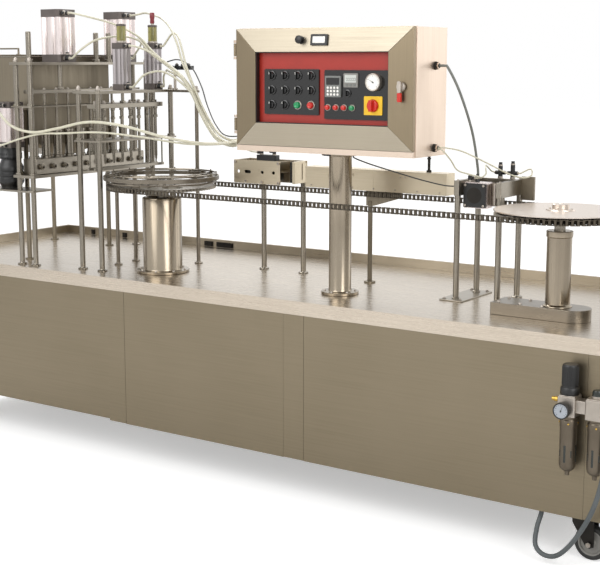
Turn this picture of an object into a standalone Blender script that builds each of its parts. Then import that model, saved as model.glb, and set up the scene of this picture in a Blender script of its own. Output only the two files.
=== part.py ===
"""Ice pop packing machine, in metres, +Z up, +X along the bench, front towards -Y.

A long cabinet on four casters carries a roller chain that runs level round two sprockets.
Behind the left end stand the hopper, the dosing pumps and the filling nozzles, along the rear
run stand two sealing stations and a heating channel, and a control box stands on a column
inside the loop. The air preparation unit hangs on the cabinet's front, at the right end.
"""
import bpy
import bmesh
from math import cos, hypot, pi, radians, sin
from mathutils import Matrix, Vector

# Clearances
GAP = 0.0003              # between meshes that touch
RUN = 0.001               # round a sliding or turning piece
LAP = 0.001               # how far shapes of one welded or cast piece run into each other

# Cabinet
BENCH_LENGTH = 3.477
BENCH_DEPTH = 0.98
BENCH_HEIGHT = 0.80
SHEET = 0.003
LIP_HEIGHT = 0.054
CABINET_BOTTOM = 0.167
PANEL_SHEET = 0.0015
PANEL_SETBACK = 0.003
PANEL_ROOM = 0.006        # from a panel's face to the legs behind it
PANEL_SEAM = 0.001
LEFT_PANEL_RAISED = 0.012
LEFT_PANEL_BACK = 0.003
STRIP_WIDTH = 0.095
STRIP_CENTRES = (-0.507, 0.4175, 1.666)
RIM_HEIGHT = 0.040
RIM_HEM = 0.013
LEG_SIZE = 0.040
RAIL_SHEET = 0.006
RAIL_HEIGHT = 0.040

# Casters
CASTER_X = 1.588
CASTER_Y = 0.405
WHEEL_RADIUS = 0.0625
WHEEL_WIDTH = 0.034
CASTER_TRAIL = 0.036
CASTER_PLATE = 0.006
FORK_SHEET = 0.004
FORK_CLEAR = 0.004
AXLE_RADIUS = 0.006
RACE_RADIUS = 0.036
RACE_HEIGHT = 0.012

# Roller chain, 19.05 mm pitch
PITCH = 0.01905
TEETH = 76
SPAN_LINKS = 97
ROLLER_RADIUS = 0.00595
ROLLER_HEIGHT = 0.0120
PLATE_HALF_HEIGHT = 0.0088
PLATE_STACK = 0.0049
CHAIN_Z = 1.173
CHAIN_CENTRE_Y = -0.23
TAIL_X = 1.391
TOOTH_WIDTH = 0.0110
TOOTH_TIP = 0.0045
TOOTH_ROOT = 0.0064
TOOTH_ROOT_HALF = 0.0040

# Columns that carry the sprockets
DRIVE_COLUMN_RADIUS = 0.085
DRIVE_COLUMN_DROP = 0.045
DRIVE_FLANGE_RADIUS = 0.115
FLANGE_HEIGHT = 0.012
SHAFT_RADIUS = 0.020
SHAFT_ROOM = 0.008
MOUTH_WALL = 0.020
MOUTH_DEPTH = 0.018
BEARING_HEIGHT = 0.022
HUB_RADIUS = 0.045
HUB_HEIGHT = 0.020
TAIL_COLUMN_RADIUS = 0.0445
TAIL_COLUMN_DROP = 0.055
TAIL_BASE_LENGTH = 0.360
TAIL_BASE_WIDTH = 0.130
TAIL_BASE_HEIGHT = 0.045
TAIL_BASE_OFFSET = -0.055
COVER_RADIUS = 0.237
COVER_SHEET = 0.004
CAP_RADIUS = 0.030
CAP_HEIGHT = 0.022
GEARBOX_SIZE = (0.24, 0.20, 0.20)
MOTOR_RADIUS = 0.070
MOTOR_LENGTH = 0.24

# Guide ring over the chain's left turn
RING_OUTER = 0.250
RING_INNER = 0.190
RING_SHEET = 0.004
RING_TOP = 1.222
RING_BAND = 0.028
RING_POST_RADIUS = 0.0085
RING_POSTS = ((-0.742, -0.205), (-0.752, -0.075), (-0.470, 0.034))

# Control box
BOX_LEFT = 0.078
BOX_WIDTH = 0.800
BOX_BACK = -0.140
BOX_DEPTH = 0.235
BOX_BOTTOM = 1.360
BOX_HEIGHT = 0.473
BOX_SHEET = 0.002
BOX_STRIP = 0.023
DOOR_EDGE = 0.015
DOOR_CROWN = 0.026
DOOR_BORDER_X = 0.100
DOOR_BORDER_Z = 0.089
PANEL_LAP = 0.010
BOX_COLUMN_X = 0.478
BOX_COLUMN_Y = -0.250
BOX_COLUMN_RADIUS = 0.0445
SWITCH_PITCH_X = 0.061
SWITCH_PITCH_Z = 0.056
SWITCH_FIRST_X = 0.244
SWITCH_TOP_Z = 1.655
BLOCK_HEIGHT = 0.006
SWITCH_RADIUS = 0.014
BUTTON_RADIUS = 0.012
KNOB_HEIGHT = 0.016

GLAND_LENGTH = 0.018
GLAND_RADIUS = 0.013
HINGE_LENGTH = 0.050

# Heating channel over the rear run
CHANNEL_LEFT = 0.165
CHANNEL_LENGTH = 0.665
CHANNEL_HALF_WIDTH = 0.034
CHANNEL_BOTTOM = 1.190
CHANNEL_TOP = 1.276
CHANNEL_POST_X = 0.440
POST_RADIUS = 0.010

# First sealing station
S1_LEFT = -0.205
S1_LENGTH = 0.245
S1_FRONT = -0.042
S1_DEPTH = 0.115
S1_BOTTOM = 1.190
S1_TOP = 1.290
S1_SHEET = 0.004
S1_END = 0.062

# Second sealing station
S2_LEFT = 0.920
S2_SQUARE = 0.175
S2_FRONT = -0.110
S2_FACE = 0.100
S2_BODY = 0.058
S2_CENTRE_Z = 1.206
S2_TOP = 1.262
JAW_THICK = 0.014
JAW_HEIGHT = 0.048
JAW_BOTTOM = 1.196
JAW_OPEN = 0.013
JAW_PIN_RADIUS = 0.005

# Hopper
HOPPER_LEFT = -1.620
HOPPER_LENGTH = 0.450
HOPPER_FRONT = -0.300
HOPPER_DEPTH = 0.520
HOPPER_TOP = 1.735
HOPPER_BOTTOM = 1.330
HOPPER_SHEET = 0.002
HOPPER_OUTLET_Z = 1.235
HOPPER_LEG_RADIUS = 0.011
LID_OVERHANG = 0.004

# Pump station
PUMP_X = -1.075
PUMP_WIDTH = 0.130
PUMP_FRONT = -0.455
PUMP_BACK = 0.360
PUMP_TOP = 1.704
PLATE_SHEET = 0.012
PUMP_POST_RADIUS = 0.0115
PUMP_POST_INSET = 0.022
BARREL_COUNT = 10
BARREL_RADIUS = 0.020
BARREL_TOP = 1.402
MANIFOLD_TOP = 1.276
MANIFOLD_BOTTOM = 1.206
GUIDE_PLATE_Z = 1.506
CROSSHEAD_Z = 1.566
CROSSHEAD_SHEET = 0.016
PISTON_ROD_RADIUS = 0.005
CYLINDER_ROD_RADIUS = 0.0125
BIG_CYLINDER_Y = (-0.205, 0.205)
BIG_CAP = 0.118
BIG_CAP_HEIGHT = 0.034
BIG_BORE_RADIUS = 0.054
BIG_CYLINDER_HEIGHT = 0.234

# Filling station
FILL_X = -0.735
FILL_WIDTH = 0.156
FILL_FRONT = -0.400
FILL_BACK = 0.120
FILL_TOP = 1.582
FILL_POST_INSET = 0.020
MED_CYLINDER_Y = (-0.160, 0.050)
MED_CAP = 0.066
MED_CAP_HEIGHT = 0.026
MED_BORE_RADIUS = 0.029
MED_CYLINDER_HEIGHT = 0.206
NOZZLE_COUNT = 8
NOZZLE_RADIUS = 0.0065
NOZZLE_BOTTOM = 1.262
CARRIAGE_Z = 1.505
NOZZLE_GUIDE_Z = 1.362
MOUTH_GUIDE_Z = 1.236

# Shelf and dosing valve at the left front
SHELF_Z = 1.139
SHELF_SHEET = 0.008
SHELF_LEFT = -1.330
SHELF_FRONT = -0.470
SHELF_DEPTH = 0.138
VALVE_X = -1.215
VALVE_Y = -0.392
VALVE_RADIUS = 0.058
VALVE_TOP = 1.322
SMALL_CAP = 0.100
SMALL_CAP_HEIGHT = 0.026
SMALL_BORE_RADIUS = 0.044
SMALL_CYLINDER_HEIGHT = 0.205

# Air preparation unit
UNIT_X = 1.573
UNIT_SPACING = 0.098
UNIT_SIZE = 0.064
UNIT_STAND_OFF = 0.042
ELBOW_DROP = 0.030
UNIT_BODY_TOP = 0.612
UNIT_BODY_BOTTOM = 0.452
BOWL_RADIUS = 0.029
BOWL_BOTTOM = 0.346
REGULATOR_RADIUS = 0.028
REGULATOR_TOP = 0.716
REGULATOR_SEAT = 0.634

# Tubes and cables
PORT_REACH = 0.012
TUBE_RADIUS = 0.004
HOSE_RADIUS = 0.0085
HOSE_EXIT_X = 1.452

# The frame's origin lies on the floor, at the middle of the machine's box in plan
ORIGIN_SHIFT_Y = 0.0525

# Derived places
HALF_LENGTH = BENCH_LENGTH / 2
HALF_DEPTH = BENCH_DEPTH / 2
PITCH_RADIUS = PITCH / (2 * sin(pi / TEETH))
DRIVE_X = TAIL_X - SPAN_LINKS * PITCH
FRAME_TOP = BENCH_HEIGHT - SHEET - GAP
WORK = BENCH_HEIGHT + GAP
CHAIN_TOP = CHAIN_Z + ROLLER_HEIGHT / 2 + GAP + PLATE_STACK
CHAIN_BOTTOM = CHAIN_Z - ROLLER_HEIGHT / 2 - GAP - PLATE_STACK
SPROCKET_TOP = CHAIN_Z + TOOTH_WIDTH / 2
SPROCKET_BOTTOM = CHAIN_Z - TOOTH_WIDTH / 2
DRIVE_COLUMN_TOP = CHAIN_Z - DRIVE_COLUMN_DROP
TAIL_COLUMN_TOP = CHAIN_Z - TAIL_COLUMN_DROP
DOOR_BACK = BOX_BACK - BOX_DEPTH - GAP
BOX_TOP = BOX_BOTTOM + BOX_HEIGHT
BOX_RIGHT = BOX_LEFT + BOX_WIDTH
DOOR_BOTTOM = BOX_BOTTOM + BOX_STRIP
HINGE_X = BOX_LEFT - 0.009
HINGE_Y = DOOR_BACK - 0.008
HINGE_HEIGHTS = (DOOR_BOTTOM + 0.055, BOX_TOP - 0.105)
GLANDS = ((BOX_RIGHT, BOX_BACK - 0.090, BOX_TOP - 0.140, 1),
          (BOX_RIGHT, BOX_BACK - 0.090, BOX_BOTTOM + 0.030, 1),
          (BOX_LEFT, BOX_BACK - 0.080, BOX_BOTTOM + 0.050, -1))
REAR_RUN_Y = CHAIN_CENTRE_Y + PITCH_RADIUS
UNIT_Y = -(HALF_DEPTH - PANEL_SETBACK) - UNIT_STAND_OFF
PUMP_LEFT = PUMP_X - PUMP_WIDTH / 2
PUMP_RIGHT = PUMP_X + PUMP_WIDTH / 2
FILL_LEFT = FILL_X - FILL_WIDTH / 2
FILL_RIGHT = FILL_X + FILL_WIDTH / 2

machine = bpy.data.collections.new("ice_pop_packing_machine")


def clearScene():
    for ob in list(bpy.data.objects):
        bpy.data.objects.remove(ob, do_unlink=True)
    for coll in list(bpy.data.collections):
        if coll != machine:
            bpy.data.collections.remove(coll)
    bpy.context.scene.collection.children.link(machine)


def material(name, colour, roughness, metallic):
    mat = bpy.data.materials.new(name)
    mat.use_nodes = True
    shader = mat.node_tree.nodes["Principled BSDF"]
    shader.inputs["Base Color"].default_value = (*colour, 1.0)
    shader.inputs["Roughness"].default_value = roughness
    shader.inputs["Metallic"].default_value = metallic
    return mat


def mergeFlat(bm):
    """Join neighbouring faces that lie in one plane, so that flat sides stay whole."""
    bmesh.ops.dissolve_limit(bm, angle_limit=radians(0.05), verts=bm.verts, edges=bm.edges,
                             use_dissolve_boundaries=False)


class Shape:
    """Closed bodies that overlap and are joined into one named piece, then cut."""

    def __init__(self):
        self.bodies = []
        self.cuts = []

    def keep(self, bm, matrix=None, cut=False):
        if matrix is not None:
            bmesh.ops.transform(bm, matrix=matrix, verts=bm.verts)
        mesh = bpy.data.meshes.new("body")
        bm.to_mesh(mesh)
        bm.free()
        (self.cuts if cut else self.bodies).append(mesh)

    def absorb(self, ob, matrix=Matrix.Identity(4), cut=False):
        """Take an object's evaluated mesh, weld its loose caps, and drop the object."""
        graph = bpy.context.evaluated_depsgraph_get()
        mesh = bpy.data.meshes.new_from_object(ob.evaluated_get(graph))
        part = bmesh.new()
        part.from_mesh(mesh)
        bmesh.ops.remove_doubles(part, verts=part.verts, dist=0.00002)
        mergeFlat(part)
        bmesh.ops.recalc_face_normals(part, faces=part.faces)
        data = ob.data
        bpy.data.objects.remove(ob, do_unlink=True)
        bpy.data.meshes.remove(mesh)
        if data.users == 0:
            (bpy.data.curves if isinstance(data, bpy.types.Curve) else bpy.data.meshes).remove(data)
        self.keep(part, matrix, cut)

    def box(self, x, y, z, bevel=0.0, cut=False):
        """A block between two corners, given as (low, high) on each axis."""
        size = Vector((x[1] - x[0], y[1] - y[0], z[1] - z[0]))
        middle = Vector(((x[0] + x[1]) / 2, (y[0] + y[1]) / 2, (z[0] + z[1]) / 2))
        bm = bmesh.new()
        bmesh.ops.create_cube(bm, size=1.0)
        bmesh.ops.scale(bm, vec=size, verts=bm.verts)
        bmesh.ops.translate(bm, vec=middle, verts=bm.verts)
        if bevel:
            upright = [e for e in bm.edges
                       if abs(e.verts[0].co.z - e.verts[1].co.z) > size.z * 0.5]
            bmesh.ops.bevel(bm, geom=upright, offset=bevel, segments=2, affect='EDGES', profile=0.5)
        self.keep(bm, cut=cut)

    def rod(self, start, end, radius, sides=16, tip=None, cut=False):
        """A round bar, or a taper where tip gives the radius at its end."""
        start = Vector(start)
        run = Vector(end) - start
        bm = bmesh.new()
        bmesh.ops.create_cone(bm, cap_ends=True, segments=sides, radius1=radius,
                              radius2=radius if tip is None else tip, depth=run.length)
        turn = Vector((0, 0, 1)).rotation_difference(run.normalized()).to_matrix().to_4x4()
        self.keep(bm, Matrix.Translation(start + run / 2) @ turn, cut)

    def post(self, x, y, low, high, radius, sides=16, cut=False):
        self.rod((x, y, low), (x, y, high), radius, sides, cut=cut)

    def plate(self, outline, low, high, holes=(), matrix=Matrix.Identity(4), cut=False):
        """A flat outline with holes, given thickness from low to high along its normal."""
        curve = bpy.data.curves.new("outline", 'CURVE')
        curve.dimensions = '2D'
        curve.fill_mode = 'BOTH'
        curve.extrude = (high - low) / 2
        for loop in (outline, *holes):
            spline = curve.splines.new('POLY')
            spline.points.add(len(loop) - 1)
            for point, (x, y) in zip(spline.points, loop):
                point.co = (x, y, 0, 1)
            spline.use_cyclic_u = True
        ob = bpy.data.objects.new("outline", curve)
        machine.objects.link(ob)
        bpy.context.view_layer.update()
        self.absorb(ob, matrix @ Matrix.Translation((0, 0, (low + high) / 2)), cut)

    def turned(self, profile, x, y, steps=24, matrix=Matrix.Identity(4), closed=False):
        """A profile of (radius, height) points, top to bottom down its outer side, spun round Z."""
        mesh = bpy.data.meshes.new("profile")
        edges = [(i, i + 1) for i in range(len(profile) - 1)]
        if closed:
            edges.append((len(profile) - 1, 0))
        mesh.from_pydata([(r, 0, z) for r, z in profile], edges, [])
        ob = bpy.data.objects.new("profile", mesh)
        machine.objects.link(ob)
        screw = ob.modifiers.new("Screw", 'SCREW')
        screw.steps = steps
        screw.render_steps = steps
        screw.use_merge_vertices = True
        screw.merge_threshold = 0.00001
        bpy.context.view_layer.update()
        self.absorb(ob, matrix @ Matrix.Translation((x, y, 0)))

    def ring(self, x, y, low, high, outer, inner, steps=24):
        self.turned([(outer, high), (outer, low), (inner, low), (inner, high)], x, y, steps,
                    closed=True)

    def tube(self, points, radius, resolution=2):
        """A round tube through the points, with filled ends."""
        curve = bpy.data.curves.new("route", 'CURVE')
        curve.dimensions = '3D'
        curve.bevel_depth = radius
        curve.bevel_resolution = resolution
        curve.use_fill_caps = True
        spline = curve.splines.new('POLY')
        spline.points.add(len(points) - 1)
        for point, co in zip(spline.points, points):
            point.co = (*co, 1)
        ob = bpy.data.objects.new("route", curve)
        machine.objects.link(ob)
        bpy.context.view_layer.update()
        self.absorb(ob)

    def thicken(self, mesh, wall):
        """An open surface, given its wall inwards."""
        ob = bpy.data.objects.new("sheet", mesh)
        machine.objects.link(ob)
        solid = ob.modifiers.new("Solidify", 'SOLIDIFY')
        solid.thickness = wall
        solid.offset = -1
        solid.use_even_offset = True
        bpy.context.view_layer.update()
        self.absorb(ob)

    def pan(self, x, y, z, wall, open_side):
        """A folded sheet box with one side open, its outer faces on the given corners."""
        mesh = bpy.data.meshes.new("pan")
        part = bmesh.new()
        bmesh.ops.create_cube(part, size=1.0)
        facing = Vector(open_side)
        gone = [f for f in part.faces if f.normal.dot(facing) > 0.9]
        bmesh.ops.delete(part, geom=gone, context='FACES_ONLY')
        bmesh.ops.scale(part, vec=(x[1] - x[0], y[1] - y[0], z[1] - z[0]), verts=part.verts)
        bmesh.ops.translate(part, vec=((x[0] + x[1]) / 2, (y[0] + y[1]) / 2, (z[0] + z[1]) / 2),
                            verts=part.verts)
        part.to_mesh(mesh)
        part.free()
        self.thicken(mesh, wall)

    def joined(self):
        """One mesh: the first body with the others joined to it and the cuts taken out."""
        if len(self.bodies) == 1 and not self.cuts:
            return self.bodies[0]
        base = bpy.data.objects.new("base", self.bodies[0])
        machine.objects.link(base)
        helpers = []
        for operation, meshes in (('UNION', self.bodies[1:]), ('DIFFERENCE', self.cuts)):
            if not meshes:
                continue
            group = bpy.data.collections.new("cutters " + operation.lower())
            bpy.context.scene.collection.children.link(group)
            for mesh in meshes:
                ob = bpy.data.objects.new("helper", mesh)
                ob.hide_render = True
                ob.display_type = 'WIRE'
                group.objects.link(ob)
            tool = base.modifiers.new(operation, 'BOOLEAN')
            tool.operation = operation
            tool.solver = 'EXACT'
            tool.operand_type = 'COLLECTION'
            tool.collection = group
            helpers.append(group)
        bpy.context.view_layer.update()
        graph = bpy.context.evaluated_depsgraph_get()
        mesh = bpy.data.meshes.new_from_object(base.evaluated_get(graph))
        bpy.data.objects.remove(base, do_unlink=True)
        for group in helpers:
            for ob in list(group.objects):
                bpy.data.objects.remove(ob, do_unlink=True)
            bpy.data.collections.remove(group)
        for old in (*self.bodies, *self.cuts):
            bpy.data.meshes.remove(old)
        return mesh

    def finish(self, name, colour, roughness=0.4, metallic=0.0, pivot=(0, 0, 0), angle=35):
        mesh = self.joined()
        mesh.name = name
        mesh.transform(Matrix.Translation(-Vector(pivot)))
        mesh.shade_smooth()
        mesh.set_sharp_from_angle(angle=radians(angle))
        mesh.materials.clear()
        mesh.materials.append(material(name, colour, roughness, metallic))
        ob = bpy.data.objects.new(name, mesh)
        ob.location = pivot
        machine.objects.link(ob)
        return ob


def rectangle(x, y):
    return [(x[0], y[0]), (x[1], y[0]), (x[1], y[1]), (x[0], y[1])]


def circle(x, y, radius, sides=16, start=0.0):
    return [(x + radius * cos(start + 2 * pi * i / sides), y + radius * sin(start + 2 * pi * i / sides))
            for i in range(sides)]


def roundedRectangle(x, y, radius, corners=(1, 1, 1, 1), steps=3):
    """Corners are counted from the low X, low Y one, anticlockwise; 0 leaves one square."""
    middles = ((x[0] + radius, y[0] + radius, pi), (x[1] - radius, y[0] + radius, 1.5 * pi),
               (x[1] - radius, y[1] - radius, 0.0), (x[0] + radius, y[1] - radius, 0.5 * pi))
    square = rectangle(x, y)
    points = []
    for (mx, my, start), corner, use in zip(middles, square, corners):
        if not use:
            points.append(corner)
            continue
        for i in range(steps + 1):
            a = start + 0.5 * pi * i / steps
            points.append((mx + radius * cos(a), my + radius * sin(a)))
    return points


def bore(x, y, radius, sides=8):
    """A round hole's outline whose flats lie at the radius, so that a rod of that size clears it."""
    return circle(x, y, radius / cos(pi / sides), sides)


def spread(first, last, count):
    return [first + (last - first) * i / (count - 1) for i in range(count)]


def smoothRoute(knots, spacing):
    """Points on a smooth curve through the knots, evenly enough for a tube."""
    knots = [Vector(k) for k in knots]
    ends = [2 * knots[0] - knots[1], *knots, 2 * knots[-1] - knots[-2]]
    points = []
    for a, b, c, d in zip(ends, ends[1:], ends[2:], ends[3:]):
        steps = max(1, round((c - b).length / spacing))
        for i in range(steps):
            t = i / steps
            points.append(0.5 * ((2 * b) + (c - a) * t + (2 * a - 5 * b + 4 * c - d) * t * t
                                 + (3 * b - a - 3 * c + d) * t ** 3))
    points.append(knots[-1])
    return points


# Steel and plastic colours
STAINLESS = (0.42, 0.39, 0.35)
POLISHED = (0.60, 0.57, 0.53)
PANEL_STEEL = (0.27, 0.24, 0.19)
DARK_STEEL = (0.10, 0.09, 0.08)
BLACK = (0.015, 0.015, 0.016)
ALUMINIUM = (0.62, 0.58, 0.57)
RED = (0.52, 0.03, 0.03)


def buildBench():
    """Folded worktop with a lip all round, and the upstand that is fixed along three sides."""
    top = Shape()
    x = (-HALF_LENGTH, HALF_LENGTH)
    y = (-HALF_DEPTH, HALF_DEPTH)
    top.pan(x, y, (BENCH_HEIGHT - LIP_HEIGHT, BENCH_HEIGHT), SHEET, (0, 0, -1))
    rim = Shape()
    high = BENCH_HEIGHT + RIM_HEIGHT
    off = 0.0005
    left = -HALF_LENGTH + off
    right = HALF_LENGTH - off
    front = -HALF_DEPTH + off
    back = HALF_DEPTH - off
    for reach, low, top_z in ((SHEET, WORK, high - SHEET / 2),
                              (SHEET + RIM_HEM, high - SHEET, high)):
        outline = [(left, front), (left + reach, front), (left + reach, back - reach),
                   (right - reach, back - reach), (right - reach, front), (right, front),
                   (right, back), (left, back)]
        rim.plate(outline, low, top_z)
    rim.finish("bench_rim", STAINLESS, 0.32, 1.0)
    top.post(DRIVE_X, CHAIN_CENTRE_Y, BENCH_HEIGHT - 0.02, BENCH_HEIGHT + 0.02,
             SHAFT_RADIUS + SHAFT_ROOM, 16, cut=True)
    top.post(BOX_COLUMN_X, BOX_COLUMN_Y, BENCH_HEIGHT - 0.02, BENCH_HEIGHT + 0.02,
             BOX_COLUMN_RADIUS * 0.6, 16, cut=True)
    top.finish("bench_worktop", STAINLESS, 0.32, 1.0)


def frameColumns():
    end = HALF_LENGTH - PANEL_SETBACK - PANEL_SHEET - PANEL_ROOM - LEG_SIZE / 2
    return (-end, STRIP_CENTRES[0], STRIP_CENTRES[1], end)


def buildFrame():
    """Welded legs and flat rails, with the end skins, the strips and the caster plates."""
    frame = Shape()
    columns = frameColumns()
    face = HALF_DEPTH - PANEL_SETBACK
    half = LEG_SIZE / 2
    leg_y = face - PANEL_ROOM - half
    rail = RAIL_SHEET / 2
    lip_low = BENCH_HEIGHT - LIP_HEIGHT
    heights = ((CABINET_BOTTOM + 0.0005, CABINET_BOTTOM + RAIL_HEIGHT),
               (lip_low - 0.012, FRAME_TOP - 0.001))
    inside = leg_y - half + LAP
    for x in columns:
        for y in (-leg_y, leg_y):
            frame.box((x - half, x + half), (y - half, y + half), (CABINET_BOTTOM + 0.001, FRAME_TOP))
        frame.box((x - rail, x + rail), (-inside, inside), heights[0])
        # the gearmotor hangs where the second column's upper rail would be
        if x != columns[1]:
            frame.box((x - rail, x + rail), (-inside, inside), heights[1])
    for left, right in zip(columns, columns[1:]):
        for y in (-leg_y, leg_y):
            for z in heights:
                frame.box((left + half - LAP, right - half + LAP), (y - rail, y + rail), z)
    # caster plates under the legs, tied across the cabinet
    for x in (-CASTER_X, CASTER_X):
        frame.box((x - 0.055, x + 0.055), (-leg_y - rail + 0.001, leg_y + rail - 0.001),
                  (CABINET_BOTTOM + 0.002 - CASTER_PLATE, CABINET_BOTTOM + 0.002))
    # strips that cover the inner legs at the front
    front = (-face - 0.0005, -leg_y - half + LAP)
    tall = (CABINET_BOTTOM + 0.0015, lip_low - 0.001)
    for centre in STRIP_CENTRES:
        frame.box((centre - STRIP_WIDTH / 2, centre + STRIP_WIDTH / 2), front, tall)
    # end skins, welded to the cross rails; the right one is folded round the front corner
    outer = HALF_LENGTH - PANEL_SETBACK
    for side in (-1, 1):
        frame.box(sorted((side * outer, side * (outer - PANEL_SHEET))), (-face + 0.004, face - 0.004),
                  (CABINET_BOTTOM, lip_low - 0.0015))
        for z in heights:
            tie = (columns[3], outer - PANEL_SHEET / 2)
            frame.box(sorted((side * tie[0], side * tie[1])), (-0.1, 0.1), (z[0] + 0.001, z[0] + 0.008))
    frame.box((STRIP_CENTRES[2] + STRIP_WIDTH / 2 + 0.001, outer - 0.0003), (front[0], front[1] - 0.0005), tall)
    frame.finish("bench_frame", PANEL_STEEL, 0.45, 1.0)


def notch(panel, side):
    """Clear the panel's folded edges round the legs on one long side of the cabinet."""
    legs = HALF_DEPTH - PANEL_SETBACK - PANEL_ROOM + RUN
    half = LEG_SIZE / 2 + RUN
    for x in frameColumns():
        panel.box((x - half, x + half), sorted((side * legs, side * (legs - LEG_SIZE))),
                  (0, BENCH_HEIGHT), cut=True)


def buildPanels():
    """Shallow folded trays that seat on the rails, between the strips."""
    high = BENCH_HEIGHT - LIP_HEIGHT - 0.001
    face = HALF_DEPTH - PANEL_SETBACK
    end = HALF_LENGTH - PANEL_SETBACK - PANEL_SHEET - GAP
    seat = face - PANEL_ROOM - LEG_SIZE / 2 + RAIL_SHEET / 2 + GAP
    starts = (-end, *(c + STRIP_WIDTH / 2 + PANEL_SEAM for c in STRIP_CENTRES[:2]))
    stops = [c - STRIP_WIDTH / 2 - PANEL_SEAM for c in STRIP_CENTRES]
    for name, left, right in zip(("left", "middle", "right"), starts, stops):
        raised = LEFT_PANEL_RAISED if name == "left" else 0.0
        back = LEFT_PANEL_BACK if name == "left" else 0.0
        panel = Shape()
        panel.pan((left, right), (-face + back, -seat), (CABINET_BOTTOM + raised, high),
                  PANEL_SHEET, (0, 1, 0))
        if name == "left":
            notch(panel, -1)
        panel.finish("front_panel_" + name, PANEL_STEEL, 0.42, 1.0)

    rear = Shape()
    rear.pan((-end, end), (seat, face), (CABINET_BOTTOM, high), PANEL_SHEET, (0, -1, 0))
    for x in STRIP_CENTRES[:2]:
        for side in (-1, 1):
            edge = x + side * STRIP_WIDTH / 2
            rear.box((edge - PANEL_SEAM, edge + PANEL_SEAM), (face - PANEL_SHEET / 2, face + 0.01),
                     (CABINET_BOTTOM - 0.01, high + 0.01), cut=True)
    notch(rear, 1)
    rear.finish("rear_panel", PANEL_STEEL, 0.42, 1.0)


def buildCasters():
    top = CABINET_BOTTOM + 0.002 - CASTER_PLATE - GAP
    for name, sx, sy in (("front_left", -1, -1), ("front_right", 1, -1),
                         ("rear_left", -1, 1), ("rear_right", 1, 1)):
        x = sx * CASTER_X
        y = sy * CASTER_Y
        axle_x = x + CASTER_TRAIL
        inner = WHEEL_WIDTH / 2 + FORK_CLEAR
        fork = Shape()
        fork.post(x, y, top - RACE_HEIGHT, top, RACE_RADIUS, 10)
        crown = top - RACE_HEIGHT + LAP
        fork.box((x - 0.032, axle_x + 0.013), (y - inner - FORK_SHEET, y + inner + FORK_SHEET),
                 (crown - FORK_SHEET, crown))
        cheek_top = crown - FORK_SHEET + LAP
        outline = [(x - 0.031, cheek_top), (x - 0.029, cheek_top - 0.018),
                   (axle_x - 0.014, WHEEL_RADIUS - 0.012), (axle_x, WHEEL_RADIUS - 0.017),
                   (axle_x + 0.014, WHEEL_RADIUS - 0.010), (axle_x + 0.016, WHEEL_RADIUS + 0.02),
                   (axle_x + 0.012, cheek_top)]
        upright = Matrix.Rotation(pi / 2, 4, 'X')
        for side in (-1, 1):
            middle = y + side * (inner + FORK_SHEET / 2)
            fork.plate(outline, -FORK_SHEET / 2 + 0.0003, FORK_SHEET / 2 - 0.0003, [],
                       Matrix.Translation((0, middle, 0)) @ upright)
        reach = inner + FORK_SHEET + 0.004
        fork.rod((axle_x, y - reach, WHEEL_RADIUS), (axle_x, y + reach, WHEEL_RADIUS),
                 AXLE_RADIUS, 6)
        fork.finish("caster_fork_" + name, BLACK, 0.45, 0.6, (x, y, top))

        wheel = Shape()
        half = WHEEL_WIDTH / 2
        bore = AXLE_RADIUS + RUN
        profile = [(WHEEL_RADIUS - 0.004, half), (WHEEL_RADIUS, half - 0.006),
                   (WHEEL_RADIUS, -half + 0.006), (WHEEL_RADIUS - 0.004, -half), (bore, -half),
                   (bore, half)]
        lay = Matrix.Translation((axle_x, y, WHEEL_RADIUS)) @ Matrix.Rotation(pi / 2, 4, 'X')
        wheel.turned(profile, 0, 0, 16, lay, closed=True)
        wheel.finish("caster_wheel_" + name, BLACK, 0.6, 0.0, (axle_x, y, WHEEL_RADIUS))


def toothOutline(x, y):
    """A sprocket's outline: a flat root under every roller and a pointed tooth between two."""
    step = 2 * pi / TEETH
    root = PITCH_RADIUS - TOOTH_ROOT
    tip = PITCH_RADIUS + TOOTH_TIP
    points = []
    for i in range(TEETH):
        a = i * step
        for radius, turn in ((root, -TOOTH_ROOT_HALF / root), (root, TOOTH_ROOT_HALF / root),
                             (tip, step / 2)):
            points.append((x + radius * cos(a + turn), y + radius * sin(a + turn)))
    return points


def sprocket(wheel, x, lightening):
    y = CHAIN_CENTRE_Y
    holes = []
    for i in range(lightening):
        a = 2 * pi * (i + 0.5) / lightening
        holes.append(circle(x + 0.135 * cos(a), y + 0.135 * sin(a), 0.048, 8, a))
    wheel.plate(toothOutline(x, y), SPROCKET_BOTTOM, SPROCKET_TOP, holes)


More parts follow.
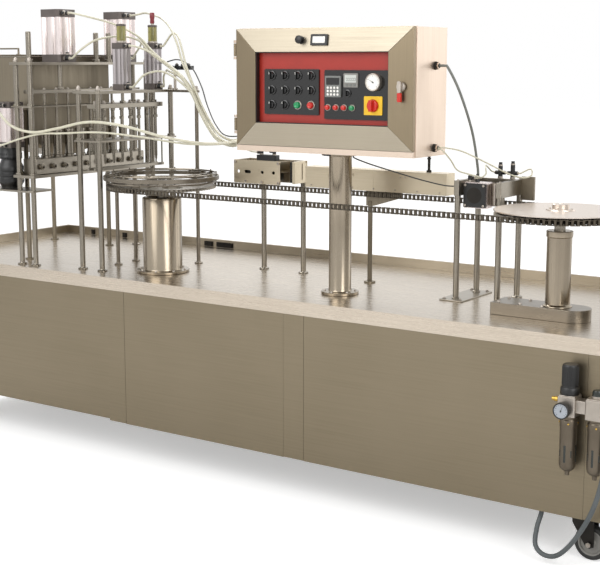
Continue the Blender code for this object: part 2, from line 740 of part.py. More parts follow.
def buildDrive():
    x = DRIVE_X
    y = CHAIN_CENTRE_Y
    bore = SHAFT_RADIUS + SHAFT_ROOM
    snug = SHAFT_RADIUS + RUN
    mouth = DRIVE_COLUMN_RADIUS - MOUTH_WALL
    seat = DRIVE_COLUMN_TOP - MOUTH_DEPTH
    column = Shape()
    column.turned([(DRIVE_COLUMN_RADIUS - 0.006, DRIVE_COLUMN_TOP),
                   (DRIVE_COLUMN_RADIUS, DRIVE_COLUMN_TOP - 0.006),
                   (DRIVE_COLUMN_RADIUS, WORK + FLANGE_HEIGHT),
                   (DRIVE_FLANGE_RADIUS, WORK + FLANGE_HEIGHT), (DRIVE_FLANGE_RADIUS, WORK),
                   (bore, WORK), (bore, seat - BEARING_HEIGHT), (snug, seat - BEARING_HEIGHT),
                   (snug, seat),
                   (mouth, seat), (mouth, DRIVE_COLUMN_TOP)], x, y, 18, closed=True)
    column.finish("drive_column", POLISHED, 0.22, 1.0)

    shaft = Shape()
    hub = (SPROCKET_BOTTOM - HUB_HEIGHT, SPROCKET_BOTTOM + LAP)
    shaft.turned([(0, SPROCKET_TOP + 0.006), (SHAFT_RADIUS, SPROCKET_TOP + 0.006),
                  (SHAFT_RADIUS, hub[1]), (HUB_RADIUS, hub[1]), (HUB_RADIUS, hub[0]),
                  (SHAFT_RADIUS, hub[0]), (SHAFT_RADIUS, FRAME_TOP + GAP), (0, FRAME_TOP + GAP)],
                 x, y, 12)
    sprocket(shaft, x, 6)
    shaft.finish("drive_sprocket", STAINLESS, 0.3, 1.0, (x, y, CHAIN_Z))

    motor = Shape()
    sx, sy, sz = GEARBOX_SIZE
    motor.box((x - sx / 2, x + sx / 2), (y - sy / 2, y + sy / 2), (FRAME_TOP - sz, FRAME_TOP), 0.02)
    middle = FRAME_TOP - sz / 2
    start = x + sx / 2 - LAP
    motor.rod((start, y, middle), (start + MOTOR_LENGTH, y, middle), MOTOR_RADIUS, 24)
    motor.finish("drive_gearmotor", (0.20, 0.24, 0.27), 0.5, 0.2)


def buildTail():
    x = TAIL_X
    y = CHAIN_CENTRE_Y
    column = Shape()
    base_x = x + TAIL_BASE_OFFSET
    column.plate(roundedRectangle((base_x - TAIL_BASE_LENGTH / 2, base_x + TAIL_BASE_LENGTH / 2),
                                  (y - TAIL_BASE_WIDTH / 2, y + TAIL_BASE_WIDTH / 2),
                                  TAIL_BASE_WIDTH / 2 - 0.001, (0, 1, 1, 0), 6),
                 WORK, WORK + TAIL_BASE_HEIGHT)
    low = WORK + TAIL_BASE_HEIGHT - LAP
    radius = TAIL_COLUMN_RADIUS
    bore = SHAFT_RADIUS + RUN
    neck = TAIL_COLUMN_TOP - 0.022
    column.turned([(radius + 0.003, TAIL_COLUMN_TOP), (radius + 0.003, neck), (radius, neck),
                   (radius, low + 0.008), (radius + 0.008, low), (bore, low), (bore, TAIL_COLUMN_TOP)],
                  x, y, 20, closed=True)
    column.finish("tail_column", POLISHED, 0.22, 1.0)

    shaft = Shape()
    hub = (SPROCKET_BOTTOM - HUB_HEIGHT, SPROCKET_BOTTOM + LAP)
    cover_low = CHAIN_TOP + 0.003
    boss = HUB_RADIUS * 0.8
    shaft.turned([(0, cover_low - GAP), (HUB_RADIUS, cover_low - GAP),
                  (HUB_RADIUS, SPROCKET_TOP - LAP), (boss, SPROCKET_TOP - LAP), (boss, hub[0]),
                  (SHAFT_RADIUS, hub[0]), (SHAFT_RADIUS, low + 2 * LAP), (0, low + 2 * LAP)], x, y, 12)
    sprocket(shaft, x, 0)
    shaft.finish("tail_sprocket", STAINLESS, 0.3, 1.0, (x, y, CHAIN_Z))

    cover = Shape()
    edge = cover_low + COVER_SHEET
    cover.turned([(0, edge + CAP_HEIGHT), (CAP_RADIUS, edge + CAP_HEIGHT), (CAP_RADIUS, edge),
                  (COVER_RADIUS, edge), (COVER_RADIUS, cover_low), (0, cover_low)], x, y, 36)
    cover.finish("tail_cover_disc", POLISHED, 0.18, 1.0, (x, y, CHAIN_Z))


def chainLine(offset):
    """The chain's line in plan, moved out by offset, one point for every second link."""
    y = CHAIN_CENTRE_Y
    radius = PITCH_RADIUS + offset
    half = TEETH // 4
    points = []
    for centre, start in ((TAIL_X, -pi / 2), (DRIVE_X, pi / 2)):
        for i in range(half + 1):
            a = start + pi * i / half
            points.append((centre + radius * cos(a), y + radius * sin(a)))
    return points


def chainRollers():
    """Roller centres: whole pitches along both runs, whole teeth round both turns."""
    y = CHAIN_CENTRE_Y
    places = []
    for side in (-1, 1):
        for i in range(SPAN_LINKS + 1):
            places.append((DRIVE_X + i * PITCH, y + side * PITCH_RADIUS))
    half = TEETH // 2
    for i in range(1, half):
        a = -pi / 2 + pi * i / half
        places.append((TAIL_X + PITCH_RADIUS * cos(a), y + PITCH_RADIUS * sin(a)))
        places.append((DRIVE_X - PITCH_RADIUS * cos(a), y + PITCH_RADIUS * sin(a)))
    return places


def buildChain():
    """Upper and lower link plates, and a roller at every pitch between them."""
    chain = Shape()
    inner = ROLLER_HEIGHT / 2
    for low, high in ((inner, inner + PLATE_STACK), (-inner - PLATE_STACK, -inner)):
        chain.plate(chainLine(PLATE_HALF_HEIGHT), CHAIN_Z + low, CHAIN_Z + high,
                    [chainLine(-PLATE_HALF_HEIGHT)])
    reach = inner + PLATE_STACK / 2
    for x, y in chainRollers():
        chain.post(x, y, CHAIN_Z - reach, CHAIN_Z + reach, ROLLER_RADIUS, 4)
    chain.finish("roller_chain", DARK_STEEL, 0.45, 1.0)


def buildGuideRing():
    x = DRIVE_X
    y = CHAIN_CENTRE_Y
    ring = Shape()
    low = RING_TOP - RING_SHEET
    foot = RING_TOP - RING_BAND
    ring.turned([(RING_OUTER, RING_TOP), (RING_OUTER, foot), (RING_OUTER - RING_SHEET, foot),
                 (RING_OUTER - RING_SHEET, low), (RING_INNER, low), (RING_INNER, RING_TOP)], x, y, 32,
                closed=True)
    for px, py in RING_POSTS:
        away = Vector((px - x, py - y, 0))
        ring.post(px, py, WORK, low + LAP, RING_POST_RADIUS, 8)
        # a strap from the ring's edge to the head of the post
        turn = Matrix.Translation((x, y, 0)) @ away.to_track_quat('X', 'Z').to_matrix().to_4x4()
        ring.plate(roundedRectangle((RING_OUTER - 0.006, away.length + 0.014), (-0.014, 0.014), 0.012,
                                    (0, 1, 1, 0)), low + 0.0005, RING_TOP - 0.0005, [], turn)
    ring.finish("guide_ring", STAINLESS, 0.3, 1.0)


def buildBox():
    column = Shape()
    x = BOX_COLUMN_X
    y = BOX_COLUMN_Y
    radius = BOX_COLUMN_RADIUS
    bore = radius - 0.004
    high = BOX_BOTTOM - GAP
    wide = radius + 0.030
    column.turned([(wide, high), (wide, high - FLANGE_HEIGHT), (radius, high - FLANGE_HEIGHT),
                   (radius, WORK + FLANGE_HEIGHT), (wide, WORK + FLANGE_HEIGHT), (wide, WORK),
                   (bore, WORK), (bore, high)], x, y, 18, closed=True)
    column.finish("box_column", POLISHED, 0.25, 1.0)

    shell = Shape()
    front = BOX_BACK - BOX_DEPTH
    shell.pan((BOX_LEFT, BOX_RIGHT), (front, BOX_BACK), (BOX_BOTTOM, BOX_TOP), BOX_SHEET, (0, -1, 0))
    shell.box((BOX_LEFT + 0.0005, BOX_RIGHT - 0.0005), (front - DOOR_EDGE, front + 0.0015),
              (BOX_BOTTOM + 0.0005, DOOR_BOTTOM - 0.001))
    # hinge posts on the left wall, one pair for each knuckle
    for z in HINGE_HEIGHTS:
        for low, high in ((z - 0.012, z - RUN), (z + HINGE_LENGTH + RUN, z + HINGE_LENGTH + 0.012)):
            shell.rod((HINGE_X, HINGE_Y, low), (HINGE_X, HINGE_Y, high), 0.0070, 6)
            shell.box((HINGE_X, BOX_LEFT - 0.0015), (HINGE_Y - 0.003, front + 0.030),
                      (low + 0.001, high - 0.001))
            shell.box((BOX_LEFT - 0.003, BOX_LEFT + 0.001), (front + 0.004, front + 0.029),
                      (low + 0.0015, high - 0.0015))
    # cable glands: two on the right wall, one on the left
    for gx, gy, gz, side in GLANDS:
        wall = BOX_RIGHT if side > 0 else BOX_LEFT
        shell.rod((wall - side * 0.0012, gy, gz), (wall + side * GLAND_LENGTH, gy, gz), GLAND_RADIUS, 8)
    # mounting plate on four spacers inside the back
    inner = BOX_BACK - BOX_SHEET
    shell.box((BOX_LEFT + 0.06, BOX_RIGHT - 0.06), (inner - 0.022, inner - 0.020),
              (BOX_BOTTOM + 0.05, BOX_TOP - 0.05))
    for px in (BOX_LEFT + 0.09, BOX_RIGHT - 0.09):
        for pz in (BOX_BOTTOM + 0.09, BOX_TOP - 0.09):
            shell.rod((px, inner - 0.021, pz), (px, inner + LAP, pz), 0.008, 6)
    shell.finish("box_shell", STAINLESS, 0.34, 1.0)


def doorFrame(shape):
    """A picture frame whose face slopes up from the outer edge to the opening."""
    outer = ((BOX_LEFT, BOX_RIGHT), (DOOR_BOTTOM, BOX_TOP))
    inner = ((BOX_LEFT + DOOR_BORDER_X, BOX_RIGHT - DOOR_BORDER_X),
             (DOOR_BOTTOM + DOOR_BORDER_Z, BOX_TOP - DOOR_BORDER_Z))
    rings = ((outer, DOOR_BACK), (outer, DOOR_BACK - DOOR_EDGE), (inner, DOOR_BACK - DOOR_CROWN),
             (inner, DOOR_BACK))
    bm = bmesh.new()
    loops = []
    for (x, z), y in rings:
        loops.append([bm.verts.new((px, y, pz)) for px, pz in rectangle(x, z)])
    for a, b in zip(loops, loops[1:] + loops[:1]):
        for i in range(4):
            j = (i + 1) % 4
            bm.faces.new((a[i], a[j], b[j], b[i]))
    bmesh.ops.recalc_face_normals(bm, faces=bm.faces)
    shape.keep(bm)
    return inner


def frontRod(shape, x, z, base, reach, radius, sides=16, tip=None):
    """A round piece that stands out of a front face towards -Y, sunk a little into it."""
    shape.rod((x, base + LAP, z), (x, base - reach, z), radius, sides, tip)
    return base - reach


def buildDoor():
    pivot = (HINGE_X, HINGE_Y, DOOR_BOTTOM)
    door = Shape()
    (left, right), (low, high) = doorFrame(door)
    # hinge knuckles, joined to the frame's left edge
    for z in HINGE_HEIGHTS:
        door.rod((HINGE_X, HINGE_Y, z), (HINGE_X, HINGE_Y, z + HINGE_LENGTH), 0.0070, 6)
        door.box((HINGE_X, BOX_LEFT + 0.001), (HINGE_Y - 0.003, HINGE_Y + 0.003),
                 (z + 0.001, z + HINGE_LENGTH - 0.001))
    door.finish("box_door", POLISHED, 0.28, 1.0, pivot)

    panel = Shape()
    panel_face = DOOR_BACK + GAP
    panel.box((left - PANEL_LAP, right + PANEL_LAP), (panel_face, panel_face + 0.003),
              (low - PANEL_LAP, high + PANEL_LAP))
    panel.finish("door_panel", RED, 0.35, 0.0, pivot)

    face = panel_face - GAP
    seat = face - BLOCK_HEIGHT
    xs = [SWITCH_FIRST_X + i * SWITCH_PITCH_X for i in range(4)]
    zs = [SWITCH_TOP_Z - i * SWITCH_PITCH_Z for i in range(3)]
    black = Shape()
    black.box((xs[0] - 0.037, xs[3] + 0.036), (seat, face), (zs[2] - 0.037, zs[0] + 0.024))
    for row, z in enumerate(zs):
        for column, x in enumerate(xs):
            if row == 2 and column > 1:
                continue
            edge = frontRod(black, x, z, seat, 0.004, SWITCH_RADIUS, 6)
            black.box((x - 0.0035, x + 0.0035), (edge - KNOB_HEIGHT, edge + LAP), (z - 0.012, z + 0.012))
    for column in (2, 3):
        black.rod((xs[column], face + 0.01, zs[2]), (xs[column], seat - 0.01, zs[2]),
                  BUTTON_RADIUS + 2 * GAP, 10, cut=True)
    black.finish("selector_block", BLACK, 0.4, 0.0, pivot)

    dials = Shape()
    block = (xs[3] + 0.060, right - 0.010)
    dials.box(block, (seat, face), (zs[2] - 0.050, zs[0] + 0.022))
    x = block[0] + 0.105
    edge = frontRod(dials, x, zs[1] - 0.008, seat, 0.004, SWITCH_RADIUS * 0.8, 8)
    dials.box((x - 0.003, x + 0.003), (edge - KNOB_HEIGHT, edge + LAP), (zs[1] - 0.018, zs[1] + 0.002))
    dials.box((block[0] + 0.008, block[0] + 0.078), (seat - 0.008, seat + LAP), (zs[1] - 0.023, zs[0]))
    dials.box((block[0] + 0.090, block[0] + 0.152), (seat - 0.008, seat + LAP),
              (zs[1] + 0.014, zs[0] + 0.010))
    gauge_x = block[1] - 0.057
    frontRod(dials, gauge_x, zs[0] - 0.022, seat, 0.020, 0.033, 18)
    isolator_x = gauge_x - 0.006
    isolator_z = zs[2] + 0.004
    dials.box((isolator_x - 0.040, isolator_x + 0.040), (seat - 0.003, seat + LAP),
              (isolator_z - 0.035, isolator_z + 0.035))
    for i in range(4):
        x = block[0] + 0.018 + i * 0.036
        frontRod(dials, x, zs[2] - 0.006, seat, 0.014, 0.0125, 8, 0.007)
    dials.finish("instrument_block", BLACK, 0.4, 0.0, pivot)

    for name, column, colour in (("start_button", 2, (0.02, 0.30, 0.08)), ("stop_button", 3, RED)):
        button = Shape()
        button.rod((xs[column], seat + 0.0012, zs[2]), (xs[column], seat - 0.014, zs[2]), BUTTON_RADIUS, 10)
        button.finish(name, colour, 0.35, 0.0, (xs[column], seat, zs[2]))

    knob = Shape()
    base = seat - 0.003 - GAP
    knob.rod((isolator_x, base, isolator_z), (isolator_x, base - 0.010, isolator_z), 0.024, 16, 0.021)
    knob.box((isolator_x - 0.006, isolator_x + 0.006), (base - 0.025, base - 0.009),
             (isolator_z - 0.021, isolator_z + 0.021))
    knob.finish("isolator_knob", RED, 0.35, 0.0, (isolator_x, base, isolator_z))

    # the latch stands on the sloping right border
    latch = Shape()
    x = BOX_RIGHT - 0.045
    z = DOOR_BOTTOM + 0.235
    slope = (DOOR_CROWN - DOOR_EDGE) / DOOR_BORDER_X
    base = DOOR_BACK - DOOR_EDGE - slope * (BOX_RIGHT - x + 0.018) - GAP
    latch.rod((x, base, z), (x, base - 0.010, z), 0.018, 12)
    latch.box((x - 0.008, x + 0.008), (base - 0.022, base - 0.009), (z - 0.055, z + 0.020))
    latch.finish("door_latch", ALUMINIUM, 0.35, 1.0, (x, base, z))


def buildChannel():
    channel = Shape()
    y = REAR_RUN_Y
    half = CHANNEL_HALF_WIDTH
    right = CHANNEL_LEFT + CHANNEL_LENGTH
    channel.pan((CHANNEL_LEFT, right), (y - half, y + half), (CHANNEL_BOTTOM, CHANNEL_TOP), 0.002,
                (0, 0, -1))
    channel.finish("heat_channel", STAINLESS, 0.35, 1.0)

    post = Shape()
    sheet = 0.008
    back = y + half + GAP + sheet / 2
    x = CHANNEL_POST_X
    wedge_low = CHAIN_BOTTOM - 0.040
    top = CHANNEL_BOTTOM + 0.040
    outline = [(x - 0.018, wedge_low), (x + 0.018, wedge_low), (x + 0.150, CHAIN_BOTTOM),
               (x + 0.150, top), (x - 0.018, top)]
    upright = Matrix.Translation((0, back, 0)) @ Matrix.Rotation(pi / 2, 4, 'X')
    post.plate(outline, -sheet / 2, sheet / 2, [], upright)
    post.post(x, back, WORK + 0.005, wedge_low + 0.020, POST_RADIUS, 8)
    post.post(x, back, WORK, WORK + 0.006, POST_RADIUS + 0.014, 12)
    post.finish("channel_post", DARK_STEEL, 0.4, 1.0)


def footedPost(shape, x, y, high, radius=None):
    """A round post with a disc foot on the worktop."""
    radius = radius or POST_RADIUS
    shape.post(x, y, WORK + 0.005, high, radius, 6)
    shape.post(x, y, WORK, WORK + 0.006, radius + 0.010, 6)


def buildStationOne():
    frame = Shape()
    left = S1_LEFT
    right = S1_LEFT + S1_LENGTH
    front = REAR_RUN_Y + S1_FRONT
    back = front + S1_DEPTH
    upright = Matrix.Translation((0, front + S1_SHEET / 2, 0)) @ Matrix.Rotation(pi / 2, 4, 'X')
    middle = (S1_BOTTOM + S1_TOP) / 2
    pin_z = S1_TOP - 0.026
    pins = (left + 0.045, right - 0.045)
    holes = [circle(left + S1_LENGTH * share, middle, 0.007, 6) for share in (0.10, 0.30, 0.62, 0.86)]
    frame.plate(rectangle((left, right), (S1_BOTTOM, S1_TOP)), -S1_SHEET / 2, S1_SHEET / 2, holes,
                upright)
    frame.box((left, right + S1_END), (back - S1_SHEET, back), (S1_BOTTOM, S1_TOP - 0.0005))
    inside = (front + S1_SHEET - LAP, back - S1_SHEET + LAP)
    for x in (left + 0.001, right - S1_SHEET - 0.001):
        frame.box((x, x + S1_SHEET), inside, (S1_TOP - 0.040, S1_TOP - 0.001))
    rear_jaw = REAR_RUN_Y + JAW_OPEN
    frame.box((left + 0.030, right - 0.030), (rear_jaw, back - S1_SHEET + LAP),
              (JAW_BOTTOM, JAW_BOTTOM + JAW_HEIGHT))
    frame.box((right + 0.030, right + S1_END - 0.001), (back - 0.034, back - S1_SHEET + LAP),
              (S1_BOTTOM + 0.020, S1_TOP - 0.010))
    for x in pins:
        frame.rod((x, front + S1_SHEET - LAP, pin_z), (x, back - S1_SHEET + LAP, pin_z), JAW_PIN_RADIUS, 8)
    for x in (left + 0.075, right + S1_END - 0.022):
        footedPost(frame, x, back - S1_SHEET / 2 + 0.004, S1_BOTTOM + 0.030)
    frame.finish("station1_frame", STAINLESS, 0.32, 1.0)

    jaw = Shape()
    jaw_y = (REAR_RUN_Y - JAW_OPEN - JAW_THICK, REAR_RUN_Y - JAW_OPEN)
    jaw.box((left + 0.030, right - 0.030), jaw_y, (JAW_BOTTOM, JAW_BOTTOM + JAW_HEIGHT))
    for x in pins:
        lug = (x - 0.014, x + 0.014)
        jaw.box(lug, (jaw_y[0] + 0.0005, jaw_y[1] - 0.0005), (JAW_BOTTOM + 0.010, pin_z + 0.012))
        jaw.rod((x, jaw_y[0] - 0.01, pin_z), (x, jaw_y[1] + 0.01, pin_z), JAW_PIN_RADIUS + RUN, 8, cut=True)
    jaw.finish("station1_jaw", DARK_STEEL, 0.35, 1.0, ((left + right) / 2, jaw_y[0], JAW_BOTTOM))

    cylinder = Shape()
    x = left + S1_LENGTH * 0.62
    low = S1_TOP + GAP
    cylinder.box((x - 0.035, x + 0.065), (front + 0.004, front + 0.040), (low, low + 0.024), 0.004)
    cylinder.post(x - 0.018, front + 0.022, low + 0.023, low + 0.042, 0.009, 10)
    cylinder.post(x + 0.048, front + 0.022, low + 0.023, low + 0.048, 0.009, 10)
    cylinder.finish("station1_cylinder", BLACK, 0.45, 0.3)


def buildStationTwo():
    frame = Shape()
    left = S2_LEFT
    right = S2_LEFT + S2_SQUARE
    front = REAR_RUN_Y + S2_FRONT
    back = front + S2_SQUARE
    low = S2_TOP - 0.058
    foot = 0.005
    frame.box((left - 0.050, left + 0.050), (front - 0.045, back + 0.045), (WORK, WORK + foot))
    for x in (left, right):
        for y in (front, back):
            if x == left:
                frame.post(x, y, WORK + foot - LAP, low + 0.010, POST_RADIUS, 8)
            else:
                footedPost(frame, x, y, low + 0.010)
        frame.box((x - 0.011, x + 0.011), (front - 0.014, back + 0.014), (low, S2_TOP))
    frame.box((left + 0.010, right - 0.010), (back - 0.007, back + 0.007), (low + 0.001, S2_TOP - 0.001))
    rear_jaw = REAR_RUN_Y + JAW_OPEN
    frame.box((left + 0.022, right - 0.022), (rear_jaw, back - 0.006),
              (low + 0.002, JAW_BOTTOM + JAW_HEIGHT))
    frame.box((right + 0.010, right + 0.064), (back - 0.010, back + 0.002), (low - 0.020, S2_TOP + 0.012))
    frame.finish("station2_frame", STAINLESS, 0.35, 1.0)

    half = S2_FACE / 2
    middle = (left + right) / 2
    jaw_y = (REAR_RUN_Y - JAW_OPEN - JAW_THICK, REAR_RUN_Y - JAW_OPEN)
    body_back = jaw_y[0] - 0.010
    cylinder = Shape()
    x = (left + 0.011 + GAP, left + 0.011 + GAP + S2_FACE)
    body = (body_back - S2_BODY, body_back)
    cylinder.box(x, body, (S2_CENTRE_Z - half, S2_CENTRE_Z + half), 0.004)
    rod_x = (x[0] + x[1]) / 2
    rod_z = (low + 0.002 + JAW_BOTTOM + JAW_HEIGHT) / 2
    cylinder.rod((rod_x, body_back + 0.02, rod_z), (rod_x, body_back - S2_BODY + 0.008, rod_z),
                 CYLINDER_ROD_RADIUS + RUN, 8, cut=True)
    cylinder.finish("station2_cylinder", ALUMINIUM, 0.35, 1.0)

    jaw = Shape()
    jaw.box((left + 0.022, right - 0.022), jaw_y, (low + 0.002, JAW_BOTTOM + JAW_HEIGHT))
    jaw.rod((rod_x, jaw_y[0] + LAP, rod_z), (rod_x, body_back - S2_BODY + 0.014, rod_z),
            CYLINDER_ROD_RADIUS, 8)
    jaw.finish("station2_jaw", DARK_STEEL, 0.35, 1.0, (middle, jaw_y[0], low))


def buildHopper():
    tank = Shape()
    x0 = HOPPER_LEFT
    x1 = HOPPER_LEFT + HOPPER_LENGTH
    y0 = HOPPER_FRONT
    y1 = HOPPER_FRONT + HOPPER_DEPTH
    # an open box that narrows to a square outlet
    mesh = bpy.data.meshes.new("tank")
    part = bmesh.new()
    out_x = (x1 - 0.13, x1 - 0.05)
    out_y = ((y0 + y1) / 2 - 0.04, (y0 + y1) / 2 + 0.04)
    rings = (((x0, x1), (y0, y1), HOPPER_TOP), ((x0, x1), (y0, y1), HOPPER_BOTTOM),
             (out_x, out_y, HOPPER_OUTLET_Z + 0.03), (out_x, out_y, HOPPER_OUTLET_Z))
    loops = [[part.verts.new((px, py, z)) for px, py in rectangle(x, y)] for x, y, z in rings]
    for a, b in zip(loops, loops[1:]):
        for i in range(4):
            j = (i + 1) % 4
            part.faces.new((a[i], b[i], b[j], a[j]))
    part.faces.new(list(reversed(loops[-1])))
    bmesh.ops.recalc_face_normals(part, faces=part.faces)
    part.to_mesh(mesh)
    part.free()
    tank.thicken(mesh, HOPPER_SHEET)
    for px in (x0 + 0.040, x1 - 0.030):
        for py, side in ((y0, -1), (y1, 1)):
            leg_y = py + side * (HOPPER_LEG_RADIUS - HOPPER_SHEET / 2)
            footedPost(tank, px, leg_y, HOPPER_BOTTOM + 0.16, HOPPER_LEG_RADIUS)
    tank.finish("hopper_tank", STAINLESS, 0.4, 1.0)

    lid = Shape()
    high = HOPPER_TOP + GAP
    lid.box((x0 - LID_OVERHANG, x1 + LID_OVERHANG), (y0 - LID_OVERHANG, y1 + LID_OVERHANG),
            (high, high + 0.003))
    bow = [(x0 + 0.13, y0 + 0.06, high + 0.002), (x0 + 0.13, y0 + 0.06, high + 0.030),
           (x1 - 0.13, y0 + 0.06, high + 0.030), (x1 - 0.13, y0 + 0.06, high + 0.002)]
    lid.tube(bow, 0.005)
    lid.finish("hopper_lid", STAINLESS, 0.35, 1.0, ((x0 + x1) / 2, y1 + LID_OVERHANG, high))


def acornNut(shape, x, y, z, size):
    """A domed cap nut standing on z: hexagon below, dome above."""
    shape.rod((x, y, z - LAP), (x, y, z + size * 0.6), size * 0.62, 6)
    shape.rod((x, y, z + size * 0.5), (x, y, z + size * 1.3), size * 0.52, 5, size * 0.26)


def squareCap(shape, x, y, low, high, size, corner=0.006):
    shape.plate(roundedRectangle((x - size / 2, x + size / 2), (y - size / 2, y + size / 2), corner,
                                 steps=1), low, high)


def barrelOutline(x, y, radius, size):
    """An extruded cylinder tube: flat sides between four tie-rod lobes."""
    points = []
    lobe = hypot(size / 2 - 0.004, size / 2 - 0.004) * 0.97
    for quarter in range(4):
        middle = pi / 4 + quarter * pi / 2
        for off, reach in ((-0.36, radius), (0, lobe), (0.36, radius)):
            points.append((x + reach * cos(middle + off), y + reach * sin(middle + off)))
    return points


def portPlace(x, y, size, front):
    """Where a cylinder's port ends, and its direction: out of the front, or out of the right side."""
    way = Vector((0, -1, 0)) if front else Vector((1, 0, 0))
    across = Vector((0.2 * size, 0, 0)) if front else Vector((0, -0.2 * size, 0))
    return Vector((x, y, 0)) + across + way * (size / 2 + PORT_REACH), way


def airCylinder(name, x, y, low, height, size, cap, radius, rod, cup=False, front=False):
    """A standing air cylinder: square end caps, a lobed tube between, and a bore for its rod."""
    body = Shape()
    high = low + height
    body.plate(barrelOutline(x, y, radius, size), low + cap - LAP, high - cap + LAP)
    squareCap(body, x, y, low, low + cap, size)
    squareCap(body, x, y, high - cap, high, size)
    end, way = portPlace(x, y, size, front)
    for z in (low + cap / 2, high - cap / 2):
        tip = end + Vector((0, 0, z))
        body.rod(tip - way * (PORT_REACH + 2 * LAP), tip, cap * 0.3, 6)
    if cup:
        body.turned([(0, high + 0.078), (0.0185, high + 0.070), (0.0185, high + 0.012),
                     (0.021, high + 0.012), (0.021, high - LAP), (0, high - LAP)], x, y, 8)
    if rod:
        body.post(x, y, low - 0.01, low + height * 0.55, rod, 8, cut=True)
    body.finish(name, ALUMINIUM, 0.35, 1.0)
    return high


def buildPumps():
    x = PUMP_X
    frame = Shape()
    corner_y = (PUMP_FRONT + PUMP_POST_INSET, PUMP_BACK - PUMP_POST_INSET)
    corner_x = (PUMP_LEFT + PUMP_POST_INSET, PUMP_RIGHT - PUMP_POST_INSET)
    outline = roundedRectangle((PUMP_LEFT, PUMP_RIGHT), (PUMP_FRONT, PUMP_BACK), 0.012, steps=1)
    top = (PUMP_TOP - PLATE_SHEET, PUMP_TOP)
    frame.plate(outline, *top, [bore(x, y, CYLINDER_ROD_RADIUS + RUN) for y in BIG_CYLINDER_Y])
    barrel_y = spread(PUMP_FRONT + 0.075, PUMP_BACK - 0.075, BARREL_COUNT)
    guide = (GUIDE_PLATE_Z, GUIDE_PLATE_Z + 0.006)
    frame.plate(outline, *guide, [bore(x, y, PISTON_ROD_RADIUS + RUN, 6) for y in barrel_y])
    floor = (MANIFOLD_BOTTOM - PLATE_SHEET - GAP, MANIFOLD_BOTTOM - GAP)
    frame.plate(outline, *floor)
    for px in corner_x:
        for py in corner_y:
            footedPost(frame, px, py, PUMP_TOP + 0.004, PUMP_POST_RADIUS)
            acornNut(frame, px, py, PUMP_TOP, 0.017)
    # guide rods that stand above the top plate
    for px, py in ((corner_x[0] + 0.030, PUMP_FRONT + 0.075), (corner_x[1] - 0.008, 0.000),
                   (corner_x[1] - 0.008, 0.085)):
        frame.post(px, py, PUMP_TOP - LAP, PUMP_TOP + 0.135, 0.0085, 8)
    # shelf for the dosing valve, bolted to the front posts
    frame.plate(roundedRectangle((SHELF_LEFT, PUMP_RIGHT), (SHELF_FRONT, SHELF_FRONT + SHELF_DEPTH), 0.03,
                                 (1, 1, 0, 0)), SHELF_Z - SHELF_SHEET, SHELF_Z)
    frame.finish("pump_frame", STAINLESS, 0.3, 1.0)

    barrels = Shape()
    barrels.box((x - 0.040, x + 0.040), (PUMP_FRONT + 0.045, PUMP_BACK - 0.045),
                (MANIFOLD_BOTTOM, MANIFOLD_TOP))
    for y in barrel_y:
        barrels.ring(x, y, MANIFOLD_TOP - LAP, BARREL_TOP, BARREL_RADIUS, BARREL_RADIUS - 0.003, 8)
    barrels.finish("pump_barrels", STAINLESS, 0.28, 1.0)

    crosshead = Shape()
    head = (CROSSHEAD_Z, CROSSHEAD_Z + CROSSHEAD_SHEET)
    crosshead.box((x - 0.022, x + 0.022), (PUMP_FRONT + 0.045, PUMP_BACK - 0.045), head, 0.004)
    for y in BIG_CYLINDER_Y:
        crosshead.post(x, y, head[1] - LAP, PUMP_TOP + BIG_CAP_HEIGHT, CYLINDER_ROD_RADIUS, 8)
    piston = MANIFOLD_TOP + 0.060
    for y in barrel_y:
        crosshead.post(x, y, piston + 0.019, head[0] + LAP, PISTON_ROD_RADIUS, 6)
        crosshead.post(x, y, piston, piston + 0.020, BARREL_RADIUS - 0.003 - RUN - 0.001, 6)
    crosshead.finish("pump_crosshead", POLISHED, 0.25, 1.0,
                     (x, (PUMP_FRONT + PUMP_BACK) / 2, CROSSHEAD_Z))
    for name, y in zip(("front", "rear"), BIG_CYLINDER_Y):
        airCylinder("pump_cylinder_" + name, x, y, PUMP_TOP + GAP, BIG_CYLINDER_HEIGHT, BIG_CAP,
                    BIG_CAP_HEIGHT, BIG_BORE_RADIUS, CYLINDER_ROD_RADIUS + RUN)


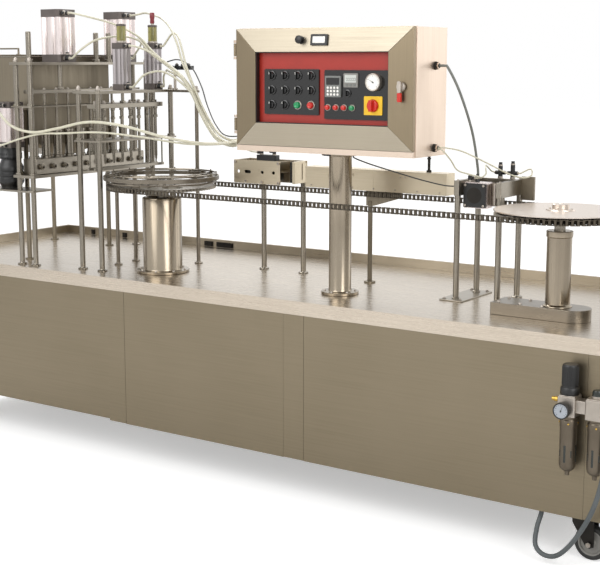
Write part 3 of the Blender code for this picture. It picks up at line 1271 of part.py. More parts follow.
def buildFilling():
    x = FILL_X
    frame = Shape()
    rod = CYLINDER_ROD_RADIUS * 0.7
    corner_y = (FILL_FRONT + FILL_POST_INSET, FILL_BACK - FILL_POST_INSET)
    corner_x = (FILL_LEFT + FILL_POST_INSET, FILL_RIGHT - FILL_POST_INSET)
    outline = roundedRectangle((FILL_LEFT, FILL_RIGHT), (FILL_FRONT, FILL_BACK), 0.012, steps=1)
    top = (FILL_TOP - PLATE_SHEET, FILL_TOP)
    frame.plate(outline, *top, [bore(x, y, rod + RUN) for y in MED_CYLINDER_Y])
    nozzle_y = spread(FILL_FRONT + 0.060, FILL_BACK - 0.060, NOZZLE_COUNT)
    guide = (NOZZLE_GUIDE_Z, NOZZLE_GUIDE_Z + 0.008)
    frame.plate(outline, *guide, [bore(x, y, NOZZLE_RADIUS + RUN, 6) for y in nozzle_y])
    for px in corner_x:
        for py in corner_y:
            footedPost(frame, px, py, FILL_TOP + 0.004, PUMP_POST_RADIUS)
            acornNut(frame, px, py, FILL_TOP, 0.017)
    # mouth guide: a pair of bars under the nozzle tips, hung from the lower guide
    for side in (-1, 1):
        bar_x = x + side * 0.018
        frame.box((bar_x - 0.004, bar_x + 0.004), (FILL_FRONT + 0.030, FILL_BACK - 0.030),
                  (MOUTH_GUIDE_Z, MOUTH_GUIDE_Z + 0.012))
        for y in (FILL_FRONT + 0.040, FILL_BACK - 0.040):
            frame.post(bar_x, y, MOUTH_GUIDE_Z + 0.011, guide[0] + LAP, 0.0035, 6)
    frame.finish("fill_frame", STAINLESS, 0.3, 1.0)

    carriage = Shape()
    bar = (CARRIAGE_Z, CARRIAGE_Z + 0.020)
    carriage.box((x - 0.024, x + 0.024), (FILL_FRONT + 0.035, FILL_BACK - 0.035), bar, 0.004)
    for y in MED_CYLINDER_Y:
        carriage.post(x, y, bar[1] - LAP, FILL_TOP + MED_CAP_HEIGHT, rod, 8)
    for y in nozzle_y:
        carriage.post(x, y, NOZZLE_BOTTOM, bar[0] + LAP, NOZZLE_RADIUS, 6)
    carriage.finish("nozzle_carriage", STAINLESS, 0.28, 1.0,
                    (x, (FILL_FRONT + FILL_BACK) / 2, CARRIAGE_Z))
    for name, y in zip(("front", "rear"), MED_CYLINDER_Y):
        airCylinder("fill_cylinder_" + name, x, y, FILL_TOP + GAP, MED_CYLINDER_HEIGHT, MED_CAP,
                    MED_CAP_HEIGHT, MED_BORE_RADIUS, rod + RUN, cup=True)


def buildValve():
    """Dosing valve on the shelf, with its upright air cylinder."""
    valve = Shape()
    x = VALVE_X
    y = VALVE_Y
    low = SHELF_Z + GAP
    r = VALVE_RADIUS
    valve.turned([(0, VALVE_TOP), (r * 0.86, VALVE_TOP), (r * 0.90, VALVE_TOP - 0.045),
                  (r * 0.72, VALVE_TOP - 0.055), (r, VALVE_TOP - 0.085), (r, low + 0.028),
                  (r * 0.8, low + 0.010), (r * 0.8, low), (0, low)], x, y, 16)
    valve.rod((x + r - 0.006, y, low + 0.060), (x + r + 0.012, y, low + 0.060), 0.022, 10)
    valve.finish("dosing_valve", (0.03, 0.035, 0.035), 0.35, 0.1)
    airCylinder("valve_cylinder", x, y, VALVE_TOP + GAP, SMALL_CYLINDER_HEIGHT, SMALL_CAP,
                SMALL_CAP_HEIGHT, SMALL_BORE_RADIUS, 0.0, front=True)


def buildAirUnit():
    y = UNIT_Y
    half = UNIT_SIZE / 2
    mid = UNIT_BODY_TOP - 0.035
    panel_face = -(HALF_DEPTH - PANEL_SETBACK)
    for i, name in enumerate(("filter_regulator", "lubricator")):
        x = UNIT_X + i * UNIT_SPACING
        unit = Shape()
        neck = UNIT_BODY_BOTTOM + 0.088
        unit.box((x - half, x + half), (y - half, y + half), (neck, UNIT_BODY_TOP), 0.006)
        low = BOWL_BOTTOM - 0.016
        unit.turned([(0, neck + LAP), (half * 0.94, neck + LAP), (half * 0.96, neck - 0.040),
                     (half * 0.90, UNIT_BODY_BOTTOM), (BOWL_RADIUS, UNIT_BODY_BOTTOM - 0.001),
                     (BOWL_RADIUS, BOWL_BOTTOM + 0.018),
                     (BOWL_RADIUS * 0.28, BOWL_BOTTOM), (BOWL_RADIUS * 0.28, low), (0, low)], x, y, 12)
        if i == 0:
            # joining block, wall bracket and pressure gauge
            unit.box((x + half - LAP, x + UNIT_SPACING - half - GAP), (y - 0.022, y + 0.022),
                     (mid - 0.022, mid + 0.022))
            unit.box((x - 0.026, x + 0.026), (y + half - LAP, panel_face - GAP),
                     (mid - 0.040, mid + 0.030))
            z = UNIT_BODY_TOP - 0.046
            unit.rod((x - 0.004, y - half + LAP, z), (x - 0.004, y - half - 0.034, z), 0.028, 16)
        else:
            unit.post(x, y, UNIT_BODY_TOP - LAP, UNIT_BODY_TOP + 0.030, 0.020, 16)
            # elbow that takes the supply hose from below
            elbow = x + half + HOSE_RADIUS + 0.004
            unit.box((x + half - LAP, elbow + 0.012), (y - 0.012, y + 0.012), (mid - 0.012, mid + 0.012))
            unit.post(elbow, y, mid - ELBOW_DROP, mid - 0.011, HOSE_RADIUS + 0.002, 10)
        unit.finish(name, ALUMINIUM, 0.4, 1.0)

    knob = Shape()
    low = UNIT_BODY_TOP + GAP
    r = REGULATOR_RADIUS
    knob.turned([(0, REGULATOR_TOP), (r - 0.004, REGULATOR_TOP), (r, REGULATOR_TOP - 0.006),
                 (r, REGULATOR_SEAT + 0.008), (r + 0.004, REGULATOR_SEAT), (r + 0.004, low), (0, low)],
                UNIT_X, y, 16)
    knob.finish("regulator_knob", BLACK, 0.5, 0.0, (UNIT_X, y, low))


def buildTubes():
    harness = Shape()
    gland = Vector((BOX_LEFT - GLAND_LENGTH - GAP, GLANDS[2][1], GLANDS[2][2]))
    hub = gland + Vector((-0.012, 0, 0))
    harness.rod(gland, gland + Vector((-0.024, 0, 0)), 0.014, 12)
    feeds = ((VALVE_X, VALVE_Y, SMALL_CAP, True,
              VALVE_TOP + GAP + SMALL_CYLINDER_HEIGHT - SMALL_CAP_HEIGHT / 2),
             (PUMP_X, BIG_CYLINDER_Y[0], BIG_CAP, False,
              PUMP_TOP + GAP + BIG_CYLINDER_HEIGHT - BIG_CAP_HEIGHT / 2),
             (FILL_X, MED_CYLINDER_Y[0], MED_CAP, False,
              FILL_TOP + GAP + MED_CYLINDER_HEIGHT - MED_CAP_HEIGHT / 2),
             (FILL_X, MED_CYLINDER_Y[1], MED_CAP, False, FILL_TOP + GAP + MED_CAP_HEIGHT / 2))
    ways = (((-1.10, -0.500, 1.465), (-0.98, -0.490, 1.440), (-0.80, -0.470, 1.455),
             (-0.55, -0.440, 1.445), (-0.30, -0.36, 1.41)),
            ((-0.92, -0.24, 1.86), (-0.80, -0.26, 1.79), (-0.60, -0.26, 1.60), (-0.28, -0.29, 1.43)),
            ((-0.60, -0.19, 1.74), (-0.42, -0.22, 1.60), (-0.20, -0.25, 1.44)),
            ((-0.60, 0.03, 1.59), (-0.40, -0.06, 1.54), (-0.18, -0.16, 1.43)))
    for n, ((x, y, size, front, z), way) in enumerate(zip(feeds, ways)):
        end, out = portPlace(x, y, size, front)
        port = end + out * GAP + Vector((0, 0, z))
        step = n - 1.5
        near = hub + Vector((-0.045, step * 0.010, step * 0.004))
        inside = hub + Vector((-0.004, step * 0.004, step * 0.003))
        harness.tube([port, *smoothRoute([port + out * 0.012, port + out * 0.03, *way, near, inside], 0.06)],
                     TUBE_RADIUS, 1)
    harness.finish("air_harness", (0.75, 0.70, 0.58), 0.3, 0.0)

    lead = Shape()
    start = Vector((BOX_RIGHT + GLAND_LENGTH + GAP, GLANDS[0][1], GLANDS[0][2]))
    top = S2_CENTRE_Z + S2_FACE / 2 + GAP
    end = Vector((S2_LEFT + 0.060, REAR_RUN_Y - JAW_OPEN - JAW_THICK - 0.010 - S2_BODY / 2, top))
    route = [start + Vector((0.012, 0, 0)), start + Vector((0.03, 0, 0)),
             (0.965, start.y + 0.03, 1.60), (0.985, start.y + 0.10, 1.45),
             end + Vector((0, 0, 0.05)), end + Vector((0, 0, 0.012))]
    lead.tube([start, *smoothRoute(route, 0.05), end], 0.005, 1)
    lead.finish("sensor_cable", (0.12, 0.12, 0.12), 0.5, 0.0)

    hose = Shape()
    y = -(HALF_DEPTH - PANEL_SETBACK) + 0.040
    exit_x = HOSE_EXIT_X
    port = Vector((UNIT_X + UNIT_SPACING + UNIT_SIZE / 2 + HOSE_RADIUS + 0.004, UNIT_Y,
                   UNIT_BODY_TOP - 0.035 - ELBOW_DROP - GAP))
    route = [(exit_x, y, CABINET_BOTTOM + 0.06), (exit_x, y, CABINET_BOTTOM - 0.01),
             (exit_x - 0.004, y - 0.030, 0.100), (exit_x + 0.008, y - 0.065, 0.050),
             (exit_x + 0.050, y - 0.085, 0.030), (exit_x + 0.105, y - 0.095, 0.045),
             (exit_x + 0.165, y - 0.100, 0.115), (exit_x + 0.225, y - 0.105, 0.230),
             (exit_x + 0.258, y - 0.105, 0.360), (port.x, UNIT_Y - 0.020, port.z - 0.080),
             port - Vector((0, 0, 0.015))]
    hose.tube([*smoothRoute(route, 0.045), port], HOSE_RADIUS)
    hose.finish("supply_hose", (0.20, 0.20, 0.20), 0.6, 0.0)


clearScene()
buildBench()
buildFrame()
buildPanels()
buildCasters()
buildDrive()
buildTail()
buildChain()
buildGuideRing()
buildBox()
buildDoor()
buildChannel()
buildStationOne()
buildStationTwo()
buildHopper()
buildPumps()
buildFilling()
buildValve()
buildAirUnit()
buildTubes()

for piece in machine.objects:
    piece.location.y += ORIGIN_SHIFT_Y
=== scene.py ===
# Looks of the ice pop packing machine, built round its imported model
import bmesh
import bpy
from math import cos, pi, radians, sin
from mathutils import Matrix, Vector


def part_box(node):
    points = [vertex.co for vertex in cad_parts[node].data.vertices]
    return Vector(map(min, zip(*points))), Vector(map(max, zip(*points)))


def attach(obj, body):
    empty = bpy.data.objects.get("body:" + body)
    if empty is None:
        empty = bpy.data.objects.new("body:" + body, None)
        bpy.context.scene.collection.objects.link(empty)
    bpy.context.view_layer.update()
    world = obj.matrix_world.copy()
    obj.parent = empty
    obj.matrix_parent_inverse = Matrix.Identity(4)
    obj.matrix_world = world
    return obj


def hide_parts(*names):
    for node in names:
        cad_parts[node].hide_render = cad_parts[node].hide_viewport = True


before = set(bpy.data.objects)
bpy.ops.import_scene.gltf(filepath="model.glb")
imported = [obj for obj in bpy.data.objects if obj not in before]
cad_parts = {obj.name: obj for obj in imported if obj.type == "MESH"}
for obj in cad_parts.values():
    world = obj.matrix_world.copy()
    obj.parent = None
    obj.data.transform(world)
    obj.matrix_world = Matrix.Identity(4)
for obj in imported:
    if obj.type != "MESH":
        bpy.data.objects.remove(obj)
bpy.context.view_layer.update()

# the camera stands at the front right, as the photographer did
view = {"eye": (3.1985, -4.4375, 1.7136), "right": (0.824257, 0.566215, 0.0),
        "up": (-0.09637, 0.14029, 0.98541), "lens": 77.29, "sensor": 36.0}


def setCamera():
    data = bpy.data.cameras.new("camera")
    data.lens = view["lens"]
    data.sensor_width = view["sensor"]
    data.clip_end = 100
    right = Vector(view["right"])
    up = Vector(view["up"])
    turn = Matrix((right, up, right.cross(up))).transposed().to_4x4()
    camera = bpy.data.objects.new("camera", data)
    camera.matrix_world = Matrix.Translation(view["eye"]) @ turn
    bpy.context.scene.collection.objects.link(camera)
    bpy.context.scene.camera = camera


setCamera()
print("camera set")


# Materials

def linear(hexColour):
    parts = [int(hexColour[i:i + 2], 16) / 255 for i in (1, 3, 5)]
    return (*[c / 12.92 if c <= 0.04045 else ((c + 0.055) / 1.055) ** 2.4 for c in parts], 1.0)


def addNode(tree, kind, inputs=None, **settings):
    node = tree.nodes.new(kind)
    for name, value in settings.items():
        setattr(node, name, value)
    for name, value in (inputs or {}).items():
        socket = node.inputs[name]
        if isinstance(value, bpy.types.NodeSocket):
            tree.links.new(value, socket)
        else:
            socket.default_value = value
    return node


def startMaterial(name, roughness, metallic):
    material = bpy.data.materials.new(name)
    material.use_nodes = True
    shader = material.node_tree.nodes["Principled BSDF"]
    shader.inputs["Roughness"].default_value = roughness
    shader.inputs["Metallic"].default_value = metallic
    return material, material.node_tree, shader


def mixColours(tree, factor, first, second):
    mix = addNode(tree, "ShaderNodeMix", data_type="RGBA")
    tree.links.new(factor, mix.inputs[0])
    for socket, colour in ((mix.inputs[6], first), (mix.inputs[7], second)):
        if isinstance(colour, bpy.types.NodeSocket):
            tree.links.new(colour, socket)
        else:
            socket.default_value = linear(colour)
    return mix.outputs[2]


def brushed(name, light, dark, roughness, along="X", grain=5.0, run=260.0, depth=0.1, flat=None):
    # grain and run are the width and length of a brush mark in millimetres, drawn coarser than life
    material, tree, shader = startMaterial(name, roughness, 1.0)
    coords = addNode(tree, "ShaderNodeTexCoord")
    scale = [1000 / grain] * 3
    scale["XYZ".index(along)] = 1000 / run
    place = addNode(tree, "ShaderNodeMapping", {"Vector": coords.outputs["Object"], "Scale": scale})
    marks = addNode(tree, "ShaderNodeTexNoise", {"Vector": place.outputs["Vector"], "Scale": 1.0,
            "Detail": 3.0, "Roughness": 0.6})
    clouds = addNode(tree, "ShaderNodeTexNoise", {"Vector": coords.outputs["Object"], "Scale": 2.6,
            "Detail": 4.0})
    soft = addNode(tree, "ShaderNodeMapRange", {"Value": clouds.outputs["Fac"], "From Min": 0.3,
            "From Max": 0.7, "To Min": 0.0, "To Max": 0.55})
    both = addNode(tree, "ShaderNodeMath", {0: marks.outputs["Fac"], 1: soft.outputs["Result"]},
            operation="MULTIPLY_ADD")
    both.inputs[2].default_value = 0.28
    colour = mixColours(tree, both.outputs[0], light, dark)
    if flat:  # painted light and shade: faces that lie level take one even colour of their own, set for how the light falls on a top
        shape = addNode(tree, "ShaderNodeNewGeometry")
        split = addNode(tree, "ShaderNodeSeparateXYZ", {"Vector": shape.outputs["True Normal"]})
        lying = addNode(tree, "ShaderNodeMath", {0: split.outputs["Z"], 1: 0.7}, operation="GREATER_THAN")
        colour = mixColours(tree, lying.outputs[0], colour, flat)
    tree.links.new(colour, shader.inputs["Base Color"])
    gloss = addNode(tree, "ShaderNodeMapRange", {"Value": marks.outputs["Fac"], "From Min": 0.3,
            "From Max": 0.7, "To Min": roughness - 0.05, "To Max": roughness + 0.07})
    tree.links.new(gloss.outputs["Result"], shader.inputs["Roughness"])
    bump = addNode(tree, "ShaderNodeBump", {"Height": marks.outputs["Fac"], "Strength": depth,
            "Distance": 0.0004})
    tree.links.new(bump.outputs["Normal"], shader.inputs["Normal"])
    return material


def moulded(name, colour, shade, roughness, metallic=0.0, grain=1.5, depth=0.08, coat=0.0):
    # grain is the skin's texture in millimetres, over a slow change of tone
    material, tree, shader = startMaterial(name, roughness, metallic)
    shader.inputs["Coat Weight"].default_value = coat
    coords = addNode(tree, "ShaderNodeTexCoord")
    slow = addNode(tree, "ShaderNodeTexNoise", {"Vector": coords.outputs["Object"], "Scale": 14.0,
            "Detail": 4.0})
    tree.links.new(mixColours(tree, slow.outputs["Fac"], colour, shade), shader.inputs["Base Color"])
    skin = addNode(tree, "ShaderNodeTexNoise", {"Vector": coords.outputs["Object"], "Scale": 1000 / grain,
            "Detail": 2.0})
    bump = addNode(tree, "ShaderNodeBump", {"Height": skin.outputs["Fac"], "Strength": depth,
            "Distance": 0.0003})
    tree.links.new(bump.outputs["Normal"], shader.inputs["Normal"])
    gloss = addNode(tree, "ShaderNodeMapRange", {"Value": slow.outputs["Fac"], "To Min": roughness - 0.04,
            "To Max": roughness + 0.06})
    tree.links.new(gloss.outputs["Result"], shader.inputs["Roughness"])
    return material


def clear(name, colour, weight, roughness=0.08):
    material, tree, shader = startMaterial(name, roughness, 0.0)
    shader.inputs["Base Color"].default_value = linear(colour)
    shader.inputs["Transmission Weight"].default_value = weight
    shader.inputs["IOR"].default_value = 1.49
    return material


finishes = {
    # rolled sheet: long soft streaks that a low light draws out
    # the worktop's level faces take the painted top tone: painted light and shade for how its top is lit
    "worktop": brushed("brushedStainlessWorktop", "#cdc2b4", "#b8ac9c", 0.26, depth=0.03, flat="#bfb5a7"),
    "rim": brushed("foldedStainlessRim", "#b3a998", "#958b79", 0.32, grain=5.0),
    # the panels' dark brown is painted shade: the dim reflection that sheet facing the front shows
    "cabinet": brushed("brushedStainlessPanelsPaintedShade", "#8c816e", "#7d735f", 0.42, grain=7.0, run=420.0),
    "shell": brushed("brushedStainlessBox", "#dccbbb", "#c8b6a5", 0.38, along="Z"),
    # the door frame's one steel in two copies: lighter on the rails, painted light, and darker on the stiles,
    # painted shade, for how light falls on their slopes
    "rail": brushed("satinStainlessDoorRailsPaintedLight", "#b3aa98", "#9d9383", 0.38, grain=4.0),
    "stile": brushed("satinStainlessDoorStilesPaintedShade", "#93866f", "#7b6e5b", 0.34, along="Z", grain=4.0),
    # drawn and polished round stock: a tight bright line down a dark tube
    "tube": brushed("polishedStainlessTube", "#aea392", "#776b5a", 0.2, along="Z", grain=9.0, run=900.0),
    "bar": brushed("drawnStainlessBar", "#a39c90", "#5f594f", 0.24, along="Z", grain=6.0, run=500.0),
    # milled and ground plate: short marks, so the shine breaks up sooner
    "plate": brushed("machinedStainlessPlate", "#a8a195", "#6f695f", 0.32, grain=4.0, run=120.0),
    "sheet": brushed("foldedStainlessSheet", "#ccc0a9", "#aa9d86", 0.34, grain=5.0, run=200.0),
    "base": brushed("castStainlessBase", "#8f877b", "#645d52", 0.3, grain=4.0, run=120.0),
    "disc": brushed("groundStainlessDisc", "#ddd2c8", "#c4b9ad", 0.32, grain=3.0, run=60.0),
    # pickled tank sheet: dull and clouded
    "dull": brushed("pickledStainlessTank", "#8f8676", "#655d4f", 0.42, along="Z", grain=8.0),
    "chain": brushed("oiledChainSteel", "#6f675b", "#28241f", 0.38, grain=3.0, run=20.0),
    # blackened steel: near black with a faint broken sheen
    "dark": moulded("blackOxideSteel", "#3a3733", "#1d1b19", 0.42, 0.8),
    # cast metal: grainy, softly shining
    "alloy": moulded("diecastAluminium", "#bfb7ae", "#958d83", 0.4, 0.9, grain=1.0),
    "guard": moulded("pressedBowlGuard", "#7d7365", "#544c41", 0.36, 0.85, grain=1.2),
    # drawn and anodised: pale, with fine upright lines
    "barrel": brushed("anodisedAluminiumBarrel", "#f3e9e6", "#c8bab8", 0.26, along="Z", grain=7.0, run=300),
    "profile": brushed("anodisedProfileGrey", "#b3adae", "#87817f", 0.3, along="Z", grain=6.0, run=300),
    "cap": moulded("greyAnodisedCap", "#716965", "#4e4845", 0.38, 0.55, grain=1.2),
    # moulded plastics: even colour under a soft or wet shine
    "black": moulded("mouldedAbsBlack", "#191919", "#0b0b0b", 0.38),
    "gloss": moulded("glossyPhenolicBlack", "#121212", "#060606", 0.18, coat=0.4),
    "redKnob": moulded("mouldedPolycarbonateRed", "#d22a1c", "#b01e15", 0.25, coat=0.3),
    "wine": moulded("mouldedNylonWine", "#8c2430", "#6c1822", 0.35, coat=0.2),
    "green": moulded("mouldedPolycarbonateGreen", "#1c9a5c", "#127546", 0.25, coat=0.3),
    "yellow": moulded("mouldedPolycarbonateYellow", "#ecc22c", "#dcae1e", 0.32),
    "lcd": moulded("liquidCrystalGrey", "#cfd2cd", "#bcc0ba", 0.2),
    "keys": moulded("siliconeKeypadGrey", "#7d7f7c", "#666865", 0.5),
    "hub": moulded("mouldedNylonHub", "#8d8b86", "#74726d", 0.48),
    # stoved paint: a smooth coat with a little orange peel
    "red": moulded("bakedEnamelRed", "#a82a1d", "#932215", 0.36, grain=2.5, coat=0.12),
    "paint": moulded("hammeredMachineGrey", "#5d676c", "#4b555a", 0.45, grain=4.0, depth=0.3),
    # printed card: flat and matt; the white also paints a highlight down each selector lever
    "white": moulded("printedWhiteAndPaintedHighlight", "#f2f0ea", "#e6e4de", 0.45),
    "dial": moulded("printedDialBlueGrey", "#a9afb6", "#989ea6", 0.4),
    "brass": moulded("turnedBrass", "#d2ae5c", "#b08d42", 0.25, 1.0),
    # rubber and soft sheath: matt, faintly dusty
    "rubber": moulded("vulcanisedRubberTread", "#2a2a28", "#1a1a19", 0.62, grain=3.0, depth=0.2),
    "hose": moulded("reinforcedRubberHose", "#5d6263", "#43484a", 0.55, grain=2.0),
    "sheath": moulded("pvcCableSheath", "#7b7d79", "#63655f", 0.45),
    "lead": moulded("pvcCableLead", "#3c3d3b", "#2b2c2a", 0.45),
    # clear plastics: the light comes through
    "tubing": clear("polyurethaneTubeCream", "#d9d5c0", 0.2, 0.28),
    "olive": clear("polycarbonateCupOlive", "#a39d5f", 0.55, 0.06),
    "sight": clear("polycarbonateBowl", "#2a2f2b", 0.15, 0.12),
}
print("materials made", len(finishes))


# Mesh building

class Build:
    def __init__(self):
        self.bm = bmesh.new()
        self.paint = 0

    def keep(self, bm, turn=None):
        if turn is not None:
            bmesh.ops.transform(bm, matrix=turn, verts=bm.verts[:])
        for face in bm.faces:
            face.material_index = self.paint
        mesh = bpy.data.meshes.new("piece")
        bm.to_mesh(mesh)
        bm.free()
        self.bm.from_mesh(mesh)
        bpy.data.meshes.remove(mesh)

    def box(self, x, y, z):
        bm = bmesh.new()
        middle = Vector([(low + high) / 2 for low, high in (x, y, z)])
        size = [high - low for low, high in (x, y, z)]
        bmesh.ops.create_cube(bm, size=1)
        self.keep(bm, Matrix.Translation(middle) @ Matrix.Diagonal((*size, 1)))

    def rod(self, a, b, radius, sides=20, far=None):
        bm = bmesh.new()
        a, b = Vector(a), Vector(b)
        turn = (b - a).to_track_quat("Z", "Y").to_matrix().to_4x4()
        bmesh.ops.create_cone(bm, cap_ends=True, segments=sides, radius1=radius,
                radius2=radius if far is None else far, depth=(b - a).length)
        self.keep(bm, Matrix.Translation((a + b) / 2) @ turn)

    def post(self, x, y, low, high, radius, sides=20):
        self.rod((x, y, low), (x, y, high), radius, sides)

    def turned(self, profile, origin=(0, 0, 0), axis=(0, 0, 1), sides=32):
        # a profile of radius and distance along the axis, spun about it
        bm = bmesh.new()
        line = [bm.verts.new((radius, 0, along)) for radius, along in profile]
        edges = [bm.edges.new(pair) for pair in zip(line, line[1:])]
        bmesh.ops.spin(bm, geom=line + edges, cent=(0, 0, 0), axis=(0, 0, 1), dvec=(0, 0, 0), angle=2 * pi,
                steps=sides, use_duplicate=False)
        bmesh.ops.remove_doubles(bm, verts=bm.verts[:], dist=1e-6)
        turn = Vector(axis).to_track_quat("Z", "Y").to_matrix().to_4x4()
        self.keep(bm, Matrix.Translation(origin) @ turn)

    def plate(self, outline, low, high, turn=None):
        # an outline in plan, raised from low to high, then turned
        bm = bmesh.new()
        floor = [bm.verts.new((x, y, low)) for x, y in outline]
        roof = [bm.verts.new((x, y, high)) for x, y in outline]
        bm.faces.new(list(reversed(floor)))
        bm.faces.new(roof)
        for i in range(len(outline)):
            j = (i + 1) % len(outline)
            bm.faces.new((floor[i], floor[j], roof[j], roof[i]))
        self.keep(bm, turn)

    def holed(self, outline, holes, low, high, turn=None):
        # the same with holes through it
        bm = bmesh.new()
        for points in [outline] + holes:
            verts = [bm.verts.new((x, y, low)) for x, y in points]
            for i in range(len(verts)):
                bm.edges.new((verts[i], verts[(i + 1) % len(verts)]))
        bmesh.ops.triangle_fill(bm, use_beauty=True, use_dissolve=False, edges=bm.edges[:])
        made = bmesh.ops.extrude_face_region(bm, geom=bm.faces[:])
        raised = [v for v in made["geom"] if isinstance(v, bmesh.types.BMVert)]
        bmesh.ops.translate(bm, verts=raised, vec=(0, 0, high - low))
        self.keep(bm, turn)

    def mesh(self, name, materials, smooth=38):
        bm = self.bm
        bmesh.ops.recalc_face_normals(bm, faces=bm.faces)
        for edge in bm.edges:
            sharp = len(edge.link_faces) != 2 or edge.calc_face_angle(0) > radians(smooth)
            edge.smooth = not sharp
        for face in bm.faces:
            face.smooth = True
        mesh = bpy.data.meshes.new(name)
        bm.to_mesh(mesh)
        bm.free()
        for material in materials:
            mesh.materials.append(finishes[material])
        return mesh


def show(name, mesh, body="machine", hides=(), rounding=0.0):
    piece = bpy.data.objects.new(name, mesh)
    bpy.context.scene.collection.objects.link(piece)
    if rounding:
        bevel = piece.modifiers.new("roundedEdges", "BEVEL")
        bevel.width = rounding
        bevel.segments = 2
        bevel.limit_method = "ANGLE"
        bevel.angle_limit = radians(50)
    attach(piece, body)
    if hides:
        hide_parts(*hides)
    return piece


def finish(build, name, materials, body="machine", hides=(), rounding=0.0):
    return show(name, build.mesh(name, materials), body, hides, rounding)


def dress(node, material):
    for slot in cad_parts[node].material_slots:
        slot.material = finishes[material]


def circle(x, y, radius, sides=24, start=0.0):
    return [(x + radius * cos(start + 2 * pi * i / sides), y + radius * sin(start + 2 * pi * i / sides))
            for i in range(sides)]


def rounded(x, y, radius, steps=5):
    points = []
    corners = ((x[0] + radius, y[0] + radius, pi), (x[1] - radius, y[0] + radius, 1.5 * pi),
            (x[1] - radius, y[1] - radius, 0.0), (x[0] + radius, y[1] - radius, 0.5 * pi))
    for cx, cy, start in corners:
        for i in range(steps + 1):
            a = start + 0.5 * pi * i / steps
            points.append((cx + radius * cos(a), cy + radius * sin(a)))
    return points


def spread(first, last, count):
    return [first + (last - first) * i / (count - 1) for i in range(count)]


upright = Matrix.Rotation(pi / 2, 4, "X")   # stands a plan outline up so that it faces the front


# One Geometry Nodes tree sets copies of a small part on points, each with its own turn and size

def copyTree():
    tree = bpy.data.node_groups.new("copiesOnPoints", "GeometryNodeTree")
    face = tree.interface
    face.new_socket(name="Geometry", in_out="INPUT", socket_type="NodeSocketGeometry")
    keys = {}
    for label, kind in (("Part", "NodeSocketObject"), ("Size", "NodeSocketFloat"),
            ("Finish", "NodeSocketMaterial")):
        keys[label] = face.new_socket(name=label, in_out="INPUT", socket_type=kind).identifier
    face.new_socket(name="Geometry", in_out="OUTPUT", socket_type="NodeSocketGeometry")
    entry = addNode(tree, "NodeGroupInput")
    facing = addNode(tree, "GeometryNodeInputNamedAttribute", {"Name": "facing"}, data_type="FLOAT_VECTOR")
    growth = addNode(tree, "GeometryNodeInputNamedAttribute", {"Name": "growth"}, data_type="FLOAT")
    size = addNode(tree, "ShaderNodeMath", {0: growth.outputs["Attribute"], 1: entry.outputs["Size"]},
            operation="MULTIPLY")
    turn = addNode(tree, "FunctionNodeEulerToRotation", {"Euler": facing.outputs["Attribute"]})
    part = addNode(tree, "GeometryNodeObjectInfo", {"Object": entry.outputs["Part"]})
    copies = addNode(tree, "GeometryNodeInstanceOnPoints", {"Points": entry.outputs["Geometry"],
            "Instance": part.outputs["Geometry"], "Rotation": turn.outputs["Rotation"],
            "Scale": size.outputs[0]})
    real = addNode(tree, "GeometryNodeRealizeInstances", {"Geometry": copies.outputs["Instances"]})
    paint = addNode(tree, "GeometryNodeSetMaterial", {"Geometry": real.outputs["Geometry"],
            "Material": entry.outputs["Finish"]})
    addNode(tree, "NodeGroupOutput", {"Geometry": paint.outputs["Geometry"]})
    return tree, keys


copies, copyKeys = copyTree()


def repeat(name, build, spots, material, body="machine", hides=(), size=1.0):
    # spots are places, each with an Euler turn and a growth
    scene = bpy.context.scene.collection
    source = bpy.data.objects.new(name + "Part", build.mesh(name + "Part", [material]))
    scene.objects.link(source)
    points = bpy.data.meshes.new(name + "Points")
    points.from_pydata([place for place, turn, growth in spots], [], [])
    facing = points.attributes.new("facing", "FLOAT_VECTOR", "POINT")
    facing.data.foreach_set("vector", [angle for place, turn, growth in spots for angle in turn])
    growths = points.attributes.new("growth", "FLOAT", "POINT")
    growths.data.foreach_set("value", [growth for place, turn, growth in spots])
    holder = bpy.data.objects.new(name + "Points", points)
    scene.objects.link(holder)
    modifier = holder.modifiers.new("copies", "NODES")
    modifier.node_group = copies
    modifier[copyKeys["Part"]] = source
    modifier[copyKeys["Size"]] = size
    modifier[copyKeys["Finish"]] = finishes[material]
    graph = bpy.context.evaluated_depsgraph_get()
    mesh = bpy.data.meshes.new_from_object(holder.evaluated_get(graph), depsgraph=graph)
    mesh.name = name
    bpy.data.objects.remove(holder)
    bpy.data.objects.remove(source)
    return show(name, mesh, body, hides)


facingUp = (0.0, 0.0, 0.0)
facingFront = (pi / 2, 0.0, 0.0)      # +Z of the part points to -Y
facingRight = (0.0, pi / 2, 0.0)      # +Z of the part points to +X


def socketScrew(radius=0.0045, height=0.004):
    screw = Build()
    screw.turned([(0, height * 0.35), (radius * 0.5, height * 0.35), (radius * 0.55, height),
            (radius * 0.86, height), (radius, height * 0.8), (radius, -0.001)], sides=12)
    return screw


def hexNut(radius=0.01, height=0.009):
    nut = Build()
    nut.rod((0, 0, 0), (0, 0, height), radius, 6)
    nut.rod((0, 0, height - 0.001), (0, 0, height + 0.004), radius * 0.5, 10)
    return nut


def domeNut(radius=0.0105):
    nut = Build()
    nut.rod((0, 0, 0), (0, 0, radius * 0.9), radius, 6)
    nut.turned([(radius * 0.84, radius * 0.8), (radius * 0.8, radius * 1.3), (radius * 0.6, radius * 1.8),
            (radius * 0.3, radius * 2.05), (0, radius * 2.12)], sides=12)
    return nut


# Cabinet and worktop
for node in ("front_panel_left", "front_panel_middle", "front_panel_right", "rear_panel", "bench_frame"):
    dress(node, "cabinet")
dress("bench_worktop", "worktop")
dress("bench_rim", "rim")
dress("drive_gearmotor", "paint")
bench = {"top": 0.8, "shadeBlockDepth": 0.006, "shadeBlockZ": (0.802, 0.826),
        "clips": ((-1.562, -1.541), (-1.341, -1.315), (-0.795, -0.744), (-0.719, -0.619))}
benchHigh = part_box("bench_worktop")[1]
rimFace = benchHigh.y - 0.0035
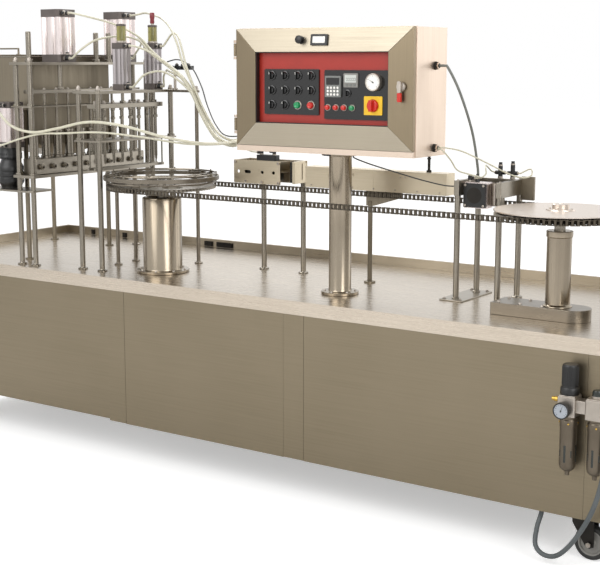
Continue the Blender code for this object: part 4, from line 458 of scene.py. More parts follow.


# dark blocks on the inner face of the rear rim: painted shade for the dark marks of shadow on the rim
def buildRimClips():
    clips = Build()
    low, high = bench["shadeBlockZ"]
    for left, right in bench["clips"]:
        clips.box((left, right), (rimFace - bench["shadeBlockDepth"], rimFace), (low, high))
        clips.box((left + 0.004, right - 0.004), (rimFace - bench["shadeBlockDepth"] - 0.003, rimFace),
                (low + 0.005, high - 0.007))
    finish(clips, "rimClips", ["dark"], "machine", rounding=0.001)


buildRimClips()
print("cabinet dressed")


# Casters: forked housing, tread and hub; trail is from the swivel to the wheel's middle
caster = {"trail": 0.036, "bolts": 0.036}


def buildCasters():
    for corner in ("front_left", "front_right", "rear_left", "rear_right"):
        fork = "caster_fork_" + corner
        wheel = "caster_wheel_" + corner
        dress(fork, "dark")
        low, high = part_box(wheel)
        x, y = (low.x + high.x) / 2, (low.y + high.y) / 2
        r = (high.z - low.z) / 2
        half = (high.y - low.y) / 2
        middle = (x, y, (low.z + high.z) / 2)
        tyre = Build()
        # round-shouldered tread, then a nylon hub with a raised rim and boss
        tyre.turned([(r * 0.72, half - 0.003), (r * 0.8, half - 0.001), (r - 0.007, half - 0.001),
                (r - 0.002, half - 0.005), (r - 0.0003, half - 0.011), (r - 0.0003, 0.0015),
                (r - 0.0018, 0.0006), (r - 0.0018, -0.0006), (r - 0.0003, -0.0015),
                (r - 0.0003, -half + 0.011), (r - 0.002, -half + 0.005), (r - 0.007, -half + 0.001),
                (r * 0.8, -half + 0.001), (r * 0.72, -half + 0.003)], middle, (0, -1, 0), 48)
        tyre.paint = 1
        tyre.turned([(0.0085, half - 0.001), (0.015, half - 0.001), (0.0165, half - 0.004),
                (0.018, half - 0.009), (r * 0.62, half - 0.009), (r * 0.66, half - 0.003),
                (r * 0.73, half - 0.002), (r * 0.73, -half + 0.002), (r * 0.66, -half + 0.003),
                (r * 0.62, -half + 0.009), (0.018, -half + 0.009), (0.0165, -half + 0.004),
                (0.015, -half + 0.001), (0.0085, -half + 0.001), (0.0085, half - 0.001)], middle,
                (0, -1, 0), 40)
        for i in range(6):
            a = pi * i / 3
            cx, cz = x + 0.029 * cos(a), middle[2] + 0.029 * sin(a)
            for side in (-1, 1):
                tyre.rod((cx, y + side * (half - 0.01), cz), (cx, y + side * (half - 0.0085), cz), 0.005, 10)
        finish(tyre, "casterTyre_" + corner, ["rubber", "hub"], "roller_" + corner,
                hides=(wheel,))
        forkLow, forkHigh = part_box(fork)
        trim = Build()
        reach = (forkHigh.y - forkLow.y) / 2
        for side in (-1, 1):
            base = y + side * (reach - 0.0005)
            trim.rod((x, base, middle[2]), (x, base + side * 0.0042, middle[2]), 0.0095, 6)
            trim.rod((x, base + side * 0.004, middle[2]), (x, base + side * 0.007, middle[2]), 0.0045, 12)
        swivelX = x - caster["trail"]
        trim.turned([(0.0385, -0.0045), (0.0405, -0.006), (0.0405, -0.01), (0.0365, -0.0125),
                (0.0355, -0.0125), (0.0355, -0.0045)], (swivelX, y, forkHigh.z), sides=36)
        finish(trim, "casterTrim_" + corner, ["alloy"], "swivel_" + corner)


buildCasters()


# Nuts on the bolts of the caster mounting plates, seen from below
def buildCasterPlates():
    bolts = []
    for corner in ("front_left", "front_right", "rear_left", "rear_right"):
        low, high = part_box("caster_fork_" + corner)
        x, y = low.x + caster["trail"], (low.y + high.y) / 2
        for dx in (-caster["bolts"], caster["bolts"]):
            for dy in (-0.03, 0.03):
                bolts.append(((x + dx, y + dy, high.z - 0.0002), (pi, 0.0, 0.0), 0.62))
    repeat("casterPlateNuts", hexNut(0.009, 0.005), bolts, "alloy", "machine")


buildCasterPlates()
print("casters built")


# Drive column and hub details
drive = {"x": -0.45685, "radius": 0.085, "top": 1.128, "flange": 0.115, "flangeHeight": 0.012}
chainY = -0.23 + 0.0525
chainZ = 1.173


def buildDriveColumn():
    x, y = drive["x"], chainY
    r, top, low = drive["radius"], drive["top"], bench["top"]
    column = Build()
    column.turned([(0.021, low + 0.001), (drive["flange"] - 0.002, low), (drive["flange"], low + 0.002),
            (drive["flange"], low + drive["flangeHeight"] - 0.002),
            (drive["flange"] - 0.002, low + drive["flangeHeight"]), (r + 0.006, low + 0.012),
            (r + 0.0015, low + 0.0135), (r, low + 0.018), (r, top - 0.006), (r - 0.002, top - 0.002),
            (r - 0.006, top), (0.066, top), (0.065, top - 0.001), (0.065, top - 0.018),
            (0.046, top - 0.018), (0.044, top - 0.0165), (0.034, top - 0.0165), (0.033, top - 0.018),
            (0.021, top - 0.018), (0.021, low + 0.001)], (x, y, 0), sides=96)
    finish(column, "driveColumn", ["tube"], "machine", hides=("drive_column",))
    screws = [((x + 0.1 * cos(a), y + 0.1 * sin(a), low + 0.012), facingUp, 1.15)
            for a in [2 * pi * (i + 0.5) / 8 for i in range(8)]]
    repeat("driveColumnScrews", socketScrew(), screws, "alloy", "machine")


def buildDriveHub():
    dress("drive_sprocket", "plate")
    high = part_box("drive_sprocket")[1]
    hub = Build()
    x, y = drive["x"], chainY
    hub.turned([(0.0, high.z + 0.0002), (0.0195, high.z + 0.0002), (0.0203, high.z - 0.001),
            (0.0203, high.z - 0.0062)], (x, y, 0), sides=36)
    finish(hub, "driveShaftEnd", ["plate"], "drive_wheel")
    screws = [((x + 0.06 * cos(a), y + 0.06 * sin(a), high.z - 0.0061), facingUp, 1.0)
            for a in [2 * pi * i / 6 for i in range(6)]]
    repeat("driveHubScrews", socketScrew(), screws, "dark", "drive_wheel")


buildDriveColumn()
buildDriveHub()


# Tail column and the disc that covers the wheel
tail = {"x": 1.391, "radius": 0.0445, "top": 1.118, "base": (0.36, 0.13, 0.045), "offset": -0.055,
        "disc": 0.237}


def buildTail():
    x, y = tail["x"], chainY
    low = bench["top"]
    length, width, height = tail["base"]
    baseX = x + tail["offset"]
    column = Build()
    outline = []
    right = baseX + length / 2 - width / 2
    for i in range(25):
        a = -pi / 2 + pi * i / 24
        outline.append((right + (width / 2 - 0.0005) * cos(a), y + (width / 2 - 0.0005) * sin(a)))
    left = baseX - length / 2
    outline += [(left + 0.003, y + width / 2 - 0.0005), (left, y + width / 2 - 0.003),
            (left, y - width / 2 + 0.003), (left + 0.003, y - width / 2 + 0.0005)]
    column.plate(outline, low, low + height)
    column.paint = 1
    top, r = tail["top"], tail["radius"]
    column.turned([(0.0205, low + height - 0.002), (r + 0.0075, low + height - 0.001),
            (r + 0.0078, low + height + 0.003), (r + 0.003, low + height + 0.006),
            (r, low + height + 0.009), (r, top - 0.023), (r + 0.0027, top - 0.022),
            (r + 0.003, top - 0.02), (r + 0.003, top - 0.002), (r + 0.001, top), (0.0205, top)], (x, y, 0),
            sides=72)
    finish(column, "tailColumn", ["base", "tube"], "machine", hides=("tail_column",),
            rounding=0.0012)
    screws = [((left + 0.025 + 0.085 * i, y + side * 0.045, low + height), facingUp, 1.3) for i in range(3)
            for side in (-1, 1)]
    repeat("tailBaseScrews", socketScrew(), screws, "alloy", "machine")
    discLow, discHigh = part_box("tail_cover_disc")
    disc = Build()
    base, edge = discLow.z, discLow.z + 0.004
    wide = tail["disc"]
    disc.turned([(0, base), (wide - 0.0008, base), (wide, base + 0.0008), (wide, edge - 0.0012),
            (wide - 0.0012, edge), (0.052, edge), (0.051, edge + 0.003), (0.031, edge + 0.003),
            (0.03, edge + 0.004), (0.03, discHigh.z - 0.002), (0.028, discHigh.z), (0.01, discHigh.z),
            (0.009, discHigh.z - 0.004), (0, discHigh.z - 0.004)], (x, y, 0), sides=128)
    finish(disc, "tailCoverDisc", ["disc"], "tail_wheel", hides=("tail_cover_disc",))
    dress("tail_sprocket", "plate")
    caps = [((x + 0.0415 * cos(a), y + 0.0415 * sin(a), edge + 0.003), facingUp, 0.85)
            for a in [2 * pi * i / 4 for i in range(4)]]
    repeat("tailHubScrews", socketScrew(), caps, "alloy", "tail_wheel")


buildTail()


# Roller chain: alternate outer and inner links, pins with riveted heads
chain = {"pitch": 0.01905, "teeth": 76, "straight": 97, "plateHalf": 0.0088, "waist": 0.0062,
        "inner": 0.006, "sheet": 0.0023, "pin": 0.003, "roller": 0.00595}
chain["radius"] = chain["pitch"] / (2 * sin(pi / chain["teeth"]))


def linkPlate(half, waist, reach):
    # the figure-of-eight outline, about its middle
    points = []
    for side in (1, -1):
        for a in (-90, -50, 0, 50, 90):
            angle = radians(a)
            points.append((side * (reach + half * cos(angle)), side * half * sin(angle)))
        points.append((0, side * waist))
    return points


def chainPlaces():
    # roller centres in order round the loop
    r, step = chain["radius"], pi / (chain["teeth"] / 2)
    places = [(drive["x"] + i * chain["pitch"], chainY - r) for i in range(chain["straight"] + 1)]
    places += [(tail["x"] + r * cos(-pi / 2 + step * i), chainY + r * sin(-pi / 2 + step * i))
            for i in range(1, 38)]
    places += [(tail["x"] - i * chain["pitch"], chainY + r) for i in range(chain["straight"] + 1)]
    places += [(drive["x"] + r * cos(pi / 2 + step * i), chainY + r * sin(pi / 2 + step * i))
            for i in range(1, 38)]
    return places


def buildChain():
    places = chainPlaces()
    kinds = {"outer": [], "inner": []}
    for i, (a, b) in enumerate(zip(places, places[1:] + places[:1])):
        turn = Vector((b[0] - a[0], b[1] - a[1]))
        spot = (((a[0] + b[0]) / 2, (a[1] + b[1]) / 2, chainZ), (0.0, 0.0,
                turn.angle_signed(Vector((1, 0)))), 1.0)
        kinds["inner" if i % 2 else "outer"].append(spot)
    reach = chain["pitch"] / 2
    outline = linkPlate(chain["plateHalf"] - 0.0006, chain["waist"], reach)
    base, sheet = chain["inner"], chain["sheet"]
    inner = Build()
    for low in (base, -base - sheet):
        inner.plate(outline, low, low + sheet)
    for side in (-1, 1):
        inner.rod((side * reach, 0, -base), (side * reach, 0, base), chain["roller"], 10)
    outer = Build()
    gap = 0.0002
    for low in (base + sheet + gap, -base - 2 * sheet - gap):
        outer.plate(outline, low, low + sheet)
    tip = base + 2 * sheet + gap
    for side in (-1, 1):
        for face in (-1, 1):
            outer.rod((side * reach, 0, face * tip), (side * reach, 0, face * 0.0109), chain["pin"], 8,
                    chain["pin"] * 0.8)
    repeat("chainInnerLinks", inner, kinds["inner"], "chain", "machine",
            hides=("roller_chain",))
    repeat("chainOuterLinks", outer, kinds["outer"], "chain", "machine")
    print("chain links", len(places))


buildChain()


# Guide ring over the drive wheel: a flat rim, three hoops and the clips that hold them
ring = {"outer": 0.25, "inner": 0.224, "top": 1.222, "sheet": 0.004, "band": 0.017, "hoop": 0.0036,
        "hoops": ((0.196, 1.2315), (0.237, 1.23), (0.236, 1.196)), "post": 0.0085, "tall": 1.5695,
        "posts": ((-0.742, -0.1525), (-0.752, -0.0225), (-0.47, 0.0865)), "clips": 14}


def buildRing():
    x, y, top = drive["x"], chainY, ring["top"]
    rim, inner, sheet = ring["outer"], ring["inner"], ring["sheet"]
    body = Build()
    body.turned([(rim - 0.001, top), (rim, top - 0.001), (rim, top - ring["band"] + 0.0005),
            (rim - 0.0005, top - ring["band"]), (rim - sheet, top - ring["band"]),
            (rim - sheet, top - sheet), (inner, top - sheet), (inner, top - 0.0005), (inner + 0.0005, top),
            (rim - 0.001, top)], (x, y, 0), sides=128)
    for radius, z in ring["hoops"]:
        line = [(radius + ring["hoop"] * cos(pi * i / 4), z + ring["hoop"] * sin(pi * i / 4)) for i in range(9)]
        body.turned(line, (x, y, 0), sides=112)
    for n, (px, py) in enumerate(ring["posts"]):
        end = ring["tall"] if n == 2 else top + 0.004
        body.post(px, py, bench["top"] + 0.006, end, ring["post"], 24)
        body.turned([(0, 0), (0.0185, 0), (0.0185, 0.005), (0.0165, 0.0065), (0.0105, 0.0072),
                (0.0095, 0.012)], (px, py, bench["top"]), sides=28)
        away = Vector((px - x, py - y, 0))
        turn = Matrix.Translation((x, y, 0)) @ away.to_track_quat("X", "Z").to_matrix().to_4x4()
        strap = [(rim - 0.006, -0.014), (rim - 0.006, 0.014)]
        end = away.length
        strap += [(end + 0.014 * sin(radians(a)), 0.014 * cos(radians(a))) for a in range(0, 181, 20)]
        body.plate(list(reversed(strap)), top - sheet + 0.0005, top - 0.0005, turn)
        body.turned([(0.0086, 0.004), (0.0125, 0.004), (0.0135, 0.003), (0.0135, -0.001)],
                (px, py, top - 0.0005), sides=20)
    finish(body, "guideRing", ["base"], hides=("guide_ring",))
    # each clip is a strap across rim and hoops, with a pin standing in it
    clip = Build()
    clip.box((-0.024, 0.026), (-0.0045, 0.0045), (0.0, 0.004))
    clip.box((-0.027, -0.018), (-0.005, 0.005), (0.003, 0.0125))
    clip.box((0.015, 0.023), (-0.005, 0.005), (0.003, 0.011))
    clip.rod((0.019, 0, 0.01), (0.019, 0, 0.017), 0.0028, 10)
    spots = []
    for i in range(ring["clips"]):
        a = 2 * pi * (i + 0.5) / ring["clips"]
        spots.append(((x + 0.218 * cos(a), y + 0.218 * sin(a), top - 0.0002), (0.0, 0.0, a), 1.0))
    repeat("guideRingClips", clip, spots, "bar")


buildRing()
print("conveyor built")


# Electric box: folded shell, mitred door frame and the red panel inside it
box = {"x": (0.078, 0.878), "back": -0.0875, "front": -0.3225, "z": (1.36, 1.833), "strip": 0.023,
        "door": -0.3228, "edge": 0.015, "crown": 0.026, "sides": 0.1, "ends": 0.089,
        "hinge": (0.069, -0.3308), "knuckles": (1.438, 1.728), "knuckle": 0.05,
        "column": (0.478, -0.1975, 0.0445), "flange": 0.0745, "flangeHeight": 0.012}


def buildBoxColumn():
    x, y, r = box["column"]
    wide, thick = box["flange"], box["flangeHeight"]
    low, high = bench["top"], box["z"][0]
    column = Build()
    column.turned([(r - 0.004, low), (wide - 0.0015, low), (wide, low + 0.0015),
            (wide, low + thick - 0.0015), (wide - 0.0015, low + thick), (r + 0.007, low + thick),
            (r + 0.002, low + thick + 0.002), (r, low + thick + 0.007), (r, high - thick - 0.007),
            (r + 0.002, high - thick - 0.002), (r + 0.007, high - thick), (wide - 0.0015, high - thick),
            (wide, high - thick + 0.0015), (wide, high - 0.0003), (r - 0.004, high - 0.0003)], (x, y, 0),
            sides=72)
    finish(column, "boxColumn", ["tube"], "machine", hides=("box_column",))
    screws = [((x + 0.061 * cos(a), y + 0.061 * sin(a), low + thick), facingUp, 1.1)
            for a in [2 * pi * (i + 0.5) / 6 for i in range(6)]]
    repeat("boxColumnScrews", socketScrew(), screws, "alloy", "machine")


def buildBoxShell():
    dress("box_shell", "shell")
    trim = Build()
    left, right = box["x"]
    low, high = box["z"]
    front, back = box["front"], box["back"]
    # folded gutter round the mouth, seen past the door's edge
    for x0, x1 in ((left - 0.0022, left + 0.0002), (right - 0.0002, right + 0.0022)):
        trim.box((x0, x1), (front + 0.004, front + 0.016), (low + 0.004, high - 0.004))
    trim.box((left + 0.002, right - 0.002), (front + 0.004, front + 0.016), (high - 0.0002, high + 0.0022))
    trim.box((left + 0.3, left + 0.5), (back - 0.0002, back + 0.003), (low + 0.1, low + 0.22))
    trim.paint = 1
    trim.box((0.479, 0.506), (-0.32, -0.308), (low - 0.0075, low - 0.0003))
    finish(trim, "boxFolds", ["shell", "black"], rounding=0.0007)
    # compression glands with ribbed domes where the cables leave
    glands = Build()
    for x, y, z, side in ((right, -0.1775, high - 0.14, 1), (right, -0.1775, low + 0.03, 1),
            (left, -0.1675, low + 0.05, -1)):
        out = (side, 0, 0)
        glands.rod((x, y, z), (x + side * 0.005, y, z), 0.0155, 6)
        glands.turned([(0.0125, 0.004), (0.0128, 0.01), (0.013, 0.012), (0.0112, 0.0165),
                (0.0085, 0.0185), (0.0055, 0.019), (0.005, 0.017), (0, 0.0165)], (x, y, z), out, 24)
        for i in range(8):
            a = 2 * pi * i / 8
            cy, cz = y + 0.0126 * cos(a), z + 0.0126 * sin(a)
            glands.rod((x + side * 0.0055, cy, cz), (x + side * 0.0115, cy, cz), 0.0016, 6)
    finish(glands, "cableGlands", ["black"], "machine")
    # the domed screws where the fixed hinge leaves sit
    screws = []
    for z in box["knuckles"]:
        for end in (z - 0.008, z + box["knuckle"] + 0.007):
            screws.append(((left - 0.0032, front + 0.02, end), (0.0, -pi / 2, 0.0), 0.62))
    repeat("hingeScrews", socketScrew(), screws, "alloy")


def buildDoor():
    left, right = box["x"]
    low, high = box["z"][0] + box["strip"], box["z"][1]
    inLeft, inRight = left + box["sides"], right - box["sides"]
    inLow, inHigh = low + box["ends"], high - box["ends"]
    back = box["door"]
    edge, crown = back - box["edge"], back - box["crown"]
    groove = 0.0005
    door = Build()
    # four mitred members with a hairline joint at each corner
    # top and bottom members take paint 0, the lit copy of the steel, and the upright ones paint 1, the shaded
    # copy: painted light and shade
    sides = (((left, low), (right, low), (inRight, inLow), (inLeft, inLow), 0),
            ((right, low), (right, high), (inRight, inHigh), (inRight, inLow), 1),
            ((right, high), (left, high), (inLeft, inHigh), (inRight, inHigh), 0),
            ((left, high), (left, low), (inLeft, inLow), (inLeft, inHigh), 1))
    for a, b, c, d, paint in sides:
        along = (Vector(b) - Vector(a)).normalized() * groove
        a, b, c, d = Vector(a) + along, Vector(b) - along, Vector(c) - along, Vector(d) + along
        bm = bmesh.new()
        ring = [(a, edge), (b, edge), (c, crown), (d, crown)]
        faces = [bm.verts.new((p.x, y, p.y)) for p, y in ring]
        backs = [bm.verts.new((p.x, back, p.y)) for p, y in ring]
        bm.faces.new(faces)
        bm.faces.new(list(reversed(backs)))
        for i in range(4):
            j = (i + 1) % 4
            bm.faces.new((backs[i], backs[j], faces[j], faces[i]))
        door.paint = paint
        door.keep(bm)
    # a dark core closes the hairlines from behind: painted shade, so that the joints read dark
    door.paint = 2
    core = 0.003
    for a, b in (((left + core, right - core), (low + core, inLow - core)),
            ((left + core, right - core), (inHigh + core, high - core)),
            ((left + core, inLeft - core), (inLow, inHigh)), ((inRight + core, right - core),
            (inLow, inHigh))):
        door.box(a, (edge + 0.004, back - 0.001), b)
    door.paint = 1
    hx, hy = box["hinge"]
    for z in box["knuckles"]:
        door.rod((hx, hy, z + 0.0004), (hx, hy, z + box["knuckle"] - 0.0004), 0.007, 24)
        for k in (0.34, 0.66):
            at = z + box["knuckle"] * k
            door.turned([(0.0071, at - 0.0006), (0.0064, at), (0.0071, at + 0.0006)], (hx, hy, 0), sides=20)
        door.box((hx, left + 0.002), (hy - 0.003, hy + 0.003), (z + 0.001, z + box["knuckle"] - 0.001))
    finish(door, "doorFrame", ["rail", "stile", "dark"], "door", hides=("box_door",),
            rounding=0.0009)
    # a black lining round the opening, inside the step down to the red panel: painted shade where the frame's
    # step shades the panel's edge
    gasket = Build()
    for a, b in (((inLeft - 0.001, inRight + 0.001), (inLow - 0.001, inLow + 0.003)),
            ((inLeft - 0.001, inRight + 0.001), (inHigh - 0.003, inHigh + 0.001)),
            ((inLeft - 0.001, inLeft + 0.003), (inLow, inHigh)), ((inRight - 0.003, inRight + 0.001),
            (inLow, inHigh))):
        gasket.box(a, (crown + 0.004, back - 0.0005), b)
    finish(gasket, "panelGasket", ["black"], "door", rounding=0.0006)
    dress("door_panel", "red")


buildBoxColumn()
buildBoxShell()
buildDoor()

# Controls on the door
panel = {"seat": -0.3288, "xs": (0.244, 0.305, 0.366, 0.427), "zs": (1.655, 1.599, 1.543)}
panel["face"] = box["door"]


def frontTurned(build, profile, x, z, base, sides=28):
    # profile of radius and reach towards the front
    build.turned(profile, (x, base, z), (0, -1, 0), sides)


def buildSelectorBlock():
    low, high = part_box("selector_block")
    xs, zs, seat, face = panel["xs"], panel["zs"], panel["seat"], panel["face"]
    block = Build()
    block.plate(rounded((low.x, high.x), (-high.z, -low.z), 0.004), 0, 0.001,
            Matrix.Translation((0, face, 0)) @ Matrix.Rotation(-pi / 2, 4, "X"))
    block.plate(rounded((low.x + 0.001, high.x - 0.001), (-high.z + 0.001, -low.z - 0.001), 0.004), -0.006,
            0.0, Matrix.Translation((0, face, 0)) @ Matrix.Rotation(pi / 2, 4, "X") @ Matrix.Rotation(pi, 4,
            "X"))
    finish(block, "selectorPlate", ["gloss"], "door", hides=("selector_block",))
    knob = Build()
    knob.turned([(0.0185, 0.0), (0.019, 0.0008), (0.019, 0.0022), (0.018, 0.0034), (0.015, 0.0042),
            (0.0146, 0.012), (0.0138, 0.0132), (0, 0.0132)], sides=24)
    knob.box((-0.0036, 0.0036), (-0.0145, 0.0145), (0.0128, 0.0192))
    spots = []
    for row, z in enumerate(zs):
        for column, x in enumerate(xs):
            if row == 2 and column > 1:
                continue
            spots.append(((x, seat, z), (pi / 2, 0.0, 0.0), 1.0))
    repeat("selectorKnobs", knob, spots, "gloss", "door")
    # a thin white line down each lever: painted highlight, the glint on the lever
    marks = Build()
    for row, z in enumerate(zs):
        for column, x in enumerate(xs):
            if row == 2 and column > 1:
                continue
            marks.box((x - 0.0008, x + 0.0008), (seat - 0.0196, seat - 0.019), (z + 0.004, z + 0.0125))
    finish(marks, "selectorMarks", ["white"], "door")
    rims = [((xs[column], seat, zs[2]), (pi / 2, 0.0, 0.0), 1.0) for column in (2, 3)]
    rim = Build()
    rim.turned([(0.0132, -0.001), (0.0175, -0.001), (0.0175, 0.002), (0.016, 0.0034), (0.014, 0.0034),
            (0.0132, 0.0024)], sides=32)
    repeat("buttonRims", rim, rims, "alloy", "door")


def buildButtons():
    for node, body, material, column in (("start_button", "start_push", "green", 2),
            ("stop_button", "stop_push", "redKnob", 3)):
        x, z, seat = panel["xs"][column], panel["zs"][2], panel["seat"]
        button = Build()
        frontTurned(button, [(0, -0.001), (0.0119, -0.001), (0.0119, 0.0118), (0.0108, 0.0134),
                (0.007, 0.0139), (0.006, 0.0134), (0, 0.0132)], x, z, seat, 36)
        finish(button, material + "Button", [material], body, hides=(node,))


def buildInstruments():
    seat, face, zs = panel["seat"], panel["face"], panel["zs"]
    x0, x1 = 0.487, 0.768
    z0, z1 = zs[2] - 0.05, zs[0] + 0.022
    block = Build()
    block.plate(rounded((x0 + 0.0005, x1 - 0.0005), (z0 + 0.0005, z1 - 0.0005), 0.004), 0.0, 0.006,
            Matrix.Translation((0, face, 0)) @ upright)
    finish(block, "instrumentPlate", ["gloss"], "door", hides=("instrument_block",))

    # temperature controller: bezel, window, two rows of keys
    control = Build()
    cx, cz = (x0 + 0.008, x0 + 0.078), (zs[1] - 0.023, zs[0])
    control.plate(rounded((cx[0], cx[1]), (cz[0], cz[1]), 0.003), 0.0, 0.0075,
            Matrix.Translation((0, seat, 0)) @ upright)
    control.paint = 1
    control.plate(rounded((cx[0] + 0.006, cx[1] - 0.006), (cz[1] - 0.033, cz[1] - 0.007), 0.002), 0.0,
            0.008, Matrix.Translation((0, seat, 0)) @ upright)
    control.paint = 2
    for row in range(3):
        for column in range(4):
            kx = cx[0] + 0.013 + column * 0.0147
            kz = cz[0] + 0.01 + row * 0.0125
            frontTurned(control, [(0.0046, 0.007), (0.0046, 0.0084), (0.0036, 0.0088), (0, 0.0088)], kx, kz,
                    seat, 14)
    finish(control, "temperatureController", ["keys", "gloss", "white"], "door")

    # batch counter with a pale display
    counter = Build()
    cx, cz = (x0 + 0.09, x0 + 0.152), (zs[1] + 0.014, zs[0] + 0.01)
    counter.plate(rounded((cx[0], cx[1]), (cz[0], cz[1]), 0.003), 0.0, 0.006,
            Matrix.Translation((0, seat, 0)) @ upright)
    counter.paint = 1
    counter.plate(rounded((cx[0] + 0.006, cx[1] - 0.006), (cz[0] + 0.018, cz[1] - 0.006), 0.0015), 0.0,
            0.0072, Matrix.Translation((0, seat, 0)) @ upright)
    counter.paint = 2
    for i in range(3):
        kx = cx[0] + 0.014 + i * 0.017
        counter.plate(rounded((kx - 0.005, kx + 0.005), (cz[0] + 0.005, cz[0] + 0.012), 0.002), 0.0, 0.0078,
                Matrix.Translation((0, seat, 0)) @ upright)
    counter.paint = 3
    for i in range(5):
        kx = cx[0] + 0.013 + i * 0.0088
        counter.box((kx, kx + 0.005), (seat - 0.0075, seat - 0.0071), (cz[0] + 0.024, cz[0] + 0.0255))
        counter.box((kx, kx + 0.005), (seat - 0.0075, seat - 0.0071), (cz[0] + 0.033, cz[0] + 0.0345))
        counter.box((kx + 0.0043, kx + 0.0053), (seat - 0.0075, seat - 0.0071), (cz[0] + 0.025, cz[0] + 0.034))
    finish(counter, "batchCounter", ["hub", "lcd", "keys", "black"], "door")

    # pressure gauge: silver rim, white dial with plain ticks, thin needle
    gauge = Build()
    gx, gz = x1 - 0.057, zs[0] - 0.022
    frontTurned(gauge, [(0.03, 0.0), (0.0325, 0.001), (0.0328, 0.016), (0.0318, 0.0188), (0.03, 0.0196),
            (0.0285, 0.0192), (0.0276, 0.017)], gx, gz, seat, 56)
    gauge.paint = 1
    frontTurned(gauge, [(0.0277, 0.0172), (0, 0.0172)], gx, gz, seat, 48)
    gauge.paint = 2
    for i in range(21):
        a = radians(225 - 270 * i / 20)
        r0 = 0.0205 if i % 5 == 0 else 0.0228
        wide = 0.0007 if i % 5 == 0 else 0.0004
        along = Vector((cos(a), 0, sin(a)))
        middle = Vector((gx, seat - 0.0173, gz))
        gauge.rod(middle + along * r0, middle + along * 0.0252, wide, 4)
    needle = radians(150)
    middle = Vector((gx, seat - 0.0176, gz))
    along = Vector((cos(needle), 0, sin(needle)))
    gauge.rod(middle - along * 0.006, middle + along * 0.021, 0.0011, 6, 0.0003)
    frontTurned(gauge, [(0.003, 0.0172), (0.003, 0.0182), (0.0022, 0.0188), (0, 0.0188)], gx, gz, seat,
            16)
    finish(gauge, "panelGauge", ["alloy", "white", "black"], "door")

    # small selector, lamps and the isolator's yellow plate
    small = Build()
    sx, sz = x0 + 0.105, zs[1] - 0.008
    frontTurned(small, [(0.0145, 0.0), (0.015, 0.001), (0.015, 0.0028), (0.0135, 0.004),
            (0.0108, 0.0045), (0.0104, 0.012), (0, 0.0125)], sx, sz, seat, 28)
    small.box((sx - 0.003, sx + 0.003), (seat - 0.0188, seat - 0.011), (sz - 0.01, sz + 0.01))
    finish(small, "modeSelector", ["gloss"], "door")
    lamps = Build()
    for i in range(4):
        lx, lz = x0 + 0.018 + i * 0.036, zs[2] - 0.006
        lamps.paint = 0
        frontTurned(lamps, [(0.0128, 0.0), (0.0128, 0.0022), (0.0118, 0.0034), (0.0098, 0.0034)], lx, lz,
                seat, 24)
        lamps.paint = 2 if i == 3 else 1
        frontTurned(lamps, [(0.0099, 0.0), (0.0099, 0.0095), (0.0085, 0.0124), (0.005, 0.0137),
                (0, 0.014)], lx, lz, seat, 24)
    finish(lamps, "signalLamps", ["alloy", "redKnob", "green"], "door")
    plate = Build()
    ix, iz = gx - 0.006, zs[2] + 0.004
    plate.plate(rounded((ix - 0.0395, ix + 0.0395), (iz - 0.0345, iz + 0.0345), 0.003), 0.0, 0.0028,
            Matrix.Translation((0, seat, 0)) @ upright)
    finish(plate, "isolatorPlate", ["yellow"], "door")
    knob = Build()
    base = seat - 0.0033
    frontTurned(knob, [(0, 0.0), (0.024, 0.0), (0.024, 0.002), (0.0225, 0.0075), (0.0212, 0.0095),
            (0.019, 0.01), (0, 0.01)], ix, iz, base, 40)
    knob.box((ix - 0.0062, ix + 0.0062), (base - 0.0248, base - 0.0085), (iz - 0.0208, iz + 0.0208))
    finish(knob, "isolatorKnob", ["redKnob"], "isolator", hides=("isolator_knob",),
            rounding=0.0013)


def buildDoorFurniture():
    rise = (box["crown"] - box["edge"]) / box["ends"]
    # latch: ringed boss with a lever whose lower part is red
    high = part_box("door_latch")[1]
    x, base = 0.833, high.y
    z = box["z"][0] + box["strip"] + 0.235
    latch = Build()
    frontTurned(latch, [(0, 0.0), (0.0178, 0.0), (0.0182, 0.001), (0.0182, 0.007), (0.0165, 0.0096),
            (0.012, 0.0104), (0, 0.0104)], x, z, base, 36)
    latch.plate(rounded((x - 0.0078, x + 0.0078), (z - 0.022, z + 0.02), 0.005), 0.009, 0.0218,
            Matrix.Translation((0, base, 0)) @ upright)
    latch.paint = 1
    latch.plate(rounded((x - 0.0076, x + 0.0076), (z - 0.0548, z - 0.0215), 0.005), 0.0095, 0.0212,
            Matrix.Translation((0, base, 0)) @ upright)
    finish(latch, "doorLatch", ["alloy", "redKnob"], "latch", hides=("door_latch",),
            rounding=0.0011)
    # emergency knob and hour meter on the upper border
    kx, kz = 0.392, 1.788
    ky = box["door"] - box["edge"] - rise * (box["z"][1] - kz)
    axis = Vector((0, -1, rise)).normalized()
    knob = Build()
    knob.turned([(0.015, -0.001), (0.015, 0.003), (0.0098, 0.0042), (0.009, 0.012), (0.014, 0.0145),
            (0.0158, 0.018), (0.015, 0.0215), (0.01, 0.024), (0, 0.0245)], (kx, ky, kz), axis, 32)
    finish(knob, "borderKnob", ["black"], "door")
    mx, mz = 0.476, 1.788
    my = box["door"] - box["edge"] - rise * (box["z"][1] - mz)
    frameTurn = Matrix.Translation((mx, my, mz)) @ axis.to_track_quat("Z", "Y").to_matrix().to_4x4()
    meter = Build()
    meter.plate(rounded((-0.038, 0.038), (-0.021, 0.021), 0.004), -0.001, 0.0075, frameTurn)
    meter.paint = 1
    meter.plate(rounded((-0.028, 0.028), (-0.0125, 0.0125), 0.002), 0.0, 0.008, frameTurn)
    finish(meter, "hourMeter", ["black", "white"], "door", rounding=0.0012)


buildSelectorBlock()
buildButtons()
buildInstruments()
buildDoorFurniture()
print("box built")


# Heating channel, its wedge bracket and the hold-down rod
channel = {"x": (0.165, 0.83), "y": 0.053, "half": 0.034, "z": (1.19, 1.276), "rod": (0.733, 0.053)}


